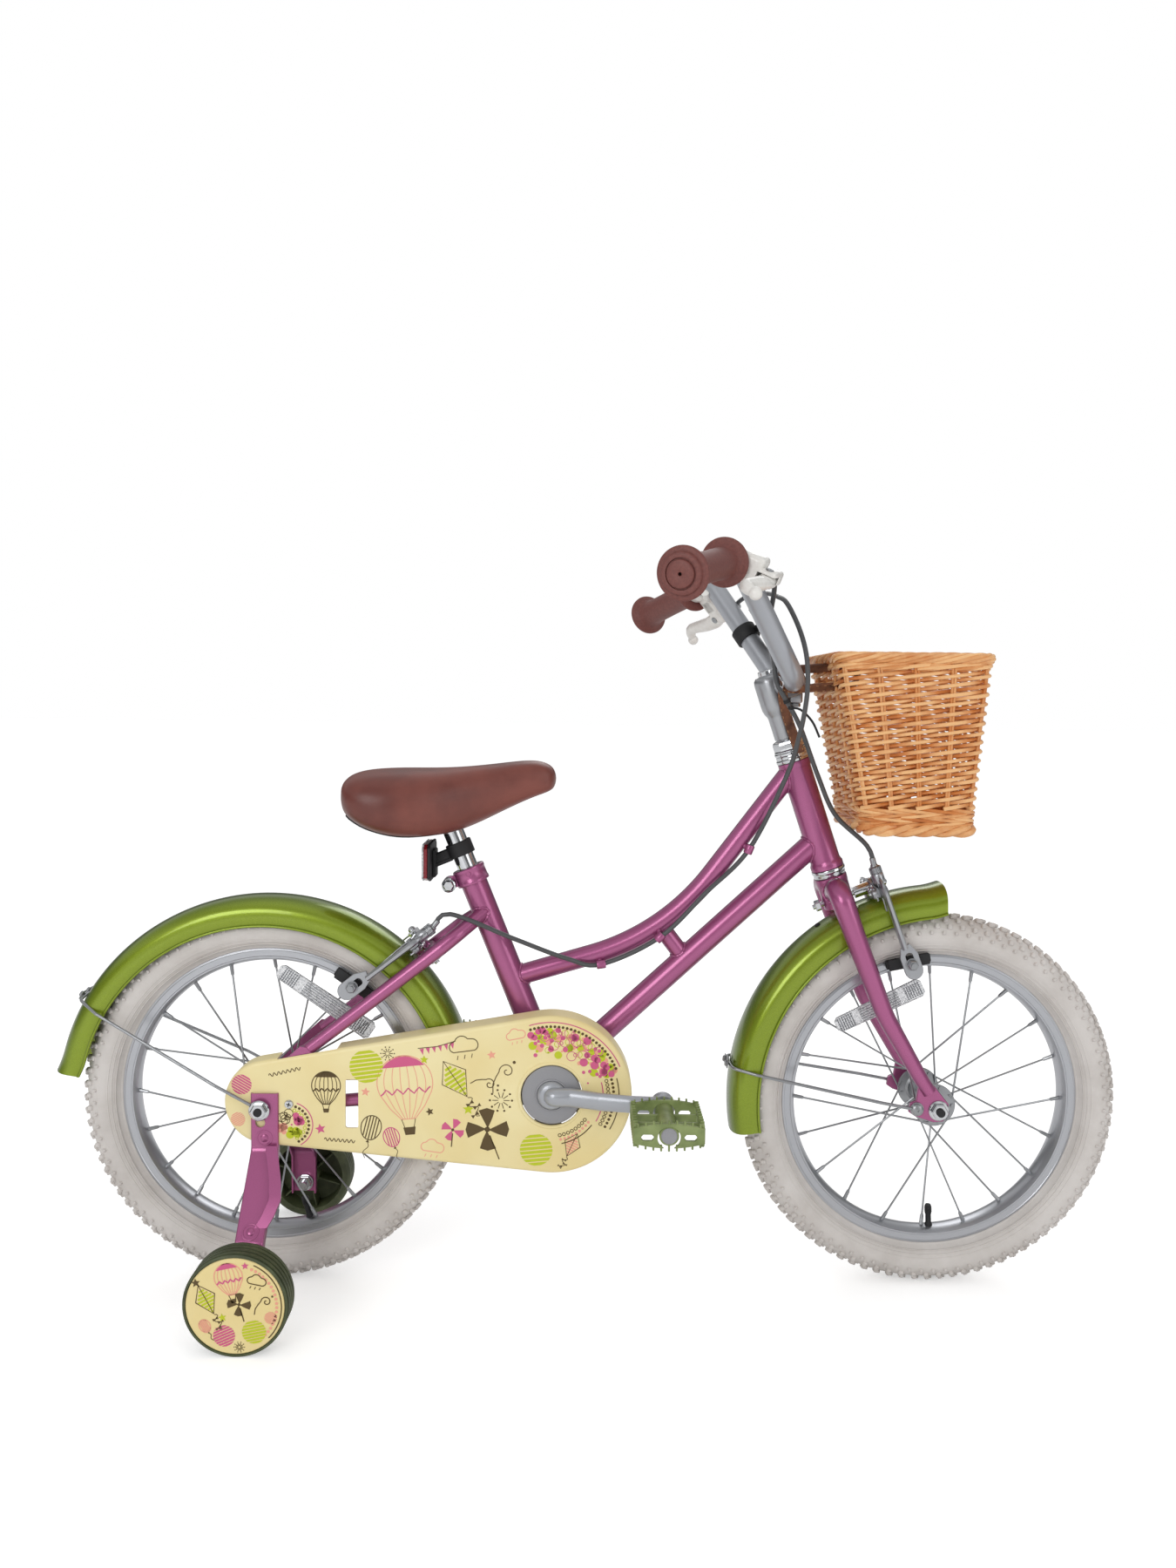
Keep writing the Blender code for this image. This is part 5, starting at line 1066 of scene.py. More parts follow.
# Rear axle: a hardened rod with lock nuts, washers and dished flange nuts, chromed
def ring_stack(*spans):
    """Washers and nuts on one rod: (radius, low, high) each as an eased outline."""
    outlines = []
    for inner, radius, low, high in spans:
        ease = min(0.0005, (high - low) / 3)
        outlines.append([(inner, low), (radius - ease, low), (radius, low + ease),
                         (radius, high - ease), (radius - ease, high), (inner, high)])
    return outlines


def dished_nut(out):
    """A flanged axle nut: a round skirt, six flats above it and the dark end of the rod."""
    return [
        lathe([(0.0, out), (0.0104, out), (0.0108, out + 0.0008), (0.0098, out + 0.0018),
               (0.0, out + 0.0018)], 40),
        hexagon(0.0087, out + 0.0014, out + 0.0064, Vector(), Z, 0.0012),
    ]


def axle(name, body, centre, spans, nut_at, rod_end):
    """Rod, cones and washers both ways, with a nut and the rod's end on each side."""
    meshes = []
    dark = []
    for way in (RIGHT, Y):
        side_spans = spans["right"] if way == RIGHT else spans["left"]
        for outline in ring_stack(*side_spans):
            meshes.append(lathe(outline, 32, centre, way))
        for mesh in dished_nut(nut_at):
            mesh.transform(Matrix.Translation(centre) @ facing(way).to_4x4())
            meshes.append(mesh)
        dark.append(lathe([(0.0, rod_end - 0.003), (0.0044, rod_end - 0.003),
                           (0.0044, rod_end - 0.0006), (0.0038, rod_end), (0.0, rod_end)], 24,
                          centre, way))
    meshes.append(rod([centre - Y * (nut_at + 0.005), centre + Y * (nut_at + 0.005)], 0.0047, 20))
    mounted(joined(name + "_rod_and_nuts", meshes, chrome, 30), body, "chrome", name)
    mounted(joined(name + "_blacked_ends", dark, black_rubber, 30), body, "black_rubber")


axle("rear_axle", "frame", REAR_AXLE, {
    "right": [(0.0047, 0.0082, 0.047, 0.0497)],
    "left": [(0.0047, 0.0082, 0.0385, 0.044), (0.0047, 0.009, 0.0442, 0.0497),
             (0.0047, 0.01, 0.0543, 0.0565)],
}, 0.0639, 0.0718)


# Training-wheel brackets: steel strip folded to a channel, with a second strip riveted behind
# it as a stay, enamelled pink; the wheel's bolt passes through its foot
def bored(mesh, *cutters):
    """The mesh with the cutters' shapes taken out of it."""
    target = piece("target", mesh, None)
    for number, cutter in enumerate(cutters):
        tool = piece(f"cutter_{number}", cutter, None)
        step = target.modifiers.new(tool.name, "BOOLEAN")
        step.operation = "DIFFERENCE"
        step.solver = "EXACT"
        step.object = tool
    graph = bpy.context.evaluated_depsgraph_get()
    result = bpy.data.meshes.new_from_object(target.evaluated_get(graph))
    for step in list(target.modifiers):
        bpy.data.objects.remove(step.object)
    bpy.data.objects.remove(target)
    return result


def channel_section(lip):
    """A folded strip seen end on: (across, out) with round folds and lips of this depth."""
    w, t, r = 0.0143, 0.0014, 0.0022
    lip = max(lip, 0.0024)
    outer = arc((w - r, t - r), r, 0, 90, 4) + arc((r - w, t - r), r, 90, 180, 4)
    outer = [(w, -lip)] + outer + [(-w, -lip)]
    s = r - 0.0018
    inner = [(0.0018 - w, -lip)] + arc((r - w, t - r), s, 180, 90, 4)
    inner += arc((w - r, t - r), s, 90, 0, 4) + [(w - 0.0018, -lip)]
    return outer + inner


WHEEL_FOOT = hinge_place("stabiliser_wheel_right_spin")
BRACKET_X = 0.0043


def stabiliser_bracket(label, side):
    """The channel, its stay strip, the pressed rings and rivets, and the wheel's bolt."""
    corners = [spot(BRACKET_X, side * 0.0586, 0.2206), spot(BRACKET_X, side * 0.0586, 0.1612),
               spot(BRACKET_X, side * 0.1225, 0.088), spot(BRACKET_X, side * 0.1225, 0.04)]
    path = rounded(corners, 0.012, 6)
    rings = []
    for point, on in zip(path, headings(path)):
        out = on.cross(X).normalized() * side
        lip = 0.0024 if point.z > 0.17 else 0.0085
        if 0.155 < point.z <= 0.17:
            lip = 0.0024 + 0.0061 * (0.17 - point.z) / 0.015
        rings.append([point + X * a - out * b for a, b in channel_section(lip)])
    outward = Y * side
    hole = REAR_AXLE + outward * 0.05
    slot_foot = spot(0, side * 0.0575, 0.1898)
    slot = loft([[slot_foot + X * a + Z * b + outward * d for a,
                  b in arc((0, 0), 0.0052, 0, 340, 17)] for d in (-0.012, 0.012)])
    channel = bored(loft(rings), rod([hole, hole + outward * 0.016], 0.0052, 24), slot)
    strip = [
        spot(0.017, side * 0.061, 0.17), spot(0.024, side * 0.076, 0.15),
        spot(0.03, side * 0.092, 0.13), spot(0.03, side * 0.101, 0.118),
        spot(0.017, side * 0.115, 0.096),
    ]
    lie = Vector((0, side * 0.66, 0.75)).normalized()
    shift = Vector((-0.012, 0, 0))
    bowed = []
    for a, b, c in zip([strip[0]] + strip, strip, strip[1:] + [strip[-1]]):
        bowed += [b.lerp(a, 0.33), b * 0.6 + a * 0.2 + c * 0.2, b.lerp(c, 0.33)]
    stay_rings = [[p + lie * 0.0012, p + shift + lie * 0.0012, p + shift - lie * 0.0012,
                   p - lie * 0.0012] for p in bowed[1:-1]]
    slope = (corners[2] - corners[1]).normalized()
    slope_out = Vector((0, side * abs(slope.z), abs(slope.y)))
    pressed = []
    for at, way in ((spot(BRACKET_X, side * 0.06, 0.1735), outward),
                    (corners[1].lerp(corners[2], 0.87) + slope_out * 0.0014, slope_out)):
        pressed.append(lathe([(0.0066, -0.0004), (0.007, 0.0004), (0.0078, 0.0006),
                              (0.0086, 0.0004), (0.009, -0.0004)], 36, at, way))
        pressed.append(lathe([(0.0, -0.0005), (0.004, -0.0005), (0.004, 0.0006),
                              (0.003, 0.0013), (0.0, 0.0014)], 28, at, way))
    mounted(joined("stabiliser_arm_" + label, [channel, loft(stay_rings)] + pressed,
                   pink_enamel, 35), "frame", "pink_enamel", "stabiliser_bracket_" + label)
    wheel_at = Vector((WHEEL_FOOT.x, 0, WHEEL_FOOT.z))
    mounted(joined("stabiliser_bolt_" + label, [
        hexagon(0.0088, 0.115, 0.1203, wheel_at, outward, 0.0012),
        lathe([(0.0, 0.1203), (0.01, 0.1203), (0.01, 0.1211), (0.0, 0.1211)], 32, wheel_at,
              outward),
        lathe([(0.0, 0.1239), (0.0095, 0.1239), (0.0098, 0.125), (0.0092, 0.1382),
               (0.0, 0.1382)], 32, wheel_at, outward),
        rod([wheel_at + outward * 0.108, wheel_at + outward * 0.165], 0.005, 20),
    ], chrome, 30), "frame", "grey_steel")


for label, side in (("right", -1), ("left", 1)):
    stabiliser_bracket(label, side)

# Printed cream plastic: glossy moulding, a shade warmer in its corners
cream_plastic = patterned("moulded_cream_plastic", "EFDFA4", 0.34,
                          tint=(noise(9, 3), (0.35, "EAD698"), (0.65, "F1E3AE")),
                          relief=(noise(420, 3), 0.08, 0.0003))

# Printing inks on the plastic: flat and slightly glossy, in the colours of the bicycle
inks = {}
for ink, colour in (("salmon", "EDA48C"), ("lime", "C0CA1E"), ("pink", "D25C88"),
                    ("brown", "5A4722")):
    inks[ink] = patterned("printed_ink_" + ink, colour, 0.38, gloss=(noise(600, 2), 0.3, 0.48))

# Training wheels: a dark olive moulded tyre with grooves round it, an open ribbed back, and a
# cream disc pressed into its outer face
olive_moulding = patterned("moulded_dark_olive_plastic", "4C5338", 0.55,
                           tint=(noise(55, 4), (0.35, "40472E"), (0.7, "565E40")),
                           relief=(noise(1100, 3), 0.25, 0.0003))
rib_tree = ring_tree("training_wheel_ribs", olive_moulding)
INNER_FACE, OUTER_FACE = 0.139, 0.17


class Print:
    """Flat shapes of ink, drawn in a motif's own units and laid on a surface by a function."""

    def __init__(self, lay):
        self.lay = lay
        self.shapes = {ink: ([], []) for ink in inks}

    def place(self, centre, size=1.0, turn=0.0):
        """Sets where the next motif goes, how large it is and how far it is turned."""
        spin = Matrix.Rotation(math.radians(turn), 2) * size
        self.to = lambda at: Vector(centre) + spin @ Vector(at)

    def fill(self, ink, outline, placed=False):
        """A solid shape; each ink lies a hair above the one printed before it."""
        points, faces = self.shapes[ink]
        faces.append(tuple(range(len(points), len(points) + len(outline))))
        rise = 0.00004 * (1 + list(inks).index(ink))
        points += [self.lay(*(at if placed else self.to(at)), rise) for at in outline]

    def line(self, ink, path, width=0.0009, closed=False):
        """A stroke of even width through some points."""
        path = [self.to(at) for at in path]
        count = len(path)
        sides = []
        for k, at in enumerate(path):
            before = path[k - 1] if k or closed else at
            after = path[(k + 1) % count] if k < count - 1 or closed else at
            along = (after - before).normalized()
            off = Vector((-along.y, along.x)) * (width / 2)
            sides.append((at + off, at - off))
        for k in range(count if closed else count - 1):
            near, far = sides[k], sides[(k + 1) % count]
            self.fill(ink, [near[0], near[1], far[1], far[0]], placed=True)

    def dot(self, ink, at=(0, 0), radius=1.0):
        self.fill(ink, arc(at, radius, 0, 340, 17))

    def loop(self, ink, at=(0, 0), radius=1.0, width=0.0008):
        self.line(ink, arc(at, radius, 0, 345, 23), width, closed=True)

    def star(self, ink):
        tips = [polar((0, 0), 0.45 if k % 2 else 1.0, 90 + 36 * k) for k in range(10)]
        for k in range(0, 10, 2):
            self.fill(ink, [(0, 0), tips[k - 1], tips[k], tips[k + 1]])

    def sun(self, ink):
        """A disc of level stripes."""
        for k in range(8):
            rows = [-0.98 + 0.25 * k + 0.045 * step for step in range(5)]
            reach = [(math.sqrt(max(0, 1 - b * b)), b) for b in rows]
            self.fill(ink, reach + [(-a, b) for a, b in reversed(reach)])

    def kite(self, ink, trim):
        """A hatched diamond with a wavy tail and bows."""
        self.line(trim, [(0, 1), (0.62, 0.15), (0, -0.9), (-0.62, 0.15)], 0.001, True)
        self.line(trim, [(0, 1), (0, -0.9)], 0.0007)
        for k in range(9):
            b = 0.86 - 0.19 * k
            wide = 0.62 * ((1 - b) / 0.85 if b > 0.15 else (b + 0.9) / 1.05) - 0.08
            if wide > 0.05:
                self.fill(ink, [(-wide, b), (wide, b), (wide, b - 0.12), (-wide, b - 0.12)])
        tail = [(0.16 * math.sin(k * 0.9), -0.95 - 0.07 * k) for k in range(15)]
        self.line(trim, tail, 0.0008)
        for a, b in tail[4::4]:
            for way in (-0.17, 0.17):
                self.fill(trim, [(a, b), (a + way, b + 0.09), (a + way, b - 0.08)])

    def balloon(self, ink, trim):
        """A striped round balloon with a knot and a curled string."""
        egg = [(0.88 * a, b * (1.0 if b > 0 else 1.18)) for a, b in arc((0, 0), 1, 0, 350, 35)]
        self.line(ink, egg, 0.001, closed=True)
        for k in (-2, -1, 0, 1, 2):
            reach = math.sqrt(1 - (k * 0.3) ** 2)
            self.line(ink, [(k * 0.26, -1.12 * reach), (k * 0.26, 0.95 * reach)], 0.0012)
        self.fill(trim, [(0, -1.16), (-0.16, -1.42), (0.16, -1.42)])
        self.line(trim, [(0.16 * math.sin(k * 0.55), -1.42 - 0.11 * k) for k in range(14)], 0.0007)

    def air_balloon(self, ink, crown, trim):
        """A hot-air balloon: gores in line, a solid crown, ropes and a basket."""
        side = arc((0, 0), 1, 90, -22, 16) + [(0.62, -0.9), (0.25, -1.32)]
        self.line(ink, side + [(-a, b) for a, b in reversed(side)], 0.001)
        for share in (-0.75, -0.45, -0.15, 0.15, 0.45, 0.75):
            self.line(ink, [(a * share, b) for a, b in side[1:]], 0.0008)
        self.fill(crown, arc((0, 0), 0.97, 142, 38, 14))
        self.line(crown, [(0.1 * a, -0.3 + 0.1 * math.sin(a * 1.6)) for a in range(-9, 10)], 0.0016)
        for way in (-1, 1):
            self.line(trim, [(way * 0.25, -1.32), (way * 0.17, -1.62)], 0.0007)
        self.fill(trim, [(-0.22, -1.62), (0.22, -1.62), (0.17, -1.9), (-0.17, -1.9)])

    def cloud(self, ink):
        """A scalloped outline with a row of drops below."""
        path = []
        for a, b, r, first, last in ((-0.62, 0.0, 0.38, 250, 95), (-0.1, 0.22, 0.5, 150, 30),
                                     (0.58, 0.0, 0.42, 85, -75)):
            path += arc((a, b), r, first, last, 12)
        self.line(ink, path, 0.001, closed=True)
        for a in (-0.5, 0.0, 0.5):
            self.line(ink, [(a, -0.62), (a - 0.1, -0.9)], 0.0008)

    def swirl(self, ink):
        """A curl of wind that opens to a long stroke."""
        curl = [(0.55 * t * math.cos(9 * t), 0.55 * t * math.sin(9 * t)) for t in
                [0.12 + 0.88 * k / 40 for k in range(41)]]
        self.line(ink, curl + [(-0.86, 0.02), (-1.3, -0.32), (-1.6, -0.86)], 0.001)
        self.dot(ink, (0.75, 0.3), 0.11)

    def pinwheel(self, ink, trim):
        """Four folded blades on a stick."""
        self.line(trim, [(0.05, -0.3), (0.2, -1.5)], 0.0012)
        for k in range(4):
            turn = Matrix.Rotation(math.radians(90 * k + 12), 2)
            blade = [(0.04, 0.04), (0.02, 0.98), (0.42, 0.92), (0.7, 0.66), (0.4, 0.34)]
            self.fill(ink, [tuple(turn @ Vector(at)) for at in blade])
        self.dot(trim, (0, 0), 0.13)

    def spark(self, ink):
        """Rays with dots at their ends."""
        for k in range(10):
            a, b = polar((0, 0), 1, 36 * k)
            self.line(ink, [(a * 0.25, b * 0.25), (a * 0.78, b * 0.78)], 0.0008)
            self.dot(ink, (a, b), 0.1)

    def bunting(self, ink, trim):
        """Small flags on a line."""
        self.line(trim, [(-1, 0), (0, -0.1), (1, 0)], 0.0008)
        for k in range(6):
            a = -0.92 + 0.32 * k
            self.fill(ink, [(a, -0.06), (a + 0.22, -0.06), (a + 0.11, -0.4)])

    def wave(self, ink):
        self.line(ink, [(-1 + k / 32, 0.1 * math.sin(k * 0.7)) for k in range(65)])

    def arcs(self, colours, radius, first, last, gap=0.0045):
        """Rows round a centre: an even line, a row of dots, a row of rings, and again."""
        for k, ink in enumerate(colours):
            far = radius - k * gap
            steps = int(abs(math.radians(last - first)) * far / 0.0042)
            if k % 3 == 0:
                self.line(ink, arc((0, 0), far, first, last, 30), 0.0011)
            else:
                for at in arc((0, 0), far, first, last, steps):
                    if k % 3 == 1:
                        self.dot(ink, at, 0.0015)
                    else:
                        self.loop(ink, at, 0.0016)

    def bubbles(self, colours, radii, angles, count):
        """Dots and rings of many sizes between two radii and two angles."""
        for k in range(count):
            far = radii[0] + (radii[1] - radii[0]) * math.sqrt(k * 0.618 % 1)
            at = polar((0, 0), far, angles[0] + (angles[1] - angles[0]) * (k * 0.7549 % 1))
            radius = 0.001 + 0.0034 * abs(math.sin(k * 1.7)) ** 2
            ink = colours[k % len(colours)]
            if k % 4 == 3:
                self.loop(ink, at, radius + 0.0006, 0.0007)
            else:
                self.dot(ink, at, radius)

    def draw(self, table):
        """Motifs from rows of (motif, x, z, size, turn, inks)."""
        for motif, x, z, size, turn, *colours in table:
            self.place((x, z), size, turn)
            motif(self, *colours)

    def finish(self, name, body, slot):
        """One object for each ink."""
        for ink, (points, faces) in self.shapes.items():
            if faces:
                mounted(piece(f"{name}_{ink}", skin(points, faces), inks[ink], 30, outward=False),
                        body, slot)


def training_wheel(label, side):
    """The moulded wheel, its ribs behind, the disc in front and the disc's print."""
    body = "stabiliser_wheel_" + label
    centre = Vector((WHEEL_FOOT.x, 0, WHEEL_FOOT.z))
    outward = Y * side
    radius = WHEEL_FOOT.z
    low, high = INNER_FACE, OUTER_FACE
    tread = [(radius - 0.0034, low), (radius - 0.0006, low + 0.003)]
    for k in range(4):
        at = low + 0.0076 + k * 0.0062
        tread += [(radius, at - 0.003), (radius, at + 0.0008), (radius - 0.0024, at + 0.0012),
                  (radius - 0.0024, at + 0.0028)]
    tread += [(radius - 0.0002, high - 0.0006), (radius - 0.0012, high + 0.0003),
              (radius - 0.0026, high + 0.0004)]
    outline = [(0.0056, low), (0.0118, low), (0.0122, low + 0.0006), (0.0124, high - 0.0085),
               (0.039, high - 0.0085), (0.0408, low + 0.001), (0.0412, low)]
    outline += tread + [(radius - 0.0032, high - 0.0022), (0.0056, high - 0.0022)]
    ribs = [slab((0.0272, 0.0018, 0.019), Vector((0.0258, 0, high - 0.0175)), edge=0.0004)]
    meshes = [lathe(outline, 96, centre, outward), ring_of(rib_tree, ribs, 6, 0.3, centre, outward)]
    mounted(joined("training_wheel_" + label, meshes, olive_moulding, 40), body,
            "dark_olive_plastic", body)
    disc_radius = radius - 0.0034
    disc = [(0.0, high - 0.002), (disc_radius, high - 0.002), (disc_radius, high - 0.0006),
            (disc_radius - 0.0008, high), (0.0, high + 0.0002)]
    mounted(joined("training_disc_" + label, [lathe(disc, 96, centre, outward)], cream_plastic, 30),
            body, "cream_plastic")
    across = X if side < 0 else -X
    face = high + 0.0002

    def lay(a, b, rise):
        return centre + across * a + Z * b + outward * (face + rise)

    art = Print(lay)
    art.draw((
        (Print.kite, -0.027, 0.006, 0.0165, 28, "lime", "brown"),
        (Print.air_balloon, -0.006, 0.029, 0.0135, 12, "salmon", "pink", "brown"),
        (Print.pinwheel, 0.004, 0.002, 0.0115, 8, "brown", "brown"),
        (Print.cloud, 0.021, 0.025, 0.009, -10, "brown"),
        (Print.swirl, 0.03, 0.005, 0.0095, 20, "brown"),
        (Print.sun, 0.018, -0.025, 0.0115, 12, "lime"),
        (Print.sun, -0.0105, -0.029, 0.0105, 24, "pink"),
        (Print.balloon, -0.029, -0.019, 0.006, 30, "salmon", "brown"),
        (Print.sun, 0.034, -0.011, 0.006, 30, "salmon"),
        (Print.star, -0.037, 0.023, 0.0045, 8, "brown"),
        (Print.star, 0.01, 0.04, 0.0038, 4, "pink"),
        (Print.star, -0.012, -0.011, 0.0042, 12, "lime"),
        (Print.spark, 0.004, -0.04, 0.005, 0, "brown"),
    ))
    art.place((0, 0))
    art.arcs(["brown", "salmon"], disc_radius - 0.0028, -44, 66)
    art.finish("training_print_" + label, body, "cream_plastic")


for label, side in (("right", -1), ("left", 1)):
    training_wheel(label, side)


# Chain guard: one deep cream moulding that hides the chain, open at the back, with a window,
# a round opening for the crank and a printed face
BRACKET = (0.30255, 0.222)
GUARD_BIG = (*BRACKET, 0.0835)
GUARD_SMALL = (0.0058, 0.2095, 0.0445)


def guard_outline(shrink):
    """Points round two circles joined by straight sides, in x from the rear axle and z."""
    big = (*GUARD_BIG[:2], GUARD_BIG[2] - shrink)
    small = (*GUARD_SMALL[:2], GUARD_SMALL[2] - shrink)
    span = math.hypot(big[0] - small[0], big[1] - small[1])
    tilt = math.degrees(math.atan2(big[1] - small[1], big[0] - small[0]))
    spread = math.degrees(math.acos((big[2] - small[2]) / span))
    front = arc(big[:2], big[2], tilt - 180 + spread, tilt + 180 - spread, 56)
    back = arc(small[:2], small[2], tilt + 180 - spread, tilt + 180 + spread, 36)
    return front + back


def guard_face(x):
    return -(0.0565 + x / BRACKET[0] * 0.0055)


def guard_ring(shrink, depth):
    """The outline at a depth behind the face, or at a fixed y where depth is negative."""
    return [spot(x, guard_face(x) + depth if depth >= 0 else depth, z)
            for x, z in guard_outline(shrink)]


fillet = 0.0045
guard_rings = [guard_ring(fillet * (1 - math.sin(math.radians(a))),
                          fillet * (1 - math.cos(math.radians(a)))) for a in range(0, 91, 15)]
guard_rings += [guard_ring(0, -0.0325), guard_ring(0.0018, -0.0325), guard_ring(0.0018, 0.006),
                guard_ring(0.004, 0.0024)]
window = [(0.0948 + a * 0.00675, 0.21 + b * 0.02575) for a, b in
          ((-1, -0.94), (-0.8, -1), (0.8, -1), (1, -0.94), (1, 0.94), (0.8, 1), (-0.8, 1),
           (-1, 0.94))]
guard_shell = bored(
    loft(guard_rings),
    rod([CRANK_AXIS - Y * 0.05, CRANK_AXIS - Y * 0.07], 0.0321, 64),
    loft([[spot(x, y, z) for x, z in window] for y in (-0.05, -0.066)]),
    rod([REAR_AXLE - Y * 0.05, REAR_AXLE - Y * 0.06], 0.0053, 24),
    slab((0.062, 0.0225, 0.05), spot(0.048, -0.04375, 0.272), edge=0),
)
lip_at = CRANK_AXIS + Y * guard_face(BRACKET[0])
lip = [(0.0322, -0.0016), (0.0322, 0.0004), (0.033, 0.0011), (0.0344, 0.0011), (0.0356, 0.0002),
       (0.0362, -0.001)]
mounted(joined("chain_guard_moulding", [guard_shell, lathe(lip, 72, lip_at, RIGHT)],
               cream_plastic, 35), "frame", "cream_plastic", "chain_guard")


def crossed_screw(at, along, radius, name, body):
    """A pan-head screw, and a flat black cross on its head: painted shade standing for the cross
    recess.
    """
    out = Vector(along).normalized()
    mounted(joined(name, [lathe([(0.0, -0.001), (radius, -0.001), (radius, 0.0004),
                                 (radius * 0.86, 0.0014), (radius * 0.45, 0.0018),
                                 (0.0, 0.0018)], 32, at, out)], chrome, 30), body, "chrome")
    axes = facing(out, Z + X * 0.3)
    mounted(joined(name + "_recess", [slab((wide, tall, 0.0004), at + out * 0.0018, axes, 0)
                                      for wide, tall in ((radius, radius * 0.22),
                                                         (radius * 0.22, radius))],
                   black_rubber, 30), body, "black_rubber")


SCREW_X = 0.0292
crossed_screw(spot(SCREW_X, guard_face(SCREW_X), 0.2087), RIGHT, 0.0048, "guard_screw_head",
              "frame")

face_print = Print(lambda x, z, rise: spot(x, guard_face(x) - rise, z))
face_print.draw((
    (Print.sun, 0.11, 0.25, 0.0175, 8, "lime"),
    (Print.air_balloon, 0.15, 0.233, 0.029, 6, "salmon", "pink", "brown"),
    (Print.kite, 0.203, 0.237, 0.0235, 34, "lime", "brown"),
    (Print.cloud, 0.211, 0.273, 0.015, 10, "brown"),
    (Print.bunting, 0.183, 0.274, 0.02, 12, "pink", "brown"),
    (Print.swirl, 0.256, 0.247, 0.015, 30, "brown"),
    (Print.swirl, 0.238, 0.233, 0.011, -30, "brown"),
    (Print.star, 0.24, 0.264, 0.005, 10, "salmon"),
    (Print.spark, 0.25, 0.216, 0.0115, 0, "brown"),
    (Print.pinwheel, 0.236, 0.185, 0.0225, 14, "brown", "brown"),
    (Print.pinwheel, 0.2, 0.184, 0.012, -12, "pink", "brown"),
    (Print.star, 0.216, 0.206, 0.006, 0, "lime"),
    (Print.sun, 0.287, 0.164, 0.017, 6, "lime"),
    (Print.kite, 0.324, 0.169, 0.014, -24, "salmon", "brown"),
    (Print.balloon, 0.115, 0.186, 0.012, -14, "brown", "brown"),
    (Print.balloon, 0.136, 0.176, 0.0095, 18, "pink", "brown"),
    (Print.cloud, 0.179, 0.165, 0.012, -6, "salmon"),
    (Print.air_balloon, 0.068, 0.229, 0.015, 0, "brown", "brown", "brown"),
    (Print.wave, 0.082, 0.171, 0.016, -4, "brown"),
    (Print.star, 0.062, 0.183, 0.0058, 12, "pink"),
    (Print.star, 0.109, 0.223, 0.005, -8, "salmon"),
    (Print.star, 0.176, 0.203, 0.0045, 20, "brown"),
    (Print.sun, -0.02, 0.229, 0.0105, -30, "pink"),
    (Print.sun, -0.024, 0.192, 0.0075, 30, "salmon"),
    (Print.wave, 0.025, 0.243, 0.017, 14, "brown"),
    (Print.spark, 0.132, 0.264, 0.007, 0, "brown"),
    (Print.star, 0.17, 0.258, 0.0048, 0, "lime"),
    (Print.cloud, 0.265, 0.285, 0.01, 14, "salmon"),
))
face_print.place(BRACKET)
face_print.arcs(["pink", "brown"], 0.0772, 24, 108)
face_print.bubbles(["pink", "lime", "salmon", "pink", "lime", "pink"], (0.04, 0.07), (20, 112), 120)
face_print.arcs(["brown", "brown", "brown", "pink"], 0.07, -30, 16, 0.0055)
face_print.arcs(["brown", "salmon", "brown"], 0.052, -78, -36)
face_print.place((0.03, 0.187))
face_print.bubbles(["pink", "lime", "salmon", "brown"], (0.002, 0.013), (0, 360), 34)
face_print.arcs(["pink", "brown", "lime"], 0.024, -62, 72, 0.004)
face_print.finish("guard_print", "frame", "cream_plastic")


# Chain: half-inch links of blued steel plates round hardened rollers, made by walking a link
# pair round the loop that the two sprockets set
def sprocket_place(joint, y):
    place = hinge_place(joint)
    return Vector((place.x, y, place.z))


CHAIN_Y = -0.04
CHAIN_LINKS = 72
TEETH = {"chainring": 34, "freewheel": 14}
PITCH = 0.0127
chain_centre = sprocket_place("crank_spin", CHAIN_Y)
sprocket_centre = sprocket_place("freewheel_spin", CHAIN_Y)
big_radius = PITCH / 2 / math.sin(math.pi / TEETH["chainring"])
small_radius = PITCH / 2 / math.sin(math.pi / TEETH["freewheel"])
span = chain_centre - sprocket_centre
tilt = math.atan2(span.z, span.x)
wrap = math.acos((big_radius - small_radius) / span.length)
run = math.sqrt(span.length**2 - (big_radius - small_radius) ** 2)
arc_big = (math.tau - 2 * wrap) * big_radius
arc_small = 2 * wrap * small_radius
link_pitch = (arc_big + arc_small + 2 * run) / CHAIN_LINKS

# Blued chain steel: dark, oily, brighter where the rollers rub
chain_steel = patterned("oiled_blued_steel", "6A6259", 0.34, 1.0,
                        tint=(noise(180, 4), (0.0, "453F38"), (1.0, "8C857B")))


def chain_place(distance):
    """A place on the loop and the direction of travel there, from the chainring's top."""
    distance %= arc_big + arc_small + 2 * run
    top = tilt + math.pi - wrap
    low = tilt - math.pi + wrap

    def out(angle):
        return Vector((math.cos(angle), 0, math.sin(angle)))

    if distance < arc_big:
        return chain_centre + out(top - distance / big_radius) * big_radius
    distance -= arc_big
    if distance < run:
        start = chain_centre + out(low) * big_radius
        return start.lerp(sprocket_centre + out(low) * small_radius, distance / run)
    distance -= run
    if distance < arc_small:
        return sprocket_centre + out(low - distance / small_radius) * small_radius
    start = sprocket_centre + out(top) * small_radius
    return start.lerp(chain_centre + out(top) * big_radius, (distance - arc_small) / run)


def link_plate(y, thickness, waist):
    """A figure-of-eight side plate from (0,0) to one pitch along X, in chain axes."""
    half = link_pitch / 2
    outline = arc((half, 0), 0.0042, -70, 70, 5) + [(0, waist)] + arc((-half, 0), 0.0042, 110, 250, 5)
    outline += [(0, -waist)]
    return loft([[Vector((a, y, b)) for a, b in outline],
                 [Vector((a, y + thickness, b)) for a, b in outline]])


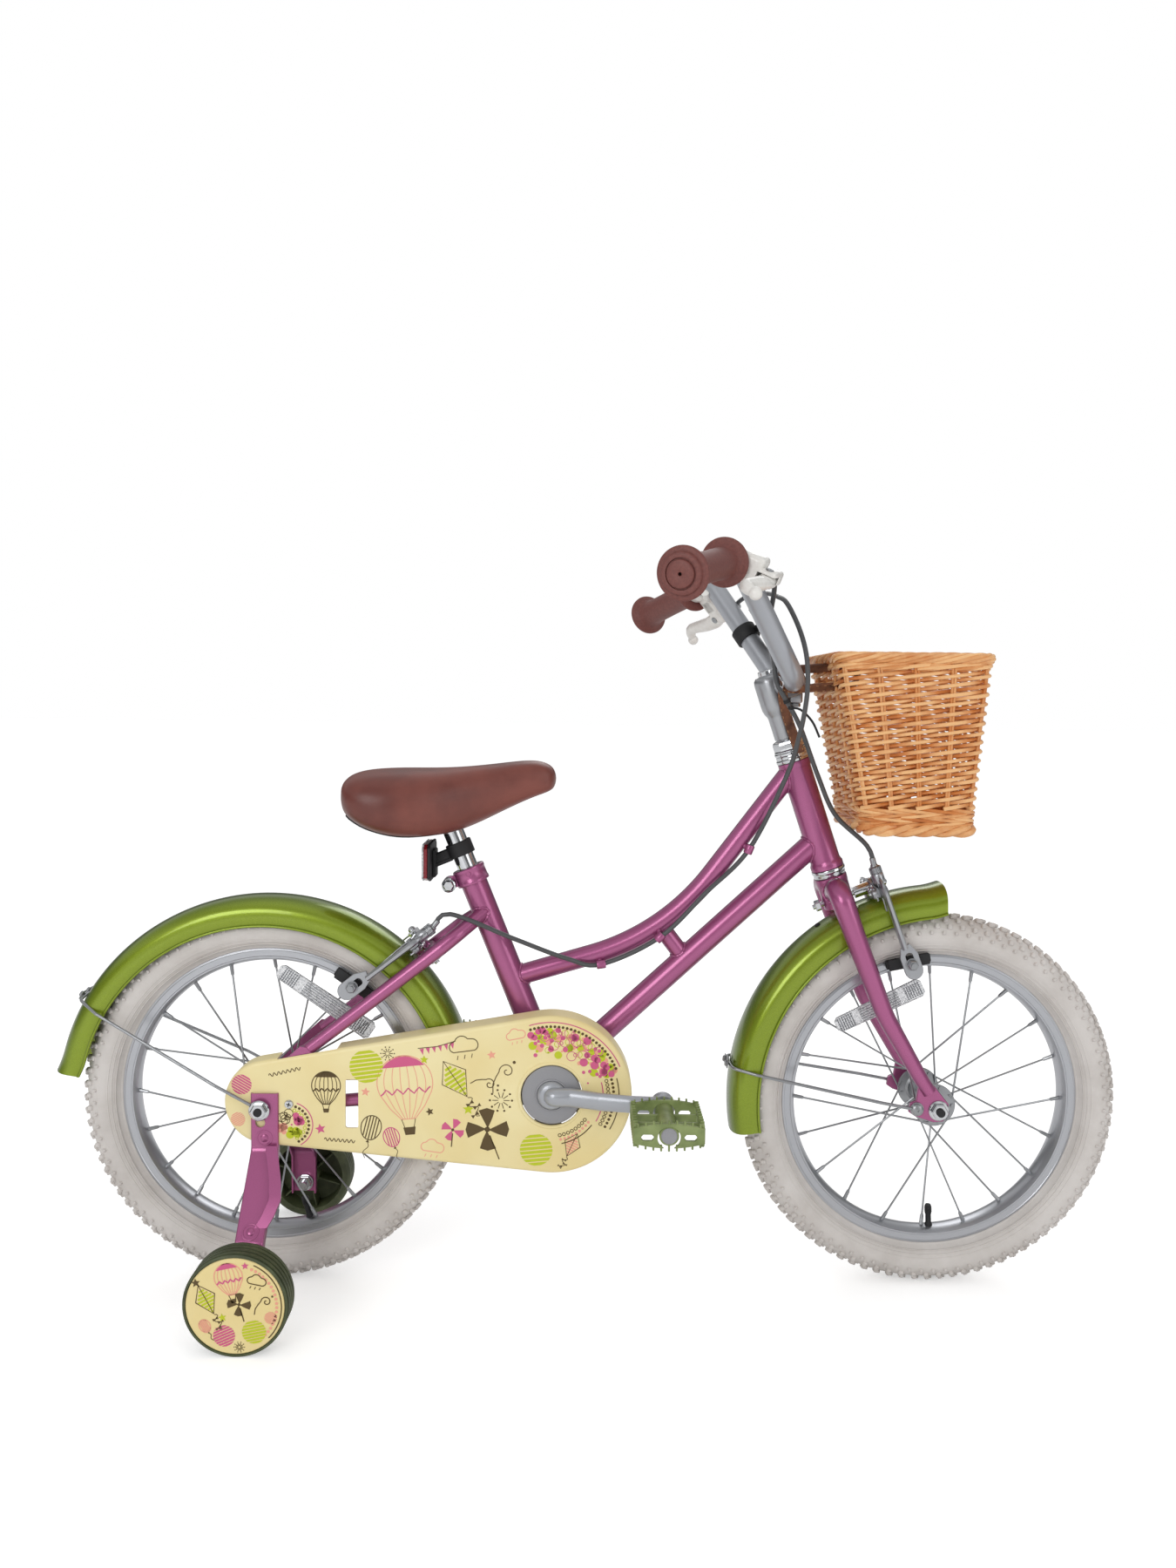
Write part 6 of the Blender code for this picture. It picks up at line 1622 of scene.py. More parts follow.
def link_meshes(outer):
    """Two plates and the pins or rollers between them."""
    meshes = []
    for side in (-1, 1):
        low = side * (0.0038 if outer else 0.0025) - 0.0005
        meshes.append(link_plate(low, 0.001, 0.003))
        half = link_pitch / 2
        if outer:
            end = Vector((side * half, 0, 0))
            meshes.append(rod([end - Y * 0.005, end + Y * 0.005], 0.0018, 8))
        else:
            end = Vector((side * half, 0, 0))
            meshes.append(rod([end - Y * 0.002, end + Y * 0.002], 0.0036, 10))
    return meshes


def along_tree(name, finish, pivot):
    """A tree that sets a shape on each point, its X turned along the point's `along`."""
    tree, given = sized_tree(name, Shape="Object")
    shape = add(tree, "GeometryNodeObjectInfo", {"Object": given["Shape"], "As Instance": True})
    along = add(tree, "GeometryNodeInputNamedAttribute", data_type="FLOAT_VECTOR")
    along.inputs["Name"].default_value = "along"
    turn = add(tree, "FunctionNodeAlignRotationToVector", {"Vector": along.outputs["Attribute"]},
               axis="X", pivot_axis=pivot)
    copies = add(tree, "GeometryNodeInstanceOnPoints", {"Points": given["Geometry"],
                 "Instance": shape.outputs["Geometry"], "Rotation": turn.outputs[0]})
    ended(tree, copies.outputs[0], finish)
    return tree


def copies_along(tree, meshes, places, ways):
    """Copies of some meshes at places, each turned along its way, as one mesh."""
    marks = skin(places, [])
    along = marks.attributes.new("along", "FLOAT_VECTOR", "POINT")
    along.data.foreach_set("vector", [value for way in ways for value in way])
    template = joined("template", meshes, None)
    made = grown(tree, marks, Shape=template)
    bpy.data.objects.remove(template)
    return made


rollers = [chain_place(link_pitch * (k + 0.5)) for k in range(CHAIN_LINKS)]
middles = [(a + b) / 2 for a, b in zip(rollers, rollers[1:] + rollers[:1])]
ways = [(b - a).normalized() for a, b in zip(rollers, rollers[1:] + rollers[:1])]
links_tree = along_tree("chain_links", chain_steel, "Y")
chain_meshes = [copies_along(links_tree, link_meshes(outer), middles[outer::2], ways[outer::2])
                for outer in (0, 1)]
mounted(joined("roller_chain", chain_meshes, chain_steel, 35), "frame", "chain_steel", "chain")


# Chainring and freewheel: stamped toothed plates; the ring has lightening holes, the
# freewheel a notched body that screws on the hub
def tooth_outline(teeth, phase):
    """Round valleys that hold a roller and blunt teeth between them, as (x, z) points."""
    pitch_radius = PITCH / 2 / math.sin(math.pi / teeth)
    outline = []
    for k in range(teeth):
        middle = phase + math.tau * k / teeth
        for part in range(-2, 3):
            angle = middle + part * 0.0016 / pitch_radius
            outline.append((pitch_radius - 0.0042 + 0.00038 * part * part, angle))
        gap = math.pi / teeth
        for part in (-1, 1):
            outline.append((pitch_radius + 0.003, middle + gap + part * 0.0009 / pitch_radius))
    return [(r * math.cos(a), r * math.sin(a)) for r, a in outline]


def toothed_plate(teeth, centre, phase, bore, holes):
    """The plate, cut by its bore and by holes of (ring radius, count, radius)."""
    outline = tooth_outline(teeth, phase)
    plate = loft([[centre + X * a + Z * b + Y * d for a, b in outline] for d in (-0.0011, 0.0011)])
    cutters = [rod([centre - Y * 0.01, centre + Y * 0.01], bore, 32)]
    for ring, count, radius in holes:
        for k in range(count):
            turn = math.tau * k / count + 0.2
            at = centre + Vector((math.cos(turn), 0, math.sin(turn))) * ring
            cutters.append(rod([at - Y * 0.01, at + Y * 0.01], radius, 20))
    return bored(plate, *cutters)


first_roller = rollers[0] - chain_centre
ring_phase = math.atan2(first_roller.z, first_roller.x)
near = min(rollers, key=lambda p: (p - sprocket_centre).length)
wheel_phase = math.atan2(near.z - sprocket_centre.z, near.x - sprocket_centre.x)
grey_paint = patterned("grey_powder_coat", "98989C", 0.42, 0.2,
                       relief=(noise(520, 3), 0.18, 0.0004))
ring = toothed_plate(TEETH["chainring"], chain_centre, ring_phase, 0.0106,
                     [(0.033, 5, 0.0105), (0.052, 10, 0.0045)])
mounted(joined("chainring_stamped", [ring], grey_paint, 30), "crankset", "grey_plastic",
        "chainring")
shell = [(0.0177, 0.0312), (0.0214, 0.0312), (0.0222, 0.032), (0.0222, 0.036), (0.0216, 0.0366),
         (0.0216, 0.038), (0.0222, 0.0386), (0.0222, 0.0446), (0.0214, 0.0455), (0.0177, 0.0455)]
mounted(joined("freewheel_body", [
    toothed_plate(TEETH["freewheel"], sprocket_centre, wheel_phase, 0.0177, []),
    lathe(shell, 48, REAR_AXLE, RIGHT),
], chain_steel, 30), "freewheel", "chain_steel", "freewheel")


# Crankset: one forged steel bar bent to two arms, painted silver, with a flat grey plastic
# cover over its middle and lock nuts on the axle
CRANK_LENGTH = 0.1135
silver_paint = patterned("silver_powder_coat", "B3B6BC", 0.34, 0.55,
                         relief=(noise(380, 3), 0.12, 0.0004))
crank_meshes = [rod([CRANK_AXIS - Y * 0.066, CRANK_AXIS + Y * 0.044], 0.01, 32)]
steel_ends = []
for side in (-1, 1):
    forward = X if side < 0 else -X
    root = 0.0665 if side < 0 else 0.044
    out = Y * side
    eye_at = CRANK_AXIS + forward * CRANK_LENGTH
    corners = [CRANK_AXIS + out * (root - 0.01), CRANK_AXIS + out * root,
               CRANK_AXIS + forward * 0.02 + out * (root + 0.001),
               CRANK_AXIS + forward * 0.05 + out * (root * 0.35 + 0.088 * 0.65),
               CRANK_AXIS + forward * 0.08 + out * 0.087, eye_at + out * 0.0885]
    path = rounded(corners, 0.016, 6)
    rings = []
    for point, on in zip(path, headings(path)):
        deep = on.cross(Z).normalized()
        t = min(1.0, (point - CRANK_AXIS - out * root).length / CRANK_LENGTH)
        tall = 0.01 - 0.0016 * t
        thick = 0.0098 - 0.0046 * min(1, t * 3.0)
        rings.append([point + Z * tall * math.cos(a) + deep * thick * math.sin(a)
                      for a in [math.tau * j / 24 for j in range(24)]])
    crank_meshes.append(loft(rings))
    crank_meshes.append(lathe([(0.0, 0.0822), (0.0104, 0.0822), (0.0122, 0.0834),
                               (0.0124, 0.093), (0.0112, 0.0944), (0.0, 0.0944)], 36, eye_at,
                              out))
    if side < 0:
        crank_meshes.append(lathe([(0.0, 0.0615), (0.0142, 0.0615), (0.015, 0.0625),
                                   (0.014, 0.065), (0.0112, 0.0668), (0.0, 0.068)], 36,
                                  CRANK_AXIS, out))
    else:
        crank_meshes.append(lathe([(0.0, 0.0392), (0.015, 0.0392), (0.015, 0.042),
                                   (0.0125, 0.044), (0.0, 0.044)], 8, CRANK_AXIS, out))
    steel_ends += [
        hexagon(0.0072, 0.094, 0.103, eye_at, out),
        rod([eye_at + out * 0.101, eye_at + out * 0.1715], 0.0045, 20),
    ]
mounted(joined("crank_forged", crank_meshes, silver_paint, 40), "crankset", "silver_alloy", "crank")
mounted(joined("pedal_spindles", steel_ends, zinc, 30), "crankset", "grey_steel")
cover = [(0.0106, 0.059), (0.0306, 0.059), (0.0312, 0.0596), (0.0306, 0.0607), (0.029, 0.0612),
         (0.0172, 0.0611), (0.0168, 0.0619), (0.0156, 0.0622), (0.015, 0.0612), (0.0106, 0.0612)]
mounted(joined("crank_cover_disc", [lathe(cover, 72, CRANK_AXIS, RIGHT)], grey_paint),
        "crankset", "grey_plastic", "chainring_cover")

# Pedals: olive resin cages moulded in one piece round a barrel, open above and below, with
# rows of small teeth for grip and a grey bearing cap at the outer end
resin = patterned("olive_resin", "71884F", 0.38,
                  tint=(noise(60, 3), (0.3, "6C7A46"), (0.7, "8C9A62")))


def row_tree():
    """A tree that repeats a shape at even steps along a line."""
    tree, given = sized_tree("row_of_teeth", Shape="Object", Count=8, Step=0.006)
    shape = add(tree, "GeometryNodeObjectInfo", {"Object": given["Shape"], "As Instance": True})
    offset = add(tree, "ShaderNodeCombineXYZ", {"X": given["Step"]})
    line = add(tree, "GeometryNodeMeshLine", {"Count": given["Count"],
               "Offset": offset.outputs[0]}, mode="OFFSET")
    copies = add(tree, "GeometryNodeInstanceOnPoints", {"Points": line.outputs[0],
                 "Instance": shape.outputs["Geometry"]})
    ended(tree, copies.outputs[0], resin)
    return tree


teeth_row_tree = row_tree()


def row_of(meshes, count, step, centre, axes):
    """A row of shapes centred on a place, running along the axes' X."""
    template = joined("template", meshes, None)
    made = grown(teeth_row_tree, Shape=template, Count=count, Step=step)
    bpy.data.objects.remove(template)
    shift = Matrix.Translation(Vector((-(count - 1) * step / 2, 0, 0)))
    made.transform(Matrix.Translation(centre) @ axes.to_4x4() @ shift)
    return made


def pedal(label, side):
    """End plates with toothed rims, front and rear bars, cross ribs and the barrel."""
    middle = hinge_place(f"pedal_{label}_spin")
    half_l, half_w, half_h = 0.034, 0.035, 0.012
    meshes = []
    outline = [(k * half_l / 8, half_h - 0.0046 * (k / 8) ** 2) for k in range(-8, 9)]
    outline += [(a, -b) for a, b in reversed(outline)]
    for end in (-1, 1):
        origin = middle + Y * (end * (half_w - 0.0018) + 0.0018)
        plate = flat_plate(outline, origin, X, Z, 0.0036, 0.0007)
        holes = [slab((0.012, 0.02, 0.0062), middle + X * x + Y * end * half_w - Z * 0.0016,
                      edge=0.002) for x in (-0.0205, 0.0205)]
        holes.append(rod([middle + Y * (end * half_w + way) - Z * 0.002 for way in (-0.01, 0.01)],
                         0.0111, 40))
        meshes.append(bored(plate, *holes))
        for height in (-1, 1):
            for k in range(-4, 5):
                a = k * 0.0074
                foot = half_h - 0.0046 * (a / half_l) ** 2
                meshes.append(slab((0.0018, 0.003, 0.006), middle + Y * end * (half_w - 0.0017)
                                   + X * a + Z * height * foot, edge=0.0004))
        bar_at = middle + X * end * (half_l - 0.0022)
        for height in (-1, 1):
            meshes.append(slab((0.004, 2 * half_w - 0.004, 0.0044),
                               bar_at + Z * height * 0.0086, edge=0.001, segments=2))
            tooth = [slab((0.0017, 0.004, 0.0036), Vector((0, 0, height * 0.0106)), edge=0.0003)]
            meshes.append(row_of(tooth, 9, 0.007, bar_at, Matrix((Y, -X, Z)).transposed()))
        for y in (-0.016, 0.0, 0.016):
            meshes.append(slab((0.0036, 0.0034, 0.018), bar_at + Y * y, edge=0.0008))
    for y in (-0.011, 0.011):
        meshes.append(slab((2 * half_l - 0.006, 0.0036, 0.01), middle + Y * y, edge=0.001))
    barrel = lathe([(0.0056, -half_w), (0.0088, -half_w), (0.0094, -half_w + 0.001), (0.009, 0.0),
                    (0.0094, half_w - 0.001), (0.0086, half_w - 0.0004), (0.0056, half_w - 0.0004)],
                   40, middle, Y * side)
    meshes.append(barrel)
    body = "pedal_" + label
    mounted(joined("pedal_cage_" + label, meshes, resin, 35), body, "olive_plastic", body)
    end_at = middle + Y * side * half_w
    mounted(joined("pedal_cap_" + label, [
        lathe([(0.0, -0.003), (0.0078, -0.003), (0.0078, 0.0), (0.007, 0.0008),
               (0.0062, 0.0004), (0.0, 0.0004)], 36, end_at, Y * side),
    ], grey_paint, 30), body, "grey_plastic")


pedal("right", -1)
pedal("left", 1)


# Seat post: a chromed steel tube that slides in the seat tube, closed by the saddle's socket
POST_RADIUS = 0.011
POST_TOP = 0.3
post = [(0.0095, 0.128), (0.0105, 0.128), (POST_RADIUS, 0.1286), (POST_RADIUS, POST_TOP),
        (0.0095, POST_TOP)]
mounted(joined("seat_post_tube", [lathe(post, 48, CRANK_AXIS, SEAT_UP)], chrome, 30), "seat",
        "chrome", "seat_post")

# Saddle: moulded foam under one sheet of red-brown vinyl, which is heated, pulled down over
# the nose and cheeks, and tucked under a black rolled edge
handled = noise(22, 4)
# the relief is an embossed pebble grain, 0.9 mm across
vinyl = patterned("grained_red_brown_vinyl", "74392F", 0.42, Coat_Weight=0.12,
                  Coat_Roughness=0.35, tint=(handled, (0.32, "68332B"), (0.68, "82453A")),
                  gloss=(handled, 0.34, 0.5, 0.3, 0.7),
                  relief=(cells(1100), 0.35, 0.0003, "inward"))


def saddle_ring(x, low, shoulder, top, half_low, half_wide, half_top):
    """Ten points round the saddle at one place: skirt, widest line, shoulder and crown."""
    half = [(half_low, low), (half_wide, shoulder),
            (half_wide * 0.96, (shoulder + top) / 2 + 0.002), (half_top, top - 0.003)]
    right = [spot(x, -y, z) for y, z in half]
    left = [spot(x, y, z) for y, z in reversed(half)]
    return right + [spot(x, 0, top)] + left + [spot(x, 0, low)]


SADDLE = (
    (0.079, 0.517, 0.529, 0.544, 0.034, 0.044, 0.028),
    (0.087, 0.506, 0.523, 0.553, 0.054, 0.066, 0.046),
    (0.108, 0.493, 0.517, 0.557, 0.064, 0.076, 0.054),
    (0.14, 0.485, 0.513, 0.5585, 0.066, 0.077, 0.056),
    (0.175, 0.486, 0.515, 0.5585, 0.056, 0.065, 0.047),
    (0.21, 0.494, 0.523, 0.5605, 0.038, 0.045, 0.033),
    (0.25, 0.515, 0.537, 0.5655, 0.026, 0.031, 0.023),
    (0.285, 0.531, 0.546, 0.57, 0.02, 0.024, 0.018),
    (0.304, 0.536, 0.544, 0.56, 0.013, 0.017, 0.01),
)


def softened(mesh, levels):
    """The mesh with its faces subdivided to a smooth form."""
    holder = piece("holder", mesh, None)
    step = holder.modifiers.new("Smooth form", "SUBSURF")
    step.levels = levels
    step.render_levels = levels
    graph = bpy.context.evaluated_depsgraph_get()
    result = bpy.data.meshes.new_from_object(holder.evaluated_get(graph))
    bpy.data.objects.remove(holder)
    return result


def under_saddle(points, grow, low, high):
    """A flat shape under the saddle that follows the pan's outline."""
    middle = sum(x for x, _ in points) / len(points)
    return loft([[spot(x + math.copysign(grow, x - middle), y + math.copysign(grow, y), z)
                  for x, y in points] for z in (low, high)])


pan = [(0.112, 0.046), (0.176, 0.036), (0.198, 0.02)]
pan = [(x, -y) for x, y in pan] + [(x, y) for x, y in reversed(pan)]
cover = bored(
    softened(loft([saddle_ring(*ring) for ring in SADDLE]), 4),
    under_saddle(pan, 0.0008, 0.46, 0.5046),
    rod([seat_line(0.26), seat_line(0.3104)], 0.0163, 32),
)
saddle_cover = mounted(joined("saddle_cover", [cover], vinyl, 60), "seat", "red_brown_vinyl",
                       "saddle")


def eased(corners, step):
    """A smooth path through the corners, with a point about every `step`."""
    points = [Vector(corner) for corner in corners]
    ends = [2 * points[0] - points[1]] + points + [2 * points[-1] - points[-2]]
    path = [points[0]]
    for a, b, c, d in zip(ends, ends[1:], ends[2:], ends[3:]):
        count = max(1, round((c - b).length / step))
        for k in range(1, count + 1):
            t = k / count
            bend = 2 * b + (c - a) * t
            bend += (2 * a - 5 * b + 4 * c - d) * t**2 + (3 * b - a - 3 * c + d) * t**3
            path.append(bend / 2)
    return path


# Base of the saddle: a black moulded pan with ribs, its rolled edge and the post's socket
skirt = []
for x, low, shoulder, _, half_low, half_wide, _ in SADDLE[1:-1]:
    skirt.append((x, (half_wide + 4 * half_low) / 6 - 0.007, low + (shoulder - low) / 6 + 0.0004))
edge_line = [spot(0.0925, -0.012, 0.5085)] + [spot(x, -y, z) for x, y, z in skirt]
edge_line += [spot(0.2925, -0.008, 0.5372), spot(0.2925, 0.008, 0.5372)]
edge_line += [spot(x, y, z) for x, y, z in reversed(skirt)] + [spot(0.0925, 0.012, 0.5085)]
base_meshes = [
    rod(eased(edge_line, 0.006), 0.0016, 10),
    flat_plate(pan, spot(0, 0, 0.4935), X, Y, 0.0105, 0.0012),
    lathe([(0.0115, 0.296), (0.015, 0.296), (0.0155, 0.2966), (0.0155, 0.309),
           (0.015, 0.3096), (0.0, 0.3096), (0.0, 0.3006), (0.0115, 0.3004)], 40, CRANK_AXIS,
          SEAT_UP, closed=False),
]
for k in range(5):
    x = 0.12 + k * 0.018
    wide = 0.0385 - max(0, k - 1) * 0.0045
    base_meshes.append(slab((0.0022, 2 * wide, 0.003), spot(x, 0, 0.4925), edge=0.0006))
mounted(joined("saddle_pan", base_meshes, black_rubber, 40), "seat", "black_plastic", "saddle_base")

# Rear reflector: a black arm and band on the post, a red prism lens with a clear rim
red_cells = cells(380, distance="CHEBYCHEV")
red_lens = patterned("red_prism_acrylic", "8E1420", 0.12, Transmission_Weight=0.2, IOR=1.49,
                     Coat_Weight=0.5, gloss=(red_cells, 0.08, 0.22, 0.0, 0.5),
                     relief=(red_cells, 0.6, 0.0008))
lens_at = spot(0.1675, 0, 0.456)
lens_outline = [(0.024, 0.03), (0.03, 0.024), (0.03, -0.018), (0.02, -0.023),
                (-0.02, -0.023), (-0.03, -0.018), (-0.03, 0.024), (-0.024, 0.03)]
lens_outline = [(a, b * 0.76) for a, b in lens_outline]
shrunk = [(a * 0.97, b * 0.97) for a, b in lens_outline]
band_at = seat_line(0.268)
arm_end = lens_at + X * 0.0045 + Z * 0.002
arm_root = band_at + seat_back * 0.014
arm_along = (arm_end - arm_root).normalized()
arm_axes = Matrix((arm_along, Y, arm_along.cross(Y))).transposed()
bracket_meshes = [
    lathe([(0.0113, 0.262), (0.0136, 0.262), (0.0141, 0.2626), (0.0141, 0.2764),
           (0.0136, 0.277), (0.0113, 0.277)], 40, CRANK_AXIS, SEAT_UP),
    slab(((arm_end - arm_root).length + 0.004, 0.01, 0.0125), (arm_end + arm_root) / 2,
         arm_axes, 0.002, 3),
    flat_plate(lens_outline, lens_at + X * 0.0045, -Y, Z, 0.003, 0.0006),
    slab((0.004, 0.02, 0.03), lens_at + X * 0.0062, edge=0.001),
]
for side in (-1, 1):
    bracket_meshes.append(slab((0.026, 0.0022, 0.004), band_at + seat_back * 0.024
                               + Y * side * 0.0045 - SEAT_UP * 0.0055, arm_axes, 0.0006))
mounted(joined("reflector_arm", bracket_meshes, black_rubber, 35), "seat", "black_plastic",
        "rear_reflector")
mounted(joined("reflector_lens", [flat_plate(shrunk, lens_at + X * 0.0016, -Y, Z, 0.0042, 0.0008)],
               red_lens, 25), "seat", "black_plastic")
rim_outline = [(a * 1.02, b * 1.02) for a, b in shrunk]
inside = [(a * 0.9, b * 0.88) for a, b in shrunk]
rim_ring = bored(flat_plate(rim_outline, lens_at - X * 0.0028, -Y, Z, 0.0016, 0.0005),
                 flat_plate(inside, lens_at, -Y, Z, 0.008, 0.0))
mounted(joined("reflector_rim", [rim_ring], clear_plastic, 25), "seat", "black_plastic")


# Fork: two tapered blades brazed into a crown on the steerer, with stamped ends, one coat of
# the frame's enamel
STEERER_RADIUS = 0.0125
fork_meshes = [
    rod([steer_line(-0.106), steer_line(0.083)], STEERER_RADIUS, 32),
    lathe([(0.0, -0.1062), (0.013, -0.106), (0.0164, -0.104), (0.0168, -0.079),
           (0.0172, -0.078), (0.0174, -0.0712), (0.017, -0.0703), (0.0, -0.0703)], 48,
          STEER_BASE, STEER_UP),
]
tip_outline = [
    (-0.005, -0.013), (0.005, -0.012), (0.0115, -0.004), (0.0105, 0.007),
    (-0.005, 0.026), (-0.013, 0.03), (-0.022, 0.025), (-0.024, 0.01),
    (-0.03, 0.0075), (-0.0315, -0.002), (-0.025, -0.0065),
]
for side in (-1, 1):
    blade = [
        spot(0.6045, side * 0.004, 0.4285), spot(0.599, side * 0.0445, 0.44),
        spot(0.6171, side * 0.0445, 0.391), spot(0.6517, side * 0.0445, 0.3052),
        spot(0.69, side * 0.0445, 0.24), spot(0.701, side * 0.0445, 0.223),
    ]
    bends = rounded(blade[:4], 0.03, 10)[:-1]
    foot = rounded(blade[2:], 0.12, 8)[1:]
    edge = min(side * 0.042, side * 0.047)
    fork_meshes += [
        tube(bends + foot, 0.0128, 0.0075, 32),
        flat_plate(tip_outline, FRONT_AXLE + Y * (edge + 0.005), X, Z, 0.005, 0.0008),
    ]
    bead_at = spot(0.6045, side * 0.004, 0.4285)
    bead_way = (blade[1] - blade[0]).normalized()
    fork_meshes += braze(bead_at + bead_way * 0.05, -bead_way, 0.0128, STEER_BASE, STEER_UP, 0.0166)
mounted(joined("fork_brazed", fork_meshes, pink_enamel, 40), "steering", "pink_enamel", "fork")

axle("front_axle", "steering", FRONT_AXLE, {
    "right": [(0.0047, 0.0082, 0.0385, 0.0416)],
    "left": [(0.0047, 0.0082, 0.0385, 0.0416)],
}, 0.0474, 0.057)

# Headset top: a chromed adjusting cup, a keyed washer and an octagonal lock nut
locknut = [
    [(0.0129, 0.0693), (0.0172, 0.0693), (0.0178, 0.0699), (0.0178, 0.0716), (0.0172, 0.0724),
     (0.0129, 0.0724)],
    [(0.0129, 0.0726), (0.0169, 0.0726), (0.0172, 0.073), (0.0172, 0.0738), (0.0169, 0.0742),
     (0.0129, 0.0742)],
]
lock_meshes = [lathe(outline, 48, STEER_BASE, STEER_UP) for outline in locknut]
lock_meshes.append(lathe([(0.0112, 0.0745), (0.016, 0.0745), (0.017, 0.0752),
                          (0.017, 0.082), (0.016, 0.0842), (0.014, 0.0852),
                          (0.0112, 0.085)], 8, STEER_BASE, STEER_UP))
mounted(joined("headset_nuts", lock_meshes, chrome, 30), "steering", "chrome", "headset_locknut")

# Stem: a forged quill painted silver, its head clamped round the handlebar, drawn up by a
# long socket bolt
STEM_AT = spot(0.548, 0, 0.654)
quill = [(0.0, 0.01), (0.0104, 0.01), (0.0107, 0.0106), (0.0107, 0.0862), (0.0122, 0.0868),
         (0.0124, 0.0876), (0.0124, 0.1105), (0.0128, 0.113), (0.0146, 0.1165),
         (0.0158, 0.121), (0.016, 0.127), (0.0158, 0.149), (0.015, 0.1535),
         (0.0128, 0.156), (0.01, 0.1566), (0.0, 0.1566)]
barrel = [(0.0112, -0.0176), (0.0158, -0.018), (0.0172, -0.0168), (0.0176, -0.012),
          (0.0176, 0.012), (0.0172, 0.0168), (0.0158, 0.018), (0.0112, 0.0176)]
polished = patterned("polished_forged_alloy", "B2B4B8", 0.26, 0.85,
                     gloss=(noise(10, 2), 0.27, 0.35))
stem_meshes = [
    lathe(quill, 48, STEER_BASE, STEER_UP),
    lathe(barrel, 48, STEM_AT, Y),
    slab((0.014, 0.03, 0.012), STEM_AT + X * 0.008 - Z * 0.0165, edge=0.0022, segments=3),
]
mounted(joined("stem_forged", stem_meshes, polished, 45), "steering", "silver_alloy", "stem")
bolt_meshes = [
    lathe([(0.0, 0.1558), (0.0096, 0.1558), (0.0098, 0.1566), (0.0088, 0.1572),
           (0.0086, 0.1612), (0.0078, 0.1622), (0.0048, 0.1622), (0.0048, 0.159),
           (0.0, 0.159)], 36, STEER_BASE, STEER_UP),
]
mounted(joined("stem_bolt", bolt_meshes, chrome, 30), "steering", "grey_steel")
# A black hexagon in the bolt's recess: painted shade of the hex socket
mounted(joined("stem_bolt_socket", [lathe([(0.0, 0.1588), (0.0047, 0.1588), (0.0047, 0.1612),
                                           (0.0, 0.1612)], 6, STEER_BASE, STEER_UP)], black_rubber, 30),
        "steering", "black_plastic")
clamp_bolt_low = STEM_AT + X * 0.008 - Z * 0.0225
mounted(joined("stem_clamp_bolt", [
    hexagon(0.0058, 0.0, 0.0042, clamp_bolt_low + Y * 0.008, -Z),
    hexagon(0.0058, 0.0, 0.0042, clamp_bolt_low - Y * 0.008, -Z),
], zinc, 30), "steering", "grey_steel")

# Handlebar: one steel tube bent to two risers and two swept ends, painted silver
GRIP_END = (0.4137, 0.244, 0.7407)
BAR_BEND = (0.4775, 0.1135, 0.7692)
bar_corners = []
for side in (-1, 1):
    half = [spot(GRIP_END[0], side * GRIP_END[1], GRIP_END[2]),
            spot(BAR_BEND[0], side * BAR_BEND[1], BAR_BEND[2]), STEM_AT + Y * side * 0.05]
    bar_corners += half if side < 0 else half[::-1]
mounted(joined("handlebar_tube", [tube(rounded(bar_corners, 0.022, 12), 0.0111, sides=40)],
               silver_paint, 45), "steering", "silver_alloy", "handlebar")

# Grips: soft red-brown rubber with a flange at each end, a stepped cap and a vent hole
fleck = noise(420, 4)
grip_rubber = patterned("soft_red_brown_rubber", "7A4440", 0.55,
                        tint=(fleck, (0.34, "6F3E39"), (0.7, "7D4841")),
                        relief=(fleck, 0.16, 0.0005))

# Painted castings: thick glossy white, painted a shade darker and warmer in the hollows of its relief
# as painted shade
peel_and_shade = noise(260, 3)
white_casting = patterned("white_painted_casting", "ECEAE6", 0.28, Coat_Weight=0.3,
                          tint=(peel_and_shade, (0.0, "DDDAD3"), (1.0, "F3F2EF")),
                          relief=(peel_and_shade, 0.15, 0.0004))

grip_outline = [
    (0.0113, -0.112), (0.0222, -0.112), (0.0234, -0.111), (0.0236, -0.1092),
    (0.023, -0.1072), (0.0208, -0.106), (0.0172, -0.1046), (0.0156, -0.1012),
    (0.0151, -0.096), (0.0148, -0.08), (0.0147, -0.056), (0.0149, -0.032),
    (0.0153, -0.016), (0.016, -0.009), (0.0182, -0.0058), (0.0214, -0.004),
    (0.0234, -0.0026), (0.024, -0.0008), (0.0238, 0.001), (0.0228, 0.002), (0.0206, 0.0024),
    (0.019, 0.0024), (0.0186, 0.003), (0.0184, 0.0052), (0.0176, 0.006), (0.015, 0.0062),
    (0.014, 0.006), (0.0136, 0.0046), (0.0126, 0.0046), (0.0122, 0.0076), (0.0114, 0.0083),
    (0.0024, 0.0083), (0.0017, 0.0078), (0.0016, 0.002), (0.0113, 0.0012),
]


def smooth_bar(points, widths, depths, flat, sides=16, step=0.003):
    """A cast bar along a soft path, an oval of changing width (along flat) and depth."""
    marks = [Vector(point) for point in points]
    path = eased(marks, step)
    reach = [0.0]
    for a, b in zip(path, path[1:]):
        reach.append(reach[-1] + (b - a).length)
    mark_reach = [reach[min(range(len(path)), key=lambda k: (path[k] - mark).length)]
                  for mark in marks]

    def between(values, distance):
        for a, b, low, high in zip(mark_reach, mark_reach[1:], values, values[1:]):
            if distance <= b:
                t = (distance - a) / max(b - a, 1e-9)
                t = t * t * (3 - 2 * t)
                return low + (high - low) * t
        return values[-1]

    rings = []
    for k, point in enumerate(path):
        on = path[min(k + 1, len(path) - 1)] - path[max(k - 1, 0)]
        out = on.normalized().cross(flat).normalized()
        wide, deep = between(widths, reach[k]), between(depths, reach[k])
        rings.append([point + flat * wide * math.cos(math.tau * j / sides)
                      + out * deep * math.sin(math.tau * j / sides) for j in range(sides)])
    return loft(rings)


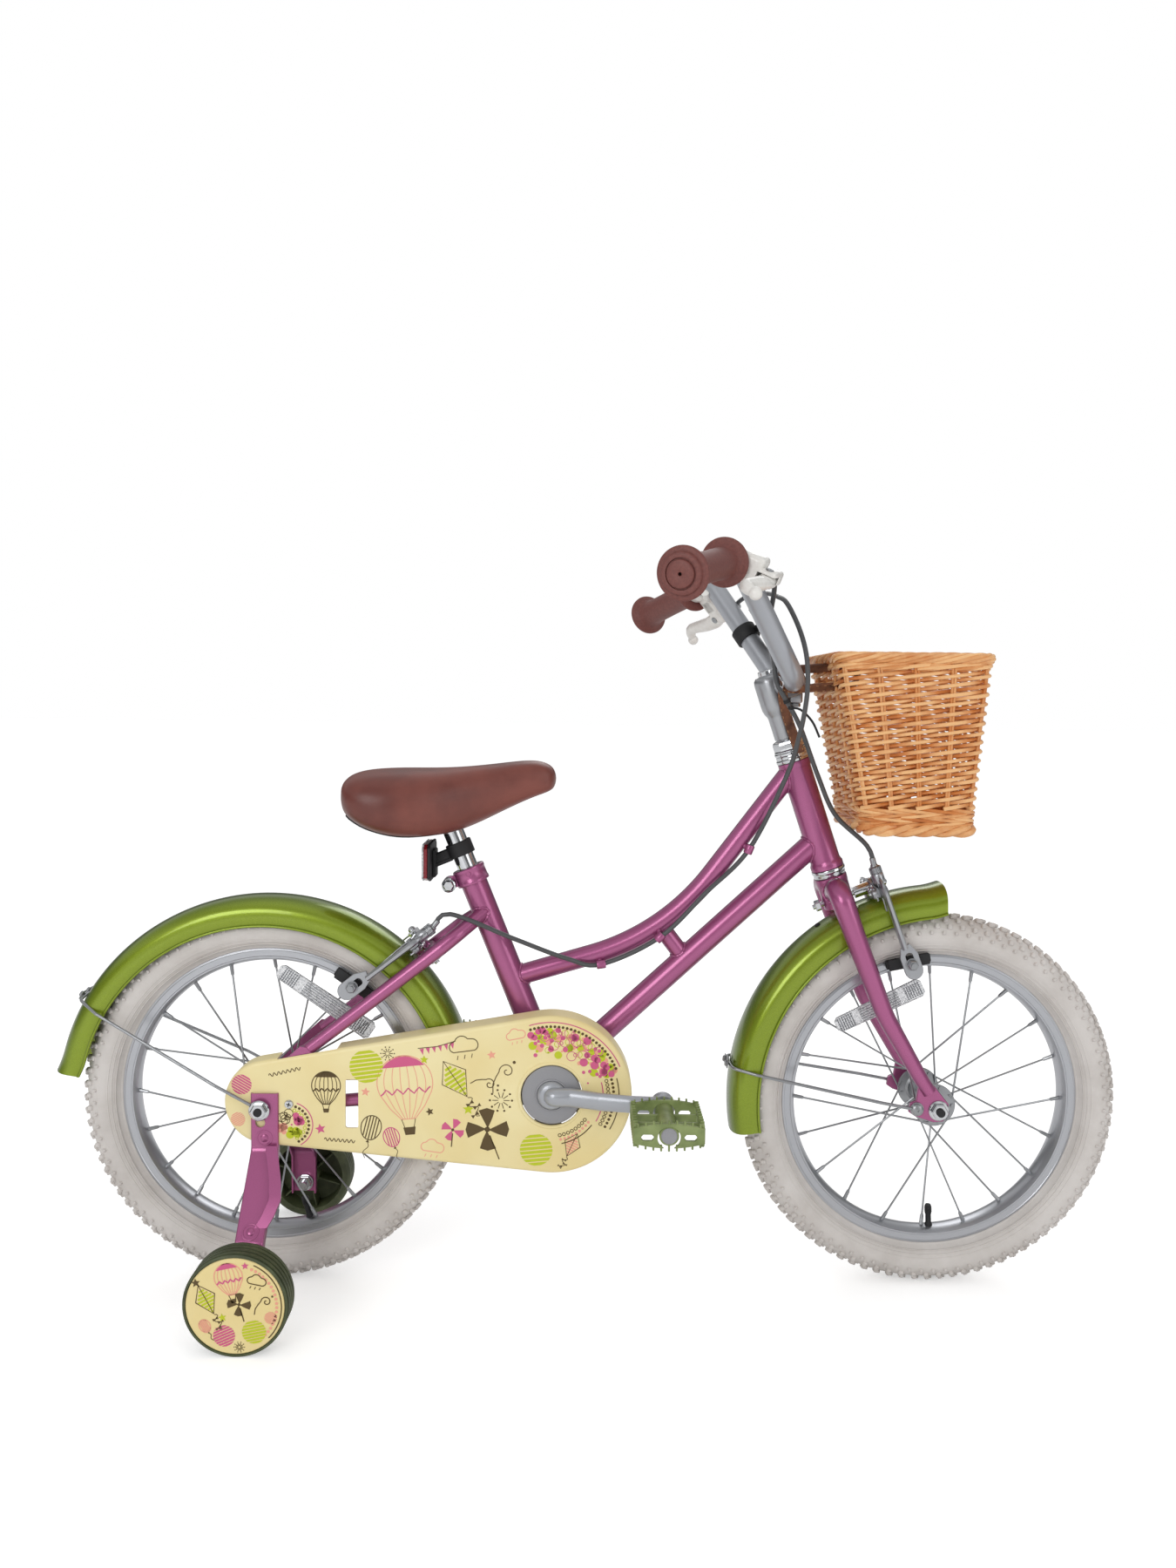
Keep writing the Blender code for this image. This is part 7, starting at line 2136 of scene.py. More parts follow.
def coil(centre, along, radius, wire, turns, height, steps=14):
    """A helical spring along an axis."""
    axes = facing(along)
    count = int(turns * steps)
    return rod([centre + axes @ Vector((radius * math.cos(math.tau * k / steps),
                                        radius * math.sin(math.tau * k / steps),
                                        height * k / count)) for k in range(count + 1)], wire, 8)


# Brake levers: a cast bracket clamped on the bar with a barrel adjuster for the cable, and a
# cast blade that turns on a screw, with a ball at its tip
def controls(label, side, drop):
    """A grip, the bracket and the blade, turned `drop` degrees below level."""
    outer = spot(GRIP_END[0], side * GRIP_END[1], GRIP_END[2])
    out = (outer - spot(BAR_BEND[0], side * BAR_BEND[1], BAR_BEND[2])).normalized()
    mounted(joined("grip_moulded_" + label, [lathe(grip_outline, 64, outer, out)], grip_rubber, 50),
            "steering", "red_brown_vinyl", "grip_" + label)
    level = (X - out * out.dot(X)).normalized()
    down = out.cross(level)
    down = down if down.z < 0 else -down
    angle = math.radians(drop)
    reach = level * math.cos(angle) + down * math.sin(angle)
    flat = out.cross(reach).normalized()
    at = outer - out * 0.123
    axes = Matrix((reach, out, reach.cross(out))).transposed()
    pivot = at + reach * 0.0405 + out * 0.003
    body = bored(
        slab((0.036, 0.02, 0.017), at + reach * 0.031 - out * 0.002, axes, 0.004, 4),
        slab((0.023, 0.024, 0.0078), pivot + reach * 0.002 + out * 0.002, axes, 0.0),
    )
    neck = bored(
        slab((0.0183, 0.0293, 0.0143), at + reach * 0.0397 - out * 0.0107, axes, 0.0036, 4),
        slab((0.023, 0.024, 0.0078), pivot + reach * 0.002 + out * 0.002, axes, 0.0),
    )
    ring = [(0.0113, -0.008), (0.0145, -0.008), (0.0153, -0.007), (0.0154, 0.0),
            (0.0153, 0.007), (0.0145, 0.008), (0.0113, 0.008)]
    entry = at + reach * 0.0397 - out * 0.0253
    rise = flat if flat.z > 0 else -flat
    hood = bored(
        slab((0.033, 0.0235, 0.025), at + reach * 0.0185 + rise * 0.004 - out * 0.003, axes,
             0.005, 4),
        slab((0.023, 0.06, 0.0078), pivot + reach * 0.002, axes, 0.0),
        rod([at - out * 0.04, at + out * 0.04], 0.0114, 32),
    )
    tongue = smooth_bar([at + reach * 0.015 - out * 0.006, at + reach * 0.011 - out * 0.018
                         - rise * 0.01, at + reach * 0.003 - out * 0.029 - rise * 0.018],
                        [0.008, 0.0075, 0.005], [0.006, 0.0055, 0.0045], flat)
    meshes = [lathe(ring, 48, at, out), body, neck, hood, tongue,
              slab((0.011, 0.015, 0.01), at - reach * 0.016, axes, 0.0024, 3),
              lathe([(0.0, -0.0005), (0.0062, -0.0005), (0.006, 0.0035), (0.005, 0.0046),
                     (0.0, 0.0046)], 28, entry, -out)]
    mounted(joined("lever_bracket_cast_" + label, meshes, white_casting, 40), "steering",
            "white_plastic", "lever_bracket_" + label)
    fittings = [
        lathe([(0.0, 0.004), (0.0042, 0.004), (0.0045, 0.0046), (0.0042, 0.0053),
               (0.0045, 0.006), (0.0042, 0.0067), (0.0045, 0.0074), (0.004, 0.008),
               (0.0, 0.008)], 20, entry, -out),
        lathe([(0.0, 0.0078), (0.0034, 0.0078), (0.0032, 0.015), (0.0, 0.015)], 20, entry,
              -out),
        hexagon(0.0048, 0.0206, 0.0226, at, -reach),
        coil(pivot - out * 0.008 - flat * 0.003, flat, 0.0042, 0.0006, 4, 0.006),
    ]
    for way in (-1, 1):
        fittings.append(lathe([(0.0, 0.008), (0.004, 0.008), (0.004, 0.0092), (0.0032, 0.0098),
                               (0.001, 0.0098), (0.0008, 0.0094), (0.0, 0.0094)], 24, pivot, flat
                              * way))
    mounted(joined("lever_fittings_" + label, fittings, zinc, 35), "steering", "grey_steel")
    path = [pivot - out * 0.004, pivot + out * 0.014 + reach * 0.0035,
            pivot + out * 0.03 + reach * 0.0035, pivot + out * 0.06 + reach * 0.0005,
            pivot + out * 0.069 + reach * 0.005, pivot + out * 0.0735 + reach * 0.012]
    blade = smooth_bar(path, [0.0034, 0.0036, 0.0068, 0.0066, 0.0058, 0.0046],
                       [0.0085, 0.0092, 0.0082, 0.0068, 0.0056, 0.004], flat)
    ball = pivot + out * 0.0745 + reach * 0.014
    knob = [(0.0, -0.0062)] + [(0.0061 * math.cos(math.radians(a)),
                                0.0062 * math.sin(math.radians(a))) for a in range(-75, 76, 15)]
    tip = lathe(knob + [(0.0, 0.0062)], 28, ball, out)
    boss = lathe([(0.0, -0.0034), (0.0056, -0.0034), (0.006, -0.0028), (0.006, 0.0028),
                  (0.0056, 0.0034), (0.0, 0.0034)], 28, pivot, flat)
    mounted(joined("brake_lever_cast_" + label, [blade, tip, boss], white_casting, 50),
            "brake_lever_" + label, "white_plastic", "brake_lever_" + label)


controls("right", -1, 20)
controls("left", 1, 45)

# Front reflector: a black housing with ribs behind and a white prism lens in front, held by a
# band on the riser
riser = (spot(BAR_BEND[0], BAR_BEND[1], BAR_BEND[2]) - (STEM_AT + Y * 0.05)).normalized()
clamp_at = STEM_AT + Y * 0.05 + riser * 0.07
slope = Vector((riser.x, 0, riser.z)).normalized()
lens_out = slope.cross(Y)
lens_out = lens_out if lens_out.x > 0 else -lens_out
lens_middle = spot(0.533, 0.048, 0.718)
lens_axes = Matrix((lens_out, Y, lens_out.cross(Y))).transposed()
housing = [
    lathe([(0.0112, -0.008), (0.0135, -0.008), (0.014, -0.0074), (0.014, 0.0074),
           (0.0135, 0.008), (0.0112, 0.008)], 48, clamp_at, riser),
    slab((0.006, 0.044, 0.052), lens_middle - lens_out * 0.0015, lens_axes, 0.0016, 2),
    rod([clamp_at + lens_out * 0.0132 - Y * 0.003, lens_middle + Y * 0.012 + slope * 0.002],
        0.004, 16),
]
for k in range(4):
    housing.append(slab((0.0026, 0.04, 0.0022), lens_middle - lens_out * 0.005
                        + slope * (k - 1.5) * 0.013, lens_axes, 0.0005))
for side in (-1, 1):
    housing.append(slab((0.0026, 0.0022, 0.048), lens_middle - lens_out * 0.005
                        + Y * side * 0.019, lens_axes, 0.0005))
mounted(joined("front_reflector_housing", housing, black_rubber, 40), "steering",
        "black_plastic", "front_reflector")
mounted(joined("front_reflector_lens", [slab((0.0034, 0.04, 0.048), lens_middle
                                             + lens_out * 0.003, lens_axes, 0.001, 2)],
               clear_plastic, 30), "steering", "black_plastic")


# Basket: willow rods woven over sixteen pairs of stakes, with a three-rod band low down, a
# braided foot and a rim of four rods laid round each other; stained orange-brown
def rod_tones(tree, place):
    """Each rod's own tone, with painted shade where a weaver passes behind a stake, and a mottle over
    it.
    """
    tone = add(tree, "ShaderNodeAttribute", attribute_name="tone", attribute_type="GEOMETRY")
    mottle = noise(60, 5, Roughness=0.6)(tree, place)
    return add(tree, "ShaderNodeMath", {0: mottle, 1: 0.55, 2: tone.outputs["Fac"]},
               operation="MULTIPLY_ADD").outputs[0]


willow = patterned("stained_willow", "D08745", 0.44, Coat_Weight=0.12,
                   tint=(rod_tones, (0.18, "9C4F20"), (0.5, "CC7B38"),
                         (1.1 / 1.3, "F0BC82")),
                   relief=(noise(500, 4), 0.4, 0.0005))

BASKET_TOP, BASKET_DEPTH, BASKET_WALL, CORNER = 0.684, 0.186, 0.0055, 0.016
STAKES = 16


def basket_place(u, z, out=0.0):
    """A place in the wall: u counts stakes from the front left corner, four to each side."""
    t = (BASKET_TOP - z) / BASKET_DEPTH
    rear, front, half = 0.583 + 0.036 * t, 0.744 - 0.013 * t, 0.082 - 0.01 * t
    corners = [Vector((front - CORNER, half - CORNER)), Vector((rear + CORNER, half - CORNER)),
               Vector((rear + CORNER, CORNER - half)), Vector((front - CORNER, CORNER - half))]
    side = int(u // 4) % 4
    here, after = corners[side], corners[(side + 1) % 4]
    bend = math.radians(45) * CORNER
    length = 2 * bend + (after - here).length
    along = u % 4 / 4 * length
    turn = 45 + 90 * side
    if along < bend:
        centre = here
        turn += math.degrees(along / CORNER)
    elif along > length - bend:
        centre = after
        turn += 45 + math.degrees((along - length + bend) / CORNER)
    else:
        centre = here.lerp(after, (along - bend) / (after - here).length)
        turn += 45
    way = Vector((math.cos(math.radians(turn)), math.sin(math.radians(turn)), 0))
    return spot(centre.x, centre.y, z) + way * (CORNER - BASKET_WALL / 2 + out)


def chance(*numbers):
    """A steady number from 0 to 1 for each rod."""
    value = math.sin(sum(n * k for n, k in zip(numbers, (12.9898, 78.233, 37.719)))) * 43758.5453
    return value - math.floor(value)


def rods_tree():
    """A tree that gives every line a round section, as thick as its points' `thick`."""
    tree, given = sized_tree("willow_rods", Sides=7)
    line = add(tree, "GeometryNodeMeshToCurve", {"Mesh": given["Geometry"]})
    thick = add(tree, "GeometryNodeInputNamedAttribute", data_type="FLOAT")
    thick.inputs["Name"].default_value = "thick"
    ring = add(tree, "GeometryNodeCurvePrimitiveCircle", {"Resolution": given["Sides"],
               "Radius": 1.0})
    swept = add(tree, "GeometryNodeCurveToMesh", {"Curve": line.outputs[0],
                "Profile Curve": ring.outputs["Curve"], "Scale": thick.outputs["Attribute"],
                "Fill Caps": True})
    ended(tree, swept.outputs[0], willow)
    return tree


def woven(name, rods):
    """One mesh of rods, each given as its path with a radius and a tone at every point."""
    points, links, thick, tones = [], [], [], []
    for path, radii, tone in rods:
        first = len(points)
        points += path
        links += [(first + k, first + k + 1) for k in range(len(path) - 1)]
        thick += radii
        tones += tone
    lines = bpy.data.meshes.new(name)
    lines.from_pydata([tuple(point) for point in points], links, [])
    for label, values in (("thick", thick), ("tone", tones)):
        lines.attributes.new(label, "FLOAT", "POINT").data.foreach_set("value", values)
    made = piece(name, grown(willow_tree, lines, Sides=7), willow, 50)
    return mounted(made, "steering", "orange_weave")


willow_tree = rods_tree()
ROWS = 31
ROW_PITCH = 0.00478
WEAVE_DEPTH = 0.0023
ROD_STEPS = 7
weave = []
for start in range(STAKES):
    for first in range(-1, ROWS, 6):
        tone = 0.26 + 0.34 * chance(start, first, 5)
        path, radii, tones = [], [], []
        begin, end = max(first, 0), min(first + 6, ROWS)
        for k in range((end - begin) * ROD_STEPS + 3):
            row = begin + (k - 1) / ROD_STEPS
            face = math.cos(math.pi * row)
            path.append(basket_place((start + row) % STAKES, 0.5262 + row * ROW_PITCH
                                     + 0.0005 * chance(start, first, 3), face * WEAVE_DEPTH))
            radii.append(0.00222 - 0.0004 * (row - begin) / 6)
            # lighter where the weaver comes out in front of a stake and darker where it passes behind
            # one: painted shade
            tones.append(tone + 0.2 * face)
        weave.append((path, radii, tones))
for stake in range(STAKES):
    for offset in (-0.04, 0.04):
        path = [basket_place((stake + offset) % STAKES, 0.501 + 0.0196 * k, 0.0004)
                for k in range(10)]
        weave.append((path, [0.0014] * 10, [0.28 + 0.2 * chance(stake, offset)] * 10))
body_weave = woven("basket_weave", weave)

bands = []
for row, slope in ((0, 1), (1, -1), (2, 1), (3, -1)):
    for stake in range(STAKES):
        path, radii = [], []
        for k in range(11):
            t = -0.1 + 2.2 * k / 10
            path.append(basket_place((stake + t) % STAKES, 0.5098 + row * 0.0042
                                     + slope * 0.003 * (t - 1), 0.003 * math.sin(
                                         math.pi * min(max(t, 0), 2) / 2) - 0.0004))
            radii.append(0.0021 - 0.0003 * t)
        bands.append((path, radii, [0.15 + 0.45 * chance(row, stake, 7)] * 11))
for stake in range(STAKES):
    path = [basket_place((stake + 1.9 * k / 8) % STAKES, 0.672 - 0.005 + 0.0062 * k / 8,
                         0.0016 * math.sin(math.pi * k / 8)) for k in range(9)]
    bands.append((path, [0.002] * 9, [0.2 + 0.5 * chance(stake, 9)] * 9))


def laid_rope(z, out, spread, strands, turns, radius, seed):
    """Rods twisted round each other along the whole rim or foot."""
    made = []
    for strand in range(strands):
        path = []
        for k in range(STAKES * 8 + 1):
            u = k / 8
            turn = math.tau * (turns * u / STAKES + strand / strands)
            path.append(basket_place(u % STAKES, z + spread * math.sin(turn),
                                     out + spread * math.cos(turn)))
        radii = [radius * (0.92 + 0.16 * chance(k // 12, strand, seed)) for k in range(len(path))]
        made.append((path, radii, [0.25 + 0.4 * chance(k // 24, strand, seed)
                                   for k in range(len(path))]))
    return made


bands += laid_rope(0.6778, 0.0004, 0.004, 7, 6, 0.002, 3)
bands += laid_rope(0.5036, 0.0, 0.0036, 3, 7, 0.0036, 11)
woven("basket_borders", bands)

floor_rods = []
for k in range(24):
    y = -0.063 + 0.00548 * k
    path = []
    for j in range(21):
        x = 0.621 + 0.106 * j / 20
        path.append(spot(x, y, 0.5046 + (1 if k % 2 else -1) * 0.0013
                         * math.cos(math.pi * 5 * j / 20)))
    floor_rods.append((path, [0.0023] * 21, [0.2 + 0.5 * chance(k, 13)] * 21))
for j in range(6):
    x = 0.621 + 0.106 * j / 5
    floor_rods.append(([spot(x, -0.066, 0.5046), spot(x, 0, 0.5046), spot(x, 0.066, 0.5046)],
                       [0.0021] * 3, [0.5] * 3))
woven("basket_floor", floor_rods)
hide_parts("basket")

# Basket straps: brown bridle leather, 12 mm wide, stitched along both edges; the right one is
# drawn through a wire buckle and its end hangs down beside the stem
leather = patterned("brown_bridle_leather", "6B3F2A", 0.46, Coat_Weight=0.1,
                    tint=(noise(90, 5), (0.32, "4E2C1D"), (0.72, "8A573A")),
                    relief=(cells(1300), 0.3, 0.0003))
thread = patterned("waxed_linen_thread", "B98E63", 0.6, relief=(noise(1500, 2), 0.4, 0.0002))
stitch_tree = along_tree("saddle_stitches", thread, "AUTO")
STRAP_HALF_WIDTH = 0.0062


def stitched(path, out_ways, across):
    """Two rows of stitches on the outer face of a strap."""
    places, ways = [], []
    run = 0.0
    for k in range(1, len(path)):
        run += (path[k] - path[k - 1]).length
        if run > 0.0042:
            run = 0.0
            way = (path[k] - path[k - 1]).normalized()
            for side in (-1, 1):
                places.append(path[k] + out_ways[k] * 0.0013 + across * side * 0.0042)
                ways.append(way)
    return copies_along(stitch_tree, [slab((0.0026, 0.0007, 0.0006), edge=0.0002)], places, ways)


def strap(label, side, tail):
    """A loop round the handlebar that passes through the basket's wall."""
    turn = 0.0111 + 0.0019
    tilt = math.radians(38)
    across = Y * side * math.cos(tilt) + Z * math.sin(tilt)
    lift = across.cross(X) * -side
    centre = STEM_AT + Y * side * 0.0335 + Z * 0.002
    front = centre + X * 0.056 + lift * 0.005
    line = []
    for middle, start in ((centre, 90), (front, -90)):
        for k in range(19):
            angle = math.radians(start + 10 * k)
            way = X * math.cos(angle) + lift * math.sin(angle)
            line.append((middle + way * turn, way))
    rows = []
    for (here, way), (after, _) in zip(line, line[1:] + line[:1]):
        steps = max(1, round((after - here).length / 0.004))
        rows += [(here.lerp(after, k / steps), way) for k in range(steps)]
    w, t, e = STRAP_HALF_WIDTH, 0.0012, 0.0005
    rings = [[point + across * a + out * b for a, b in
              ((-w, -t + e), (-w + e, -t), (w - e, -t), (w, -t + e), (w, t - e), (w - e, t),
               (-w + e, t), (-w, t - e))] for point, out in rows]
    if side > 0:
        rings = [ring[::-1] for ring in rings]
    meshes = [loft(rings, closed=True)]
    stitches = [stitched([p for p, _ in rows], [o for _, o in rows], across)]
    if tail:
        flank = -0.0168
        hang = eased([spot(0.544, flank - 0.008, 0.66), spot(0.5405, flank - 0.003, 0.643),
                      spot(0.545, flank, 0.621), spot(0.554, flank, 0.596),
                      spot(0.56, flank - 0.003, 0.579)], 0.004)
        wide = STEER_UP.cross(Y).normalized()
        meshes.append(strap_of(hang, 0.0052, 0.0011, wide, 0.0005))
        stitches.append(stitched(hang, [-Y] * len(hang), wide))
        angle = math.radians(207)
        out = X * math.cos(angle) + lift * math.sin(angle)
        on = out.cross(across)
        at = centre + out * (turn + 0.0022)
        frame_line = [at + across * a + on * b for a, b in
                      ((-0.0078, -0.0052), (0.0078, -0.0052), (0.0078, 0.0052),
                       (-0.0078, 0.0052))]
        looped = [frame_line[0].lerp(frame_line[1], 0.5)] + frame_line[1:] + [
            frame_line[0], frame_line[0].lerp(frame_line[1], 0.5)]
        buckle = [rod(rounded(looped, 0.0025, 6), 0.001, 12),
                  rod(eased([at - on * 0.0052, at + out * 0.0014, at + on * 0.0066
                             + out * 0.0006], 0.002), 0.0009, 12)]
        mounted(joined("strap_buckle", buckle, chrome, 40), "steering", "chrome")
    mounted(joined("strap_leather_" + label, meshes, leather, 40), "steering", "brown_leather",
            "basket_strap_" + label)
    mounted(joined("strap_stitches_" + label, stitches, thread, 40), "steering", "brown_leather")


strap("right", -1, True)
strap("left", 1, False)


# Side-pull brakes: two forged arms on one bolt, pulled together by the cable and opened by a
# wire spring; slotted plates at their feet hold the pads against the rim
knurl_tree = ring_tree("knurled_ridges", zinc)


def brake(name, pivot, out, down, pad_low, tangent):
    """Arms, pads, spring, adjuster and inner wire. Local axes are right, down and out."""
    def local(u, w, n):
        return pivot + RIGHT * u + down * w + out * n

    for side, label, low, high in ((1, "right", 0.0047, 0.0085), (-1, "left", 0.0, 0.0038)):
        body = f"{name}_brake_arm_{label}"
        mid = (low + high) / 2
        eye_outline = [(0.0031, low), (0.0092, low), (0.0098, low + 0.0006),
                       (0.0098, high - 0.0006), (0.0092, high), (0.0031, high)]
        lower = rounded([local(side * 0.003, 0.0, mid),
                         local(side * 0.0385, -0.01 + 0.012 * (side < 0), mid),
                         local(side * 0.0402, 0.008, mid),
                         local(side * 0.0385, pad_low - 0.019, mid)], 0.012, 6)
        marks = [lower[0], lower[len(lower) // 3], lower[2 * len(lower) // 3], lower[-1]]
        tip = local(0.03, -0.018, mid) if side > 0 else local(0.0285, 0.003, mid)
        arm = []
        for k, point in enumerate(lower):
            on = (lower[min(k + 1, len(lower) - 1)] - lower[max(k - 1, 0)]).normalized()
            across = on.cross(out).normalized()
            deep = 0.0068 - 0.0022 * k / (len(lower) - 1)
            half = (high - low) / 2 * (1 if k < 6 else 1.6)
            arm.append([point + out * a + across * b for a, b in
                        ((-half, -deep * 0.6), (-half * 0.5, -deep), (half * 0.4, -deep),
                         (half, -deep * 0.45), (half * 0.85, 0), (half, deep * 0.45),
                         (half * 0.4, deep), (-half * 0.5, deep), (-half, deep * 0.6))])
        meshes = [
            lathe(eye_outline, 40, pivot, out),
            loft(arm),
            smooth_bar([local(0, 0, mid), local(0, 0, mid).lerp(tip, 0.5), tip],
                       [(high - low) / 2 - 0.0003] * 3, [0.0062, 0.005, 0.0056], out),
        ]
        plate_outline = [(-0.006, -0.02), (0.0045, -0.0225), (0.0098, -0.01),
                         *arc((0.0, 0.007), 0.0098, 0, 180, 10), (-0.0098, -0.01)]
        middle = local(side * 0.035, pad_low, mid + 0.002)
        slot_at = local(side * 0.035, pad_low - 0.003, mid + 0.002)
        slot_axes = Matrix((RIGHT, down, RIGHT.cross(down))).transposed()
        meshes.append(bored(
            flat_plate(plate_outline, middle - out.cross(down) * 0.0015, out, down, 0.003),
            slab((0.02, 0.02, 0.0084), slot_at, slot_axes, 0.0034, 3),
        ))
        if side > 0:
            barrel_at = local(0.03, -0.012, mid)
            meshes.append(lathe([(0.0, -0.0046), (0.006, -0.0046), (0.0064, -0.0036),
                                 (0.0064, 0.005), (0.0058, 0.0058), (0.0, 0.0058)], 32,
                                barrel_at, -down))
        mounted(joined(f"{name}_brake_forging_{label}", meshes, polished, 40), body, "chrome",
                f"{name}_brake_arm_{label}")
        stud_base = Vector((middle.x, 0, middle.z))
        outward = RIGHT * side
        pad_middle = stud_base + outward * 0.0206
        pad_axes = Matrix((tangent, Y, tangent.cross(Y))).transposed()
        rubber = [slab((0.048, 0.008, 0.0095), pad_middle - outward * 0.001, pad_axes, 0.0016, 2),
                  slab((0.044, 0.003, 0.012), pad_middle + outward * 0.0036, pad_axes, 0.001, 2)]
        for k in (-1, 0, 1):
            rubber.append(slab((0.0012, 0.003, 0.0101), pad_middle - outward * 0.003
                               + tangent * 0.012 * k, pad_axes, 0.0003))
        mounted(joined(f"{name}_pad_rubber_{label}", rubber, black_rubber, 35), body,
                "black_rubber", f"{name}_brake_pad_{label}")
        steel = [rod([stud_base + outward * 0.022, stud_base + outward * 0.0445], 0.0028, 16),
                 lathe([(0.0, 0.0365), (0.0068, 0.0365), (0.0068, 0.0374), (0.0, 0.0374)], 28,
                       stud_base, outward),
                 hexagon(0.0056, 0.0374, 0.0426, stud_base, outward, 0.001)]
        if side > 0:
            ridges = [slab((0.0014, 0.0009, 0.007), Vector((0.0058, 0, 0.0)), edge=0.0002)]
            steel.append(lathe([(0.0, 0.0056), (0.0057, 0.0056), (0.0057, 0.0062), (0.0044, 0.0062),
                                (0.0044, 0.007), (0.0057, 0.007), (0.0057, 0.013), (0.004, 0.0142),
                                (0.0036, 0.0158), (0.0, 0.0158)], 28, barrel_at, -down))
            steel.append(ring_of(knurl_tree, ridges, 16, 0.0, barrel_at - down * 0.0094, -down))
        else:
            anchor = local(0.0285, 0.003, 0)
            steel += [lathe([(0.0, 0.0036), (0.0068, 0.0036), (0.0068, 0.0046), (0.0, 0.0046)],
                            28, anchor, out),
                      hexagon(0.0056, 0.0046, 0.01, anchor, out),
                      lathe([(0.0, 0.0096), (0.003, 0.0096), (0.003, 0.0122), (0.0, 0.0122)],
                            16, anchor, out),
                      lathe([(0.0, -0.005), (0.0052, -0.005), (0.0058, -0.0038),
                             (0.0058, 0.0), (0.0, 0.0)], 24, anchor, out),
                      rod([local(0.03, -0.027, 0.0045), local(0.029, -0.004, 0.004),
                           local(0.0285, 0.003, 0.0042), local(0.0282, 0.02, 0.004)],
                          0.0008, 8),
                      rod([local(0.0282, 0.019, 0.004), local(0.0281, 0.025, 0.004)],
                          0.0014, 10)]
        mounted(joined(f"{name}_brake_fasteners_{label}", steel, zinc, 30), body, "grey_steel")
    legs = []
    for side in (-1, 1):
        legs.append(rod(eased([local(side * 0.003, 0.0045, -0.0022),
                               local(side * 0.014, -0.004, -0.0022),
                               local(side * 0.029, -0.003, -0.002),
                               local(side * 0.034, 0.01, -0.002)], 0.003), 0.0011, 10))
    legs.append(rod(eased([local(-0.003, 0.0045, -0.0022), local(0, 0.0062, -0.0022),
                           local(0.003, 0.0045, -0.0022)], 0.002), 0.0009, 10))
    for side in (-1, 1):
        legs.append(coil(local(side * 0.0125, 0.0015, -0.0046), out, 0.0042, 0.001, 2, 0.004))
        legs.append(rod(eased([local(side * 0.0165, 0.002, 0.0098),
                               local(side * 0.029, 0.006, 0.0104),
                               local(side * 0.0345, 0.03, 0.0098),
                               local(side * 0.033, 0.052, 0.008)], 0.003), 0.001, 10))
        legs.append(rod([local(side * 0.0165, 0.002, 0.0098), local(side * 0.005, -0.001, 0.01)],
                        0.001, 10))
    return legs


BRIDGE_OUT = Vector((-0.61526, 0, 0.78833)).normalized()
FORK_OUT = Vector((0.934, 0, 0.357)).normalized()
REAR_PIVOT = hinge_place("rear_brake_arm_right_swing")
FRONT_PIVOT = hinge_place("front_brake_arm_right_swing")
REAR_DOWN = Vector((-0.788, 0, -0.615)).normalized()
FRONT_DOWN = Vector((0.357, 0, -0.934)).normalized()
rear_spring = brake("rear", REAR_PIVOT, BRIDGE_OUT, REAR_DOWN, 0.0795,
                    Vector((-0.82, 0, 0.57)).normalized())
front_spring = brake("front", FRONT_PIVOT, FORK_OUT, FRONT_DOWN, 0.0855,
                     Vector((0.98, 0, 0.2)).normalized())


def brake_bolt(name, body, pivot, out, tail, nut, spacer, cap, spring):
    """The through bolt with its nut behind, spacer, spring and the domed nuts in front."""
    meshes = [
        rod([pivot + out * tail, pivot + out * (cap + 0.0095)], 0.0028, 20),
        hexagon(0.0062, nut, nut + 0.0062, pivot, out),
        lathe([(0.0, spacer), (0.0066, spacer), (0.0066, -0.0004), (0.0, -0.0004)], 32, pivot,
              out),
        lathe([(0.0, cap - 0.0003), (0.0078, cap - 0.0003), (0.0078, cap + 0.0006),
               (0.0, cap + 0.0006)], 32, pivot, out),
        hexagon(0.0068, cap + 0.0006, cap + 0.0062, pivot, out, 0.001),
        lathe([(0.0, cap + 0.0062), (0.0044, cap + 0.0062), (0.004, cap + 0.0085),
               (0.002, cap + 0.0104), (0.0, cap + 0.0108)], 24, pivot, out),
    ]
    mounted(joined(name + "_assembly", meshes + spring, chrome, 35), body, "chrome", name)


brake_bolt("rear_brake_bolt", "frame", REAR_PIVOT, BRIDGE_OUT, -0.0295, -0.0275, -0.0084,
           0.009, rear_spring)
brake_bolt("front_brake_bolt", "steering", FRONT_PIVOT, FORK_OUT, -0.065, -0.0625, -0.0184,
           0.009, front_spring)

# Brake cables: a steel wire in a dark grey sleeve with a crimped cap at each end
rub = noise(90, 4)
sleeve = patterned("dark_grey_cable_sleeve", "4F5052", 0.38, gloss=(rub, 0.28, 0.52),
                   relief=(rub, 0.08, 0.0004))
CABLE_RADIUS = 0.0025
REAR_ROUTE = [
    (0.5042, 0.116, 0.7402), (0.5106, 0.095, 0.7482), (0.5208, 0.07, 0.7527),
    (0.5305, 0.03, 0.7497), (0.5345, -0.01, 0.743), (0.5392, -0.04, 0.7338),
    (0.5476, -0.065, 0.7071), (0.5531, -0.078, 0.6802), (0.5549, -0.08, 0.6541),
    (0.5548, -0.072, 0.6281), (0.5523, -0.055, 0.5971), (0.5441, -0.035, 0.5558),
    (0.5101, -0.01, 0.4749), (0.464, -0.0158, 0.4285), (0.4157, -0.015, 0.3798),
    (0.3533, -0.012, 0.3493), (0.3159, -0.022, 0.3577), (0.2604, -0.026, 0.379),
]
FRONT_ROUTE = [
    (0.5125, -0.1225, 0.753), (0.5155, -0.105, 0.748), (0.5175, -0.088, 0.738),
    (0.518, -0.07, 0.722), (0.52, -0.052, 0.7), (0.5265, -0.042, 0.676),
    (0.531, -0.0385, 0.652), (0.542, -0.037, 0.633), (0.5575, -0.034, 0.6058),
    (0.5775, -0.031, 0.5558), (0.5975, -0.028, 0.5146),
]


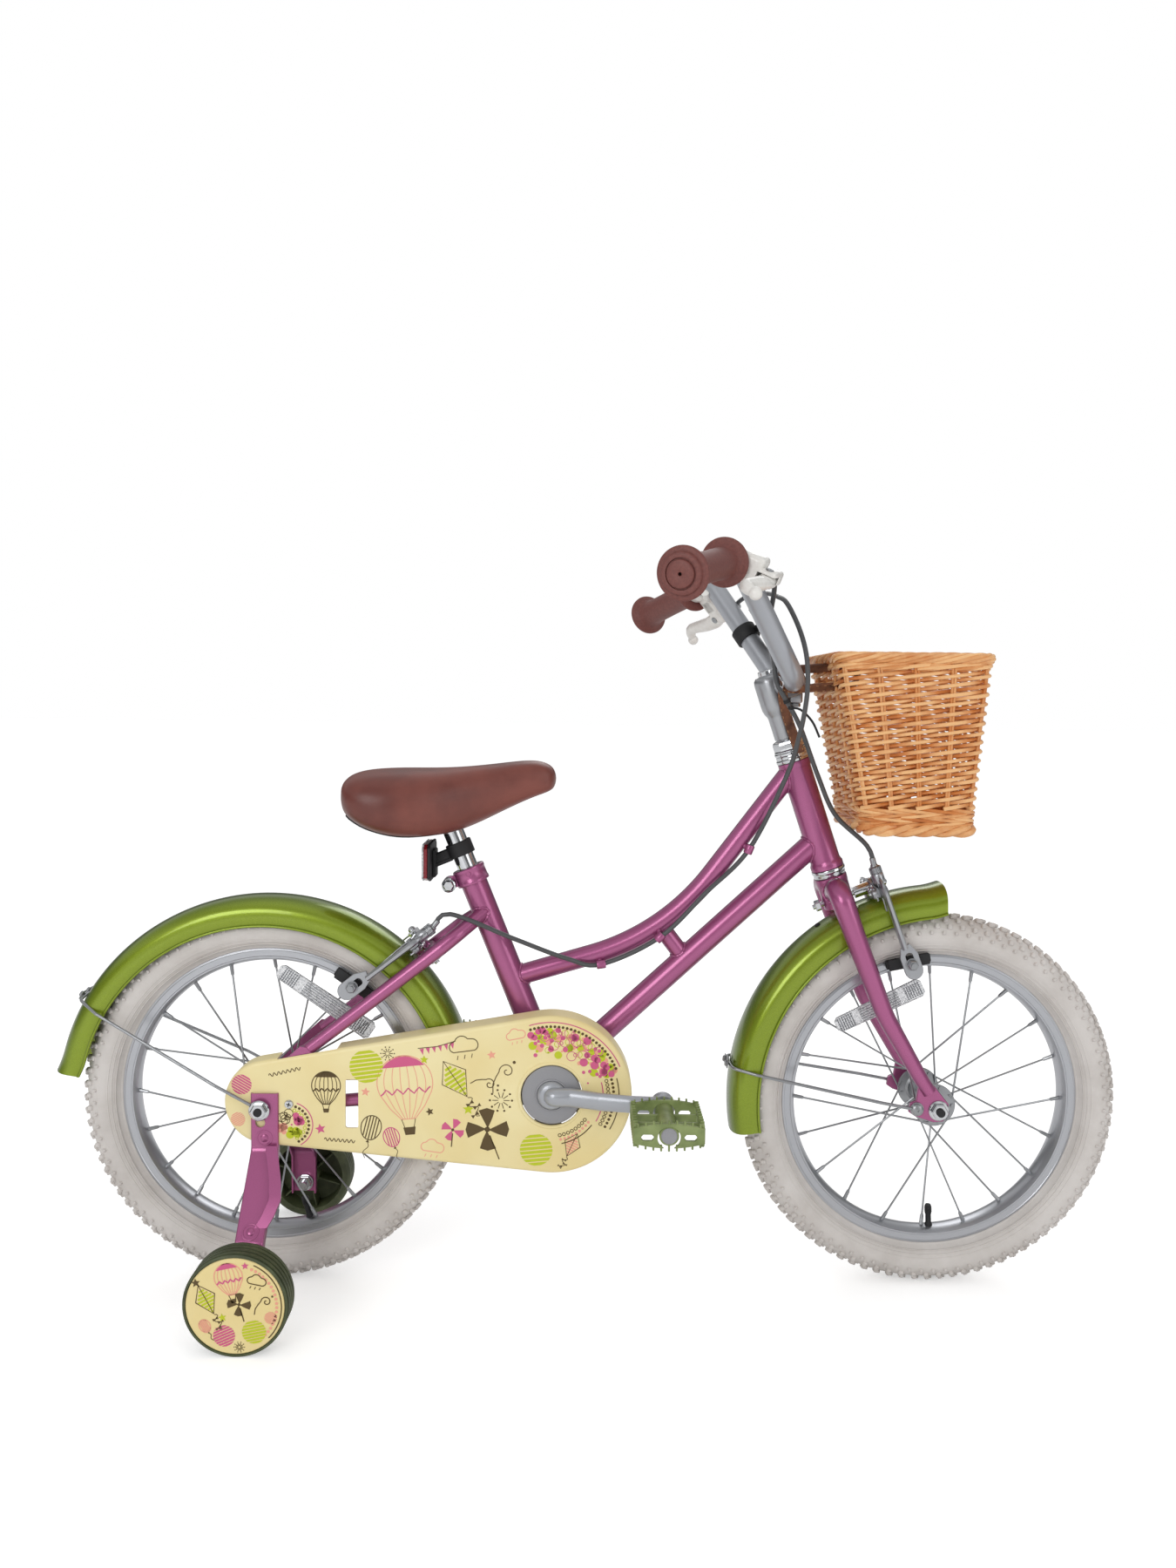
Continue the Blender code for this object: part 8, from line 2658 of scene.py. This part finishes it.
def capped_end(path, first):
    """The crimped metal cap over one end of a sleeve."""
    at = path[0] if first else path[-1]
    way = (at - (path[1] if first else path[-2])).normalized()
    return lathe([(0.0, -0.01), (0.0028, -0.01), (0.0031, -0.0094), (0.0031, -0.0005),
                  (0.0026, 0.0), (0.0, 0.0)], 20, at, way)


def cable(name, route, pivot, down, out):
    """The sleeve, which ends at the brake's adjuster, and its two caps."""
    mouth = pivot + RIGHT * 0.03 - down * 0.025 + out * 0.0066
    path = eased([spot(*point) for point in route] + [mouth - down * 0.024, mouth], 0.006)
    outer = joined(name + "_sleeve", [rod(path, CABLE_RADIUS, 12)], sleeve, 50)
    caps = joined(name + "_caps", [capped_end(path, True), capped_end(path, False)], zinc, 40)
    return outer, caps, path


rear_sleeve, rear_caps, rear_path = cable("rear_cable", REAR_ROUTE, REAR_PIVOT, REAR_DOWN,
                                          BRIDGE_OUT)
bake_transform(rear_sleeve)
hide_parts("rear_brake_cable")
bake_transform(rear_caps)
front_sleeve, front_caps, front_path = cable("front_cable", FRONT_ROUTE, FRONT_PIVOT,
                                             FRONT_DOWN, FORK_OUT)
mounted(front_sleeve, "steering", "cable_sleeve", "front_brake_cable")
mounted(front_caps, "steering", "grey_steel")


def inner_wire(name, body, path, far):
    """The bare wire that runs on from the sleeve's end into the adjuster."""
    wire = [rod([path[-1] - (path[-1] - path[-2]).normalized() * 0.002, far], 0.0008, 8)]
    mounted(joined(name, wire, zinc, 40), body, "grey_steel")


inner_wire("rear_inner_wire", "frame", rear_path, REAR_PIVOT + RIGHT * 0.03
           - REAR_DOWN * 0.021 + BRIDGE_OUT * 0.0066)
inner_wire("front_inner_wire", "steering", front_path, FRONT_PIVOT + RIGHT * 0.03
           - FRONT_DOWN * 0.021 + FORK_OUT * 0.0066)

# Cable tie: a black nylon strap that holds the front cable to the rear one, its end left long
tie_at = spot(0.546, -0.037, 0.6265)
tie = [rod(eased([tie_at, tie_at + Vector((0.01, -0.004, -0.002)), tie_at
                  + Vector((0.021, -0.01, -0.014)), tie_at + Vector((0.028, -0.014, -0.03))],
                 0.004), 0.0012, 8), slab((0.0052, 0.0046, 0.004), tie_at, edge=0.0008)]
ring_way = (front_path[len(front_path) * 5 // 8] - front_path[len(front_path) * 5 // 8 - 1])
tie.append(lathe([(0.0026, -0.0018), (0.0036, -0.0018), (0.0036, 0.0018), (0.0026, 0.0018)], 20,
                 spot(0.542, -0.037, 0.633), ring_way))
mounted(joined("cable_tie", tie, black_rubber, 40), "steering", "black_plastic")
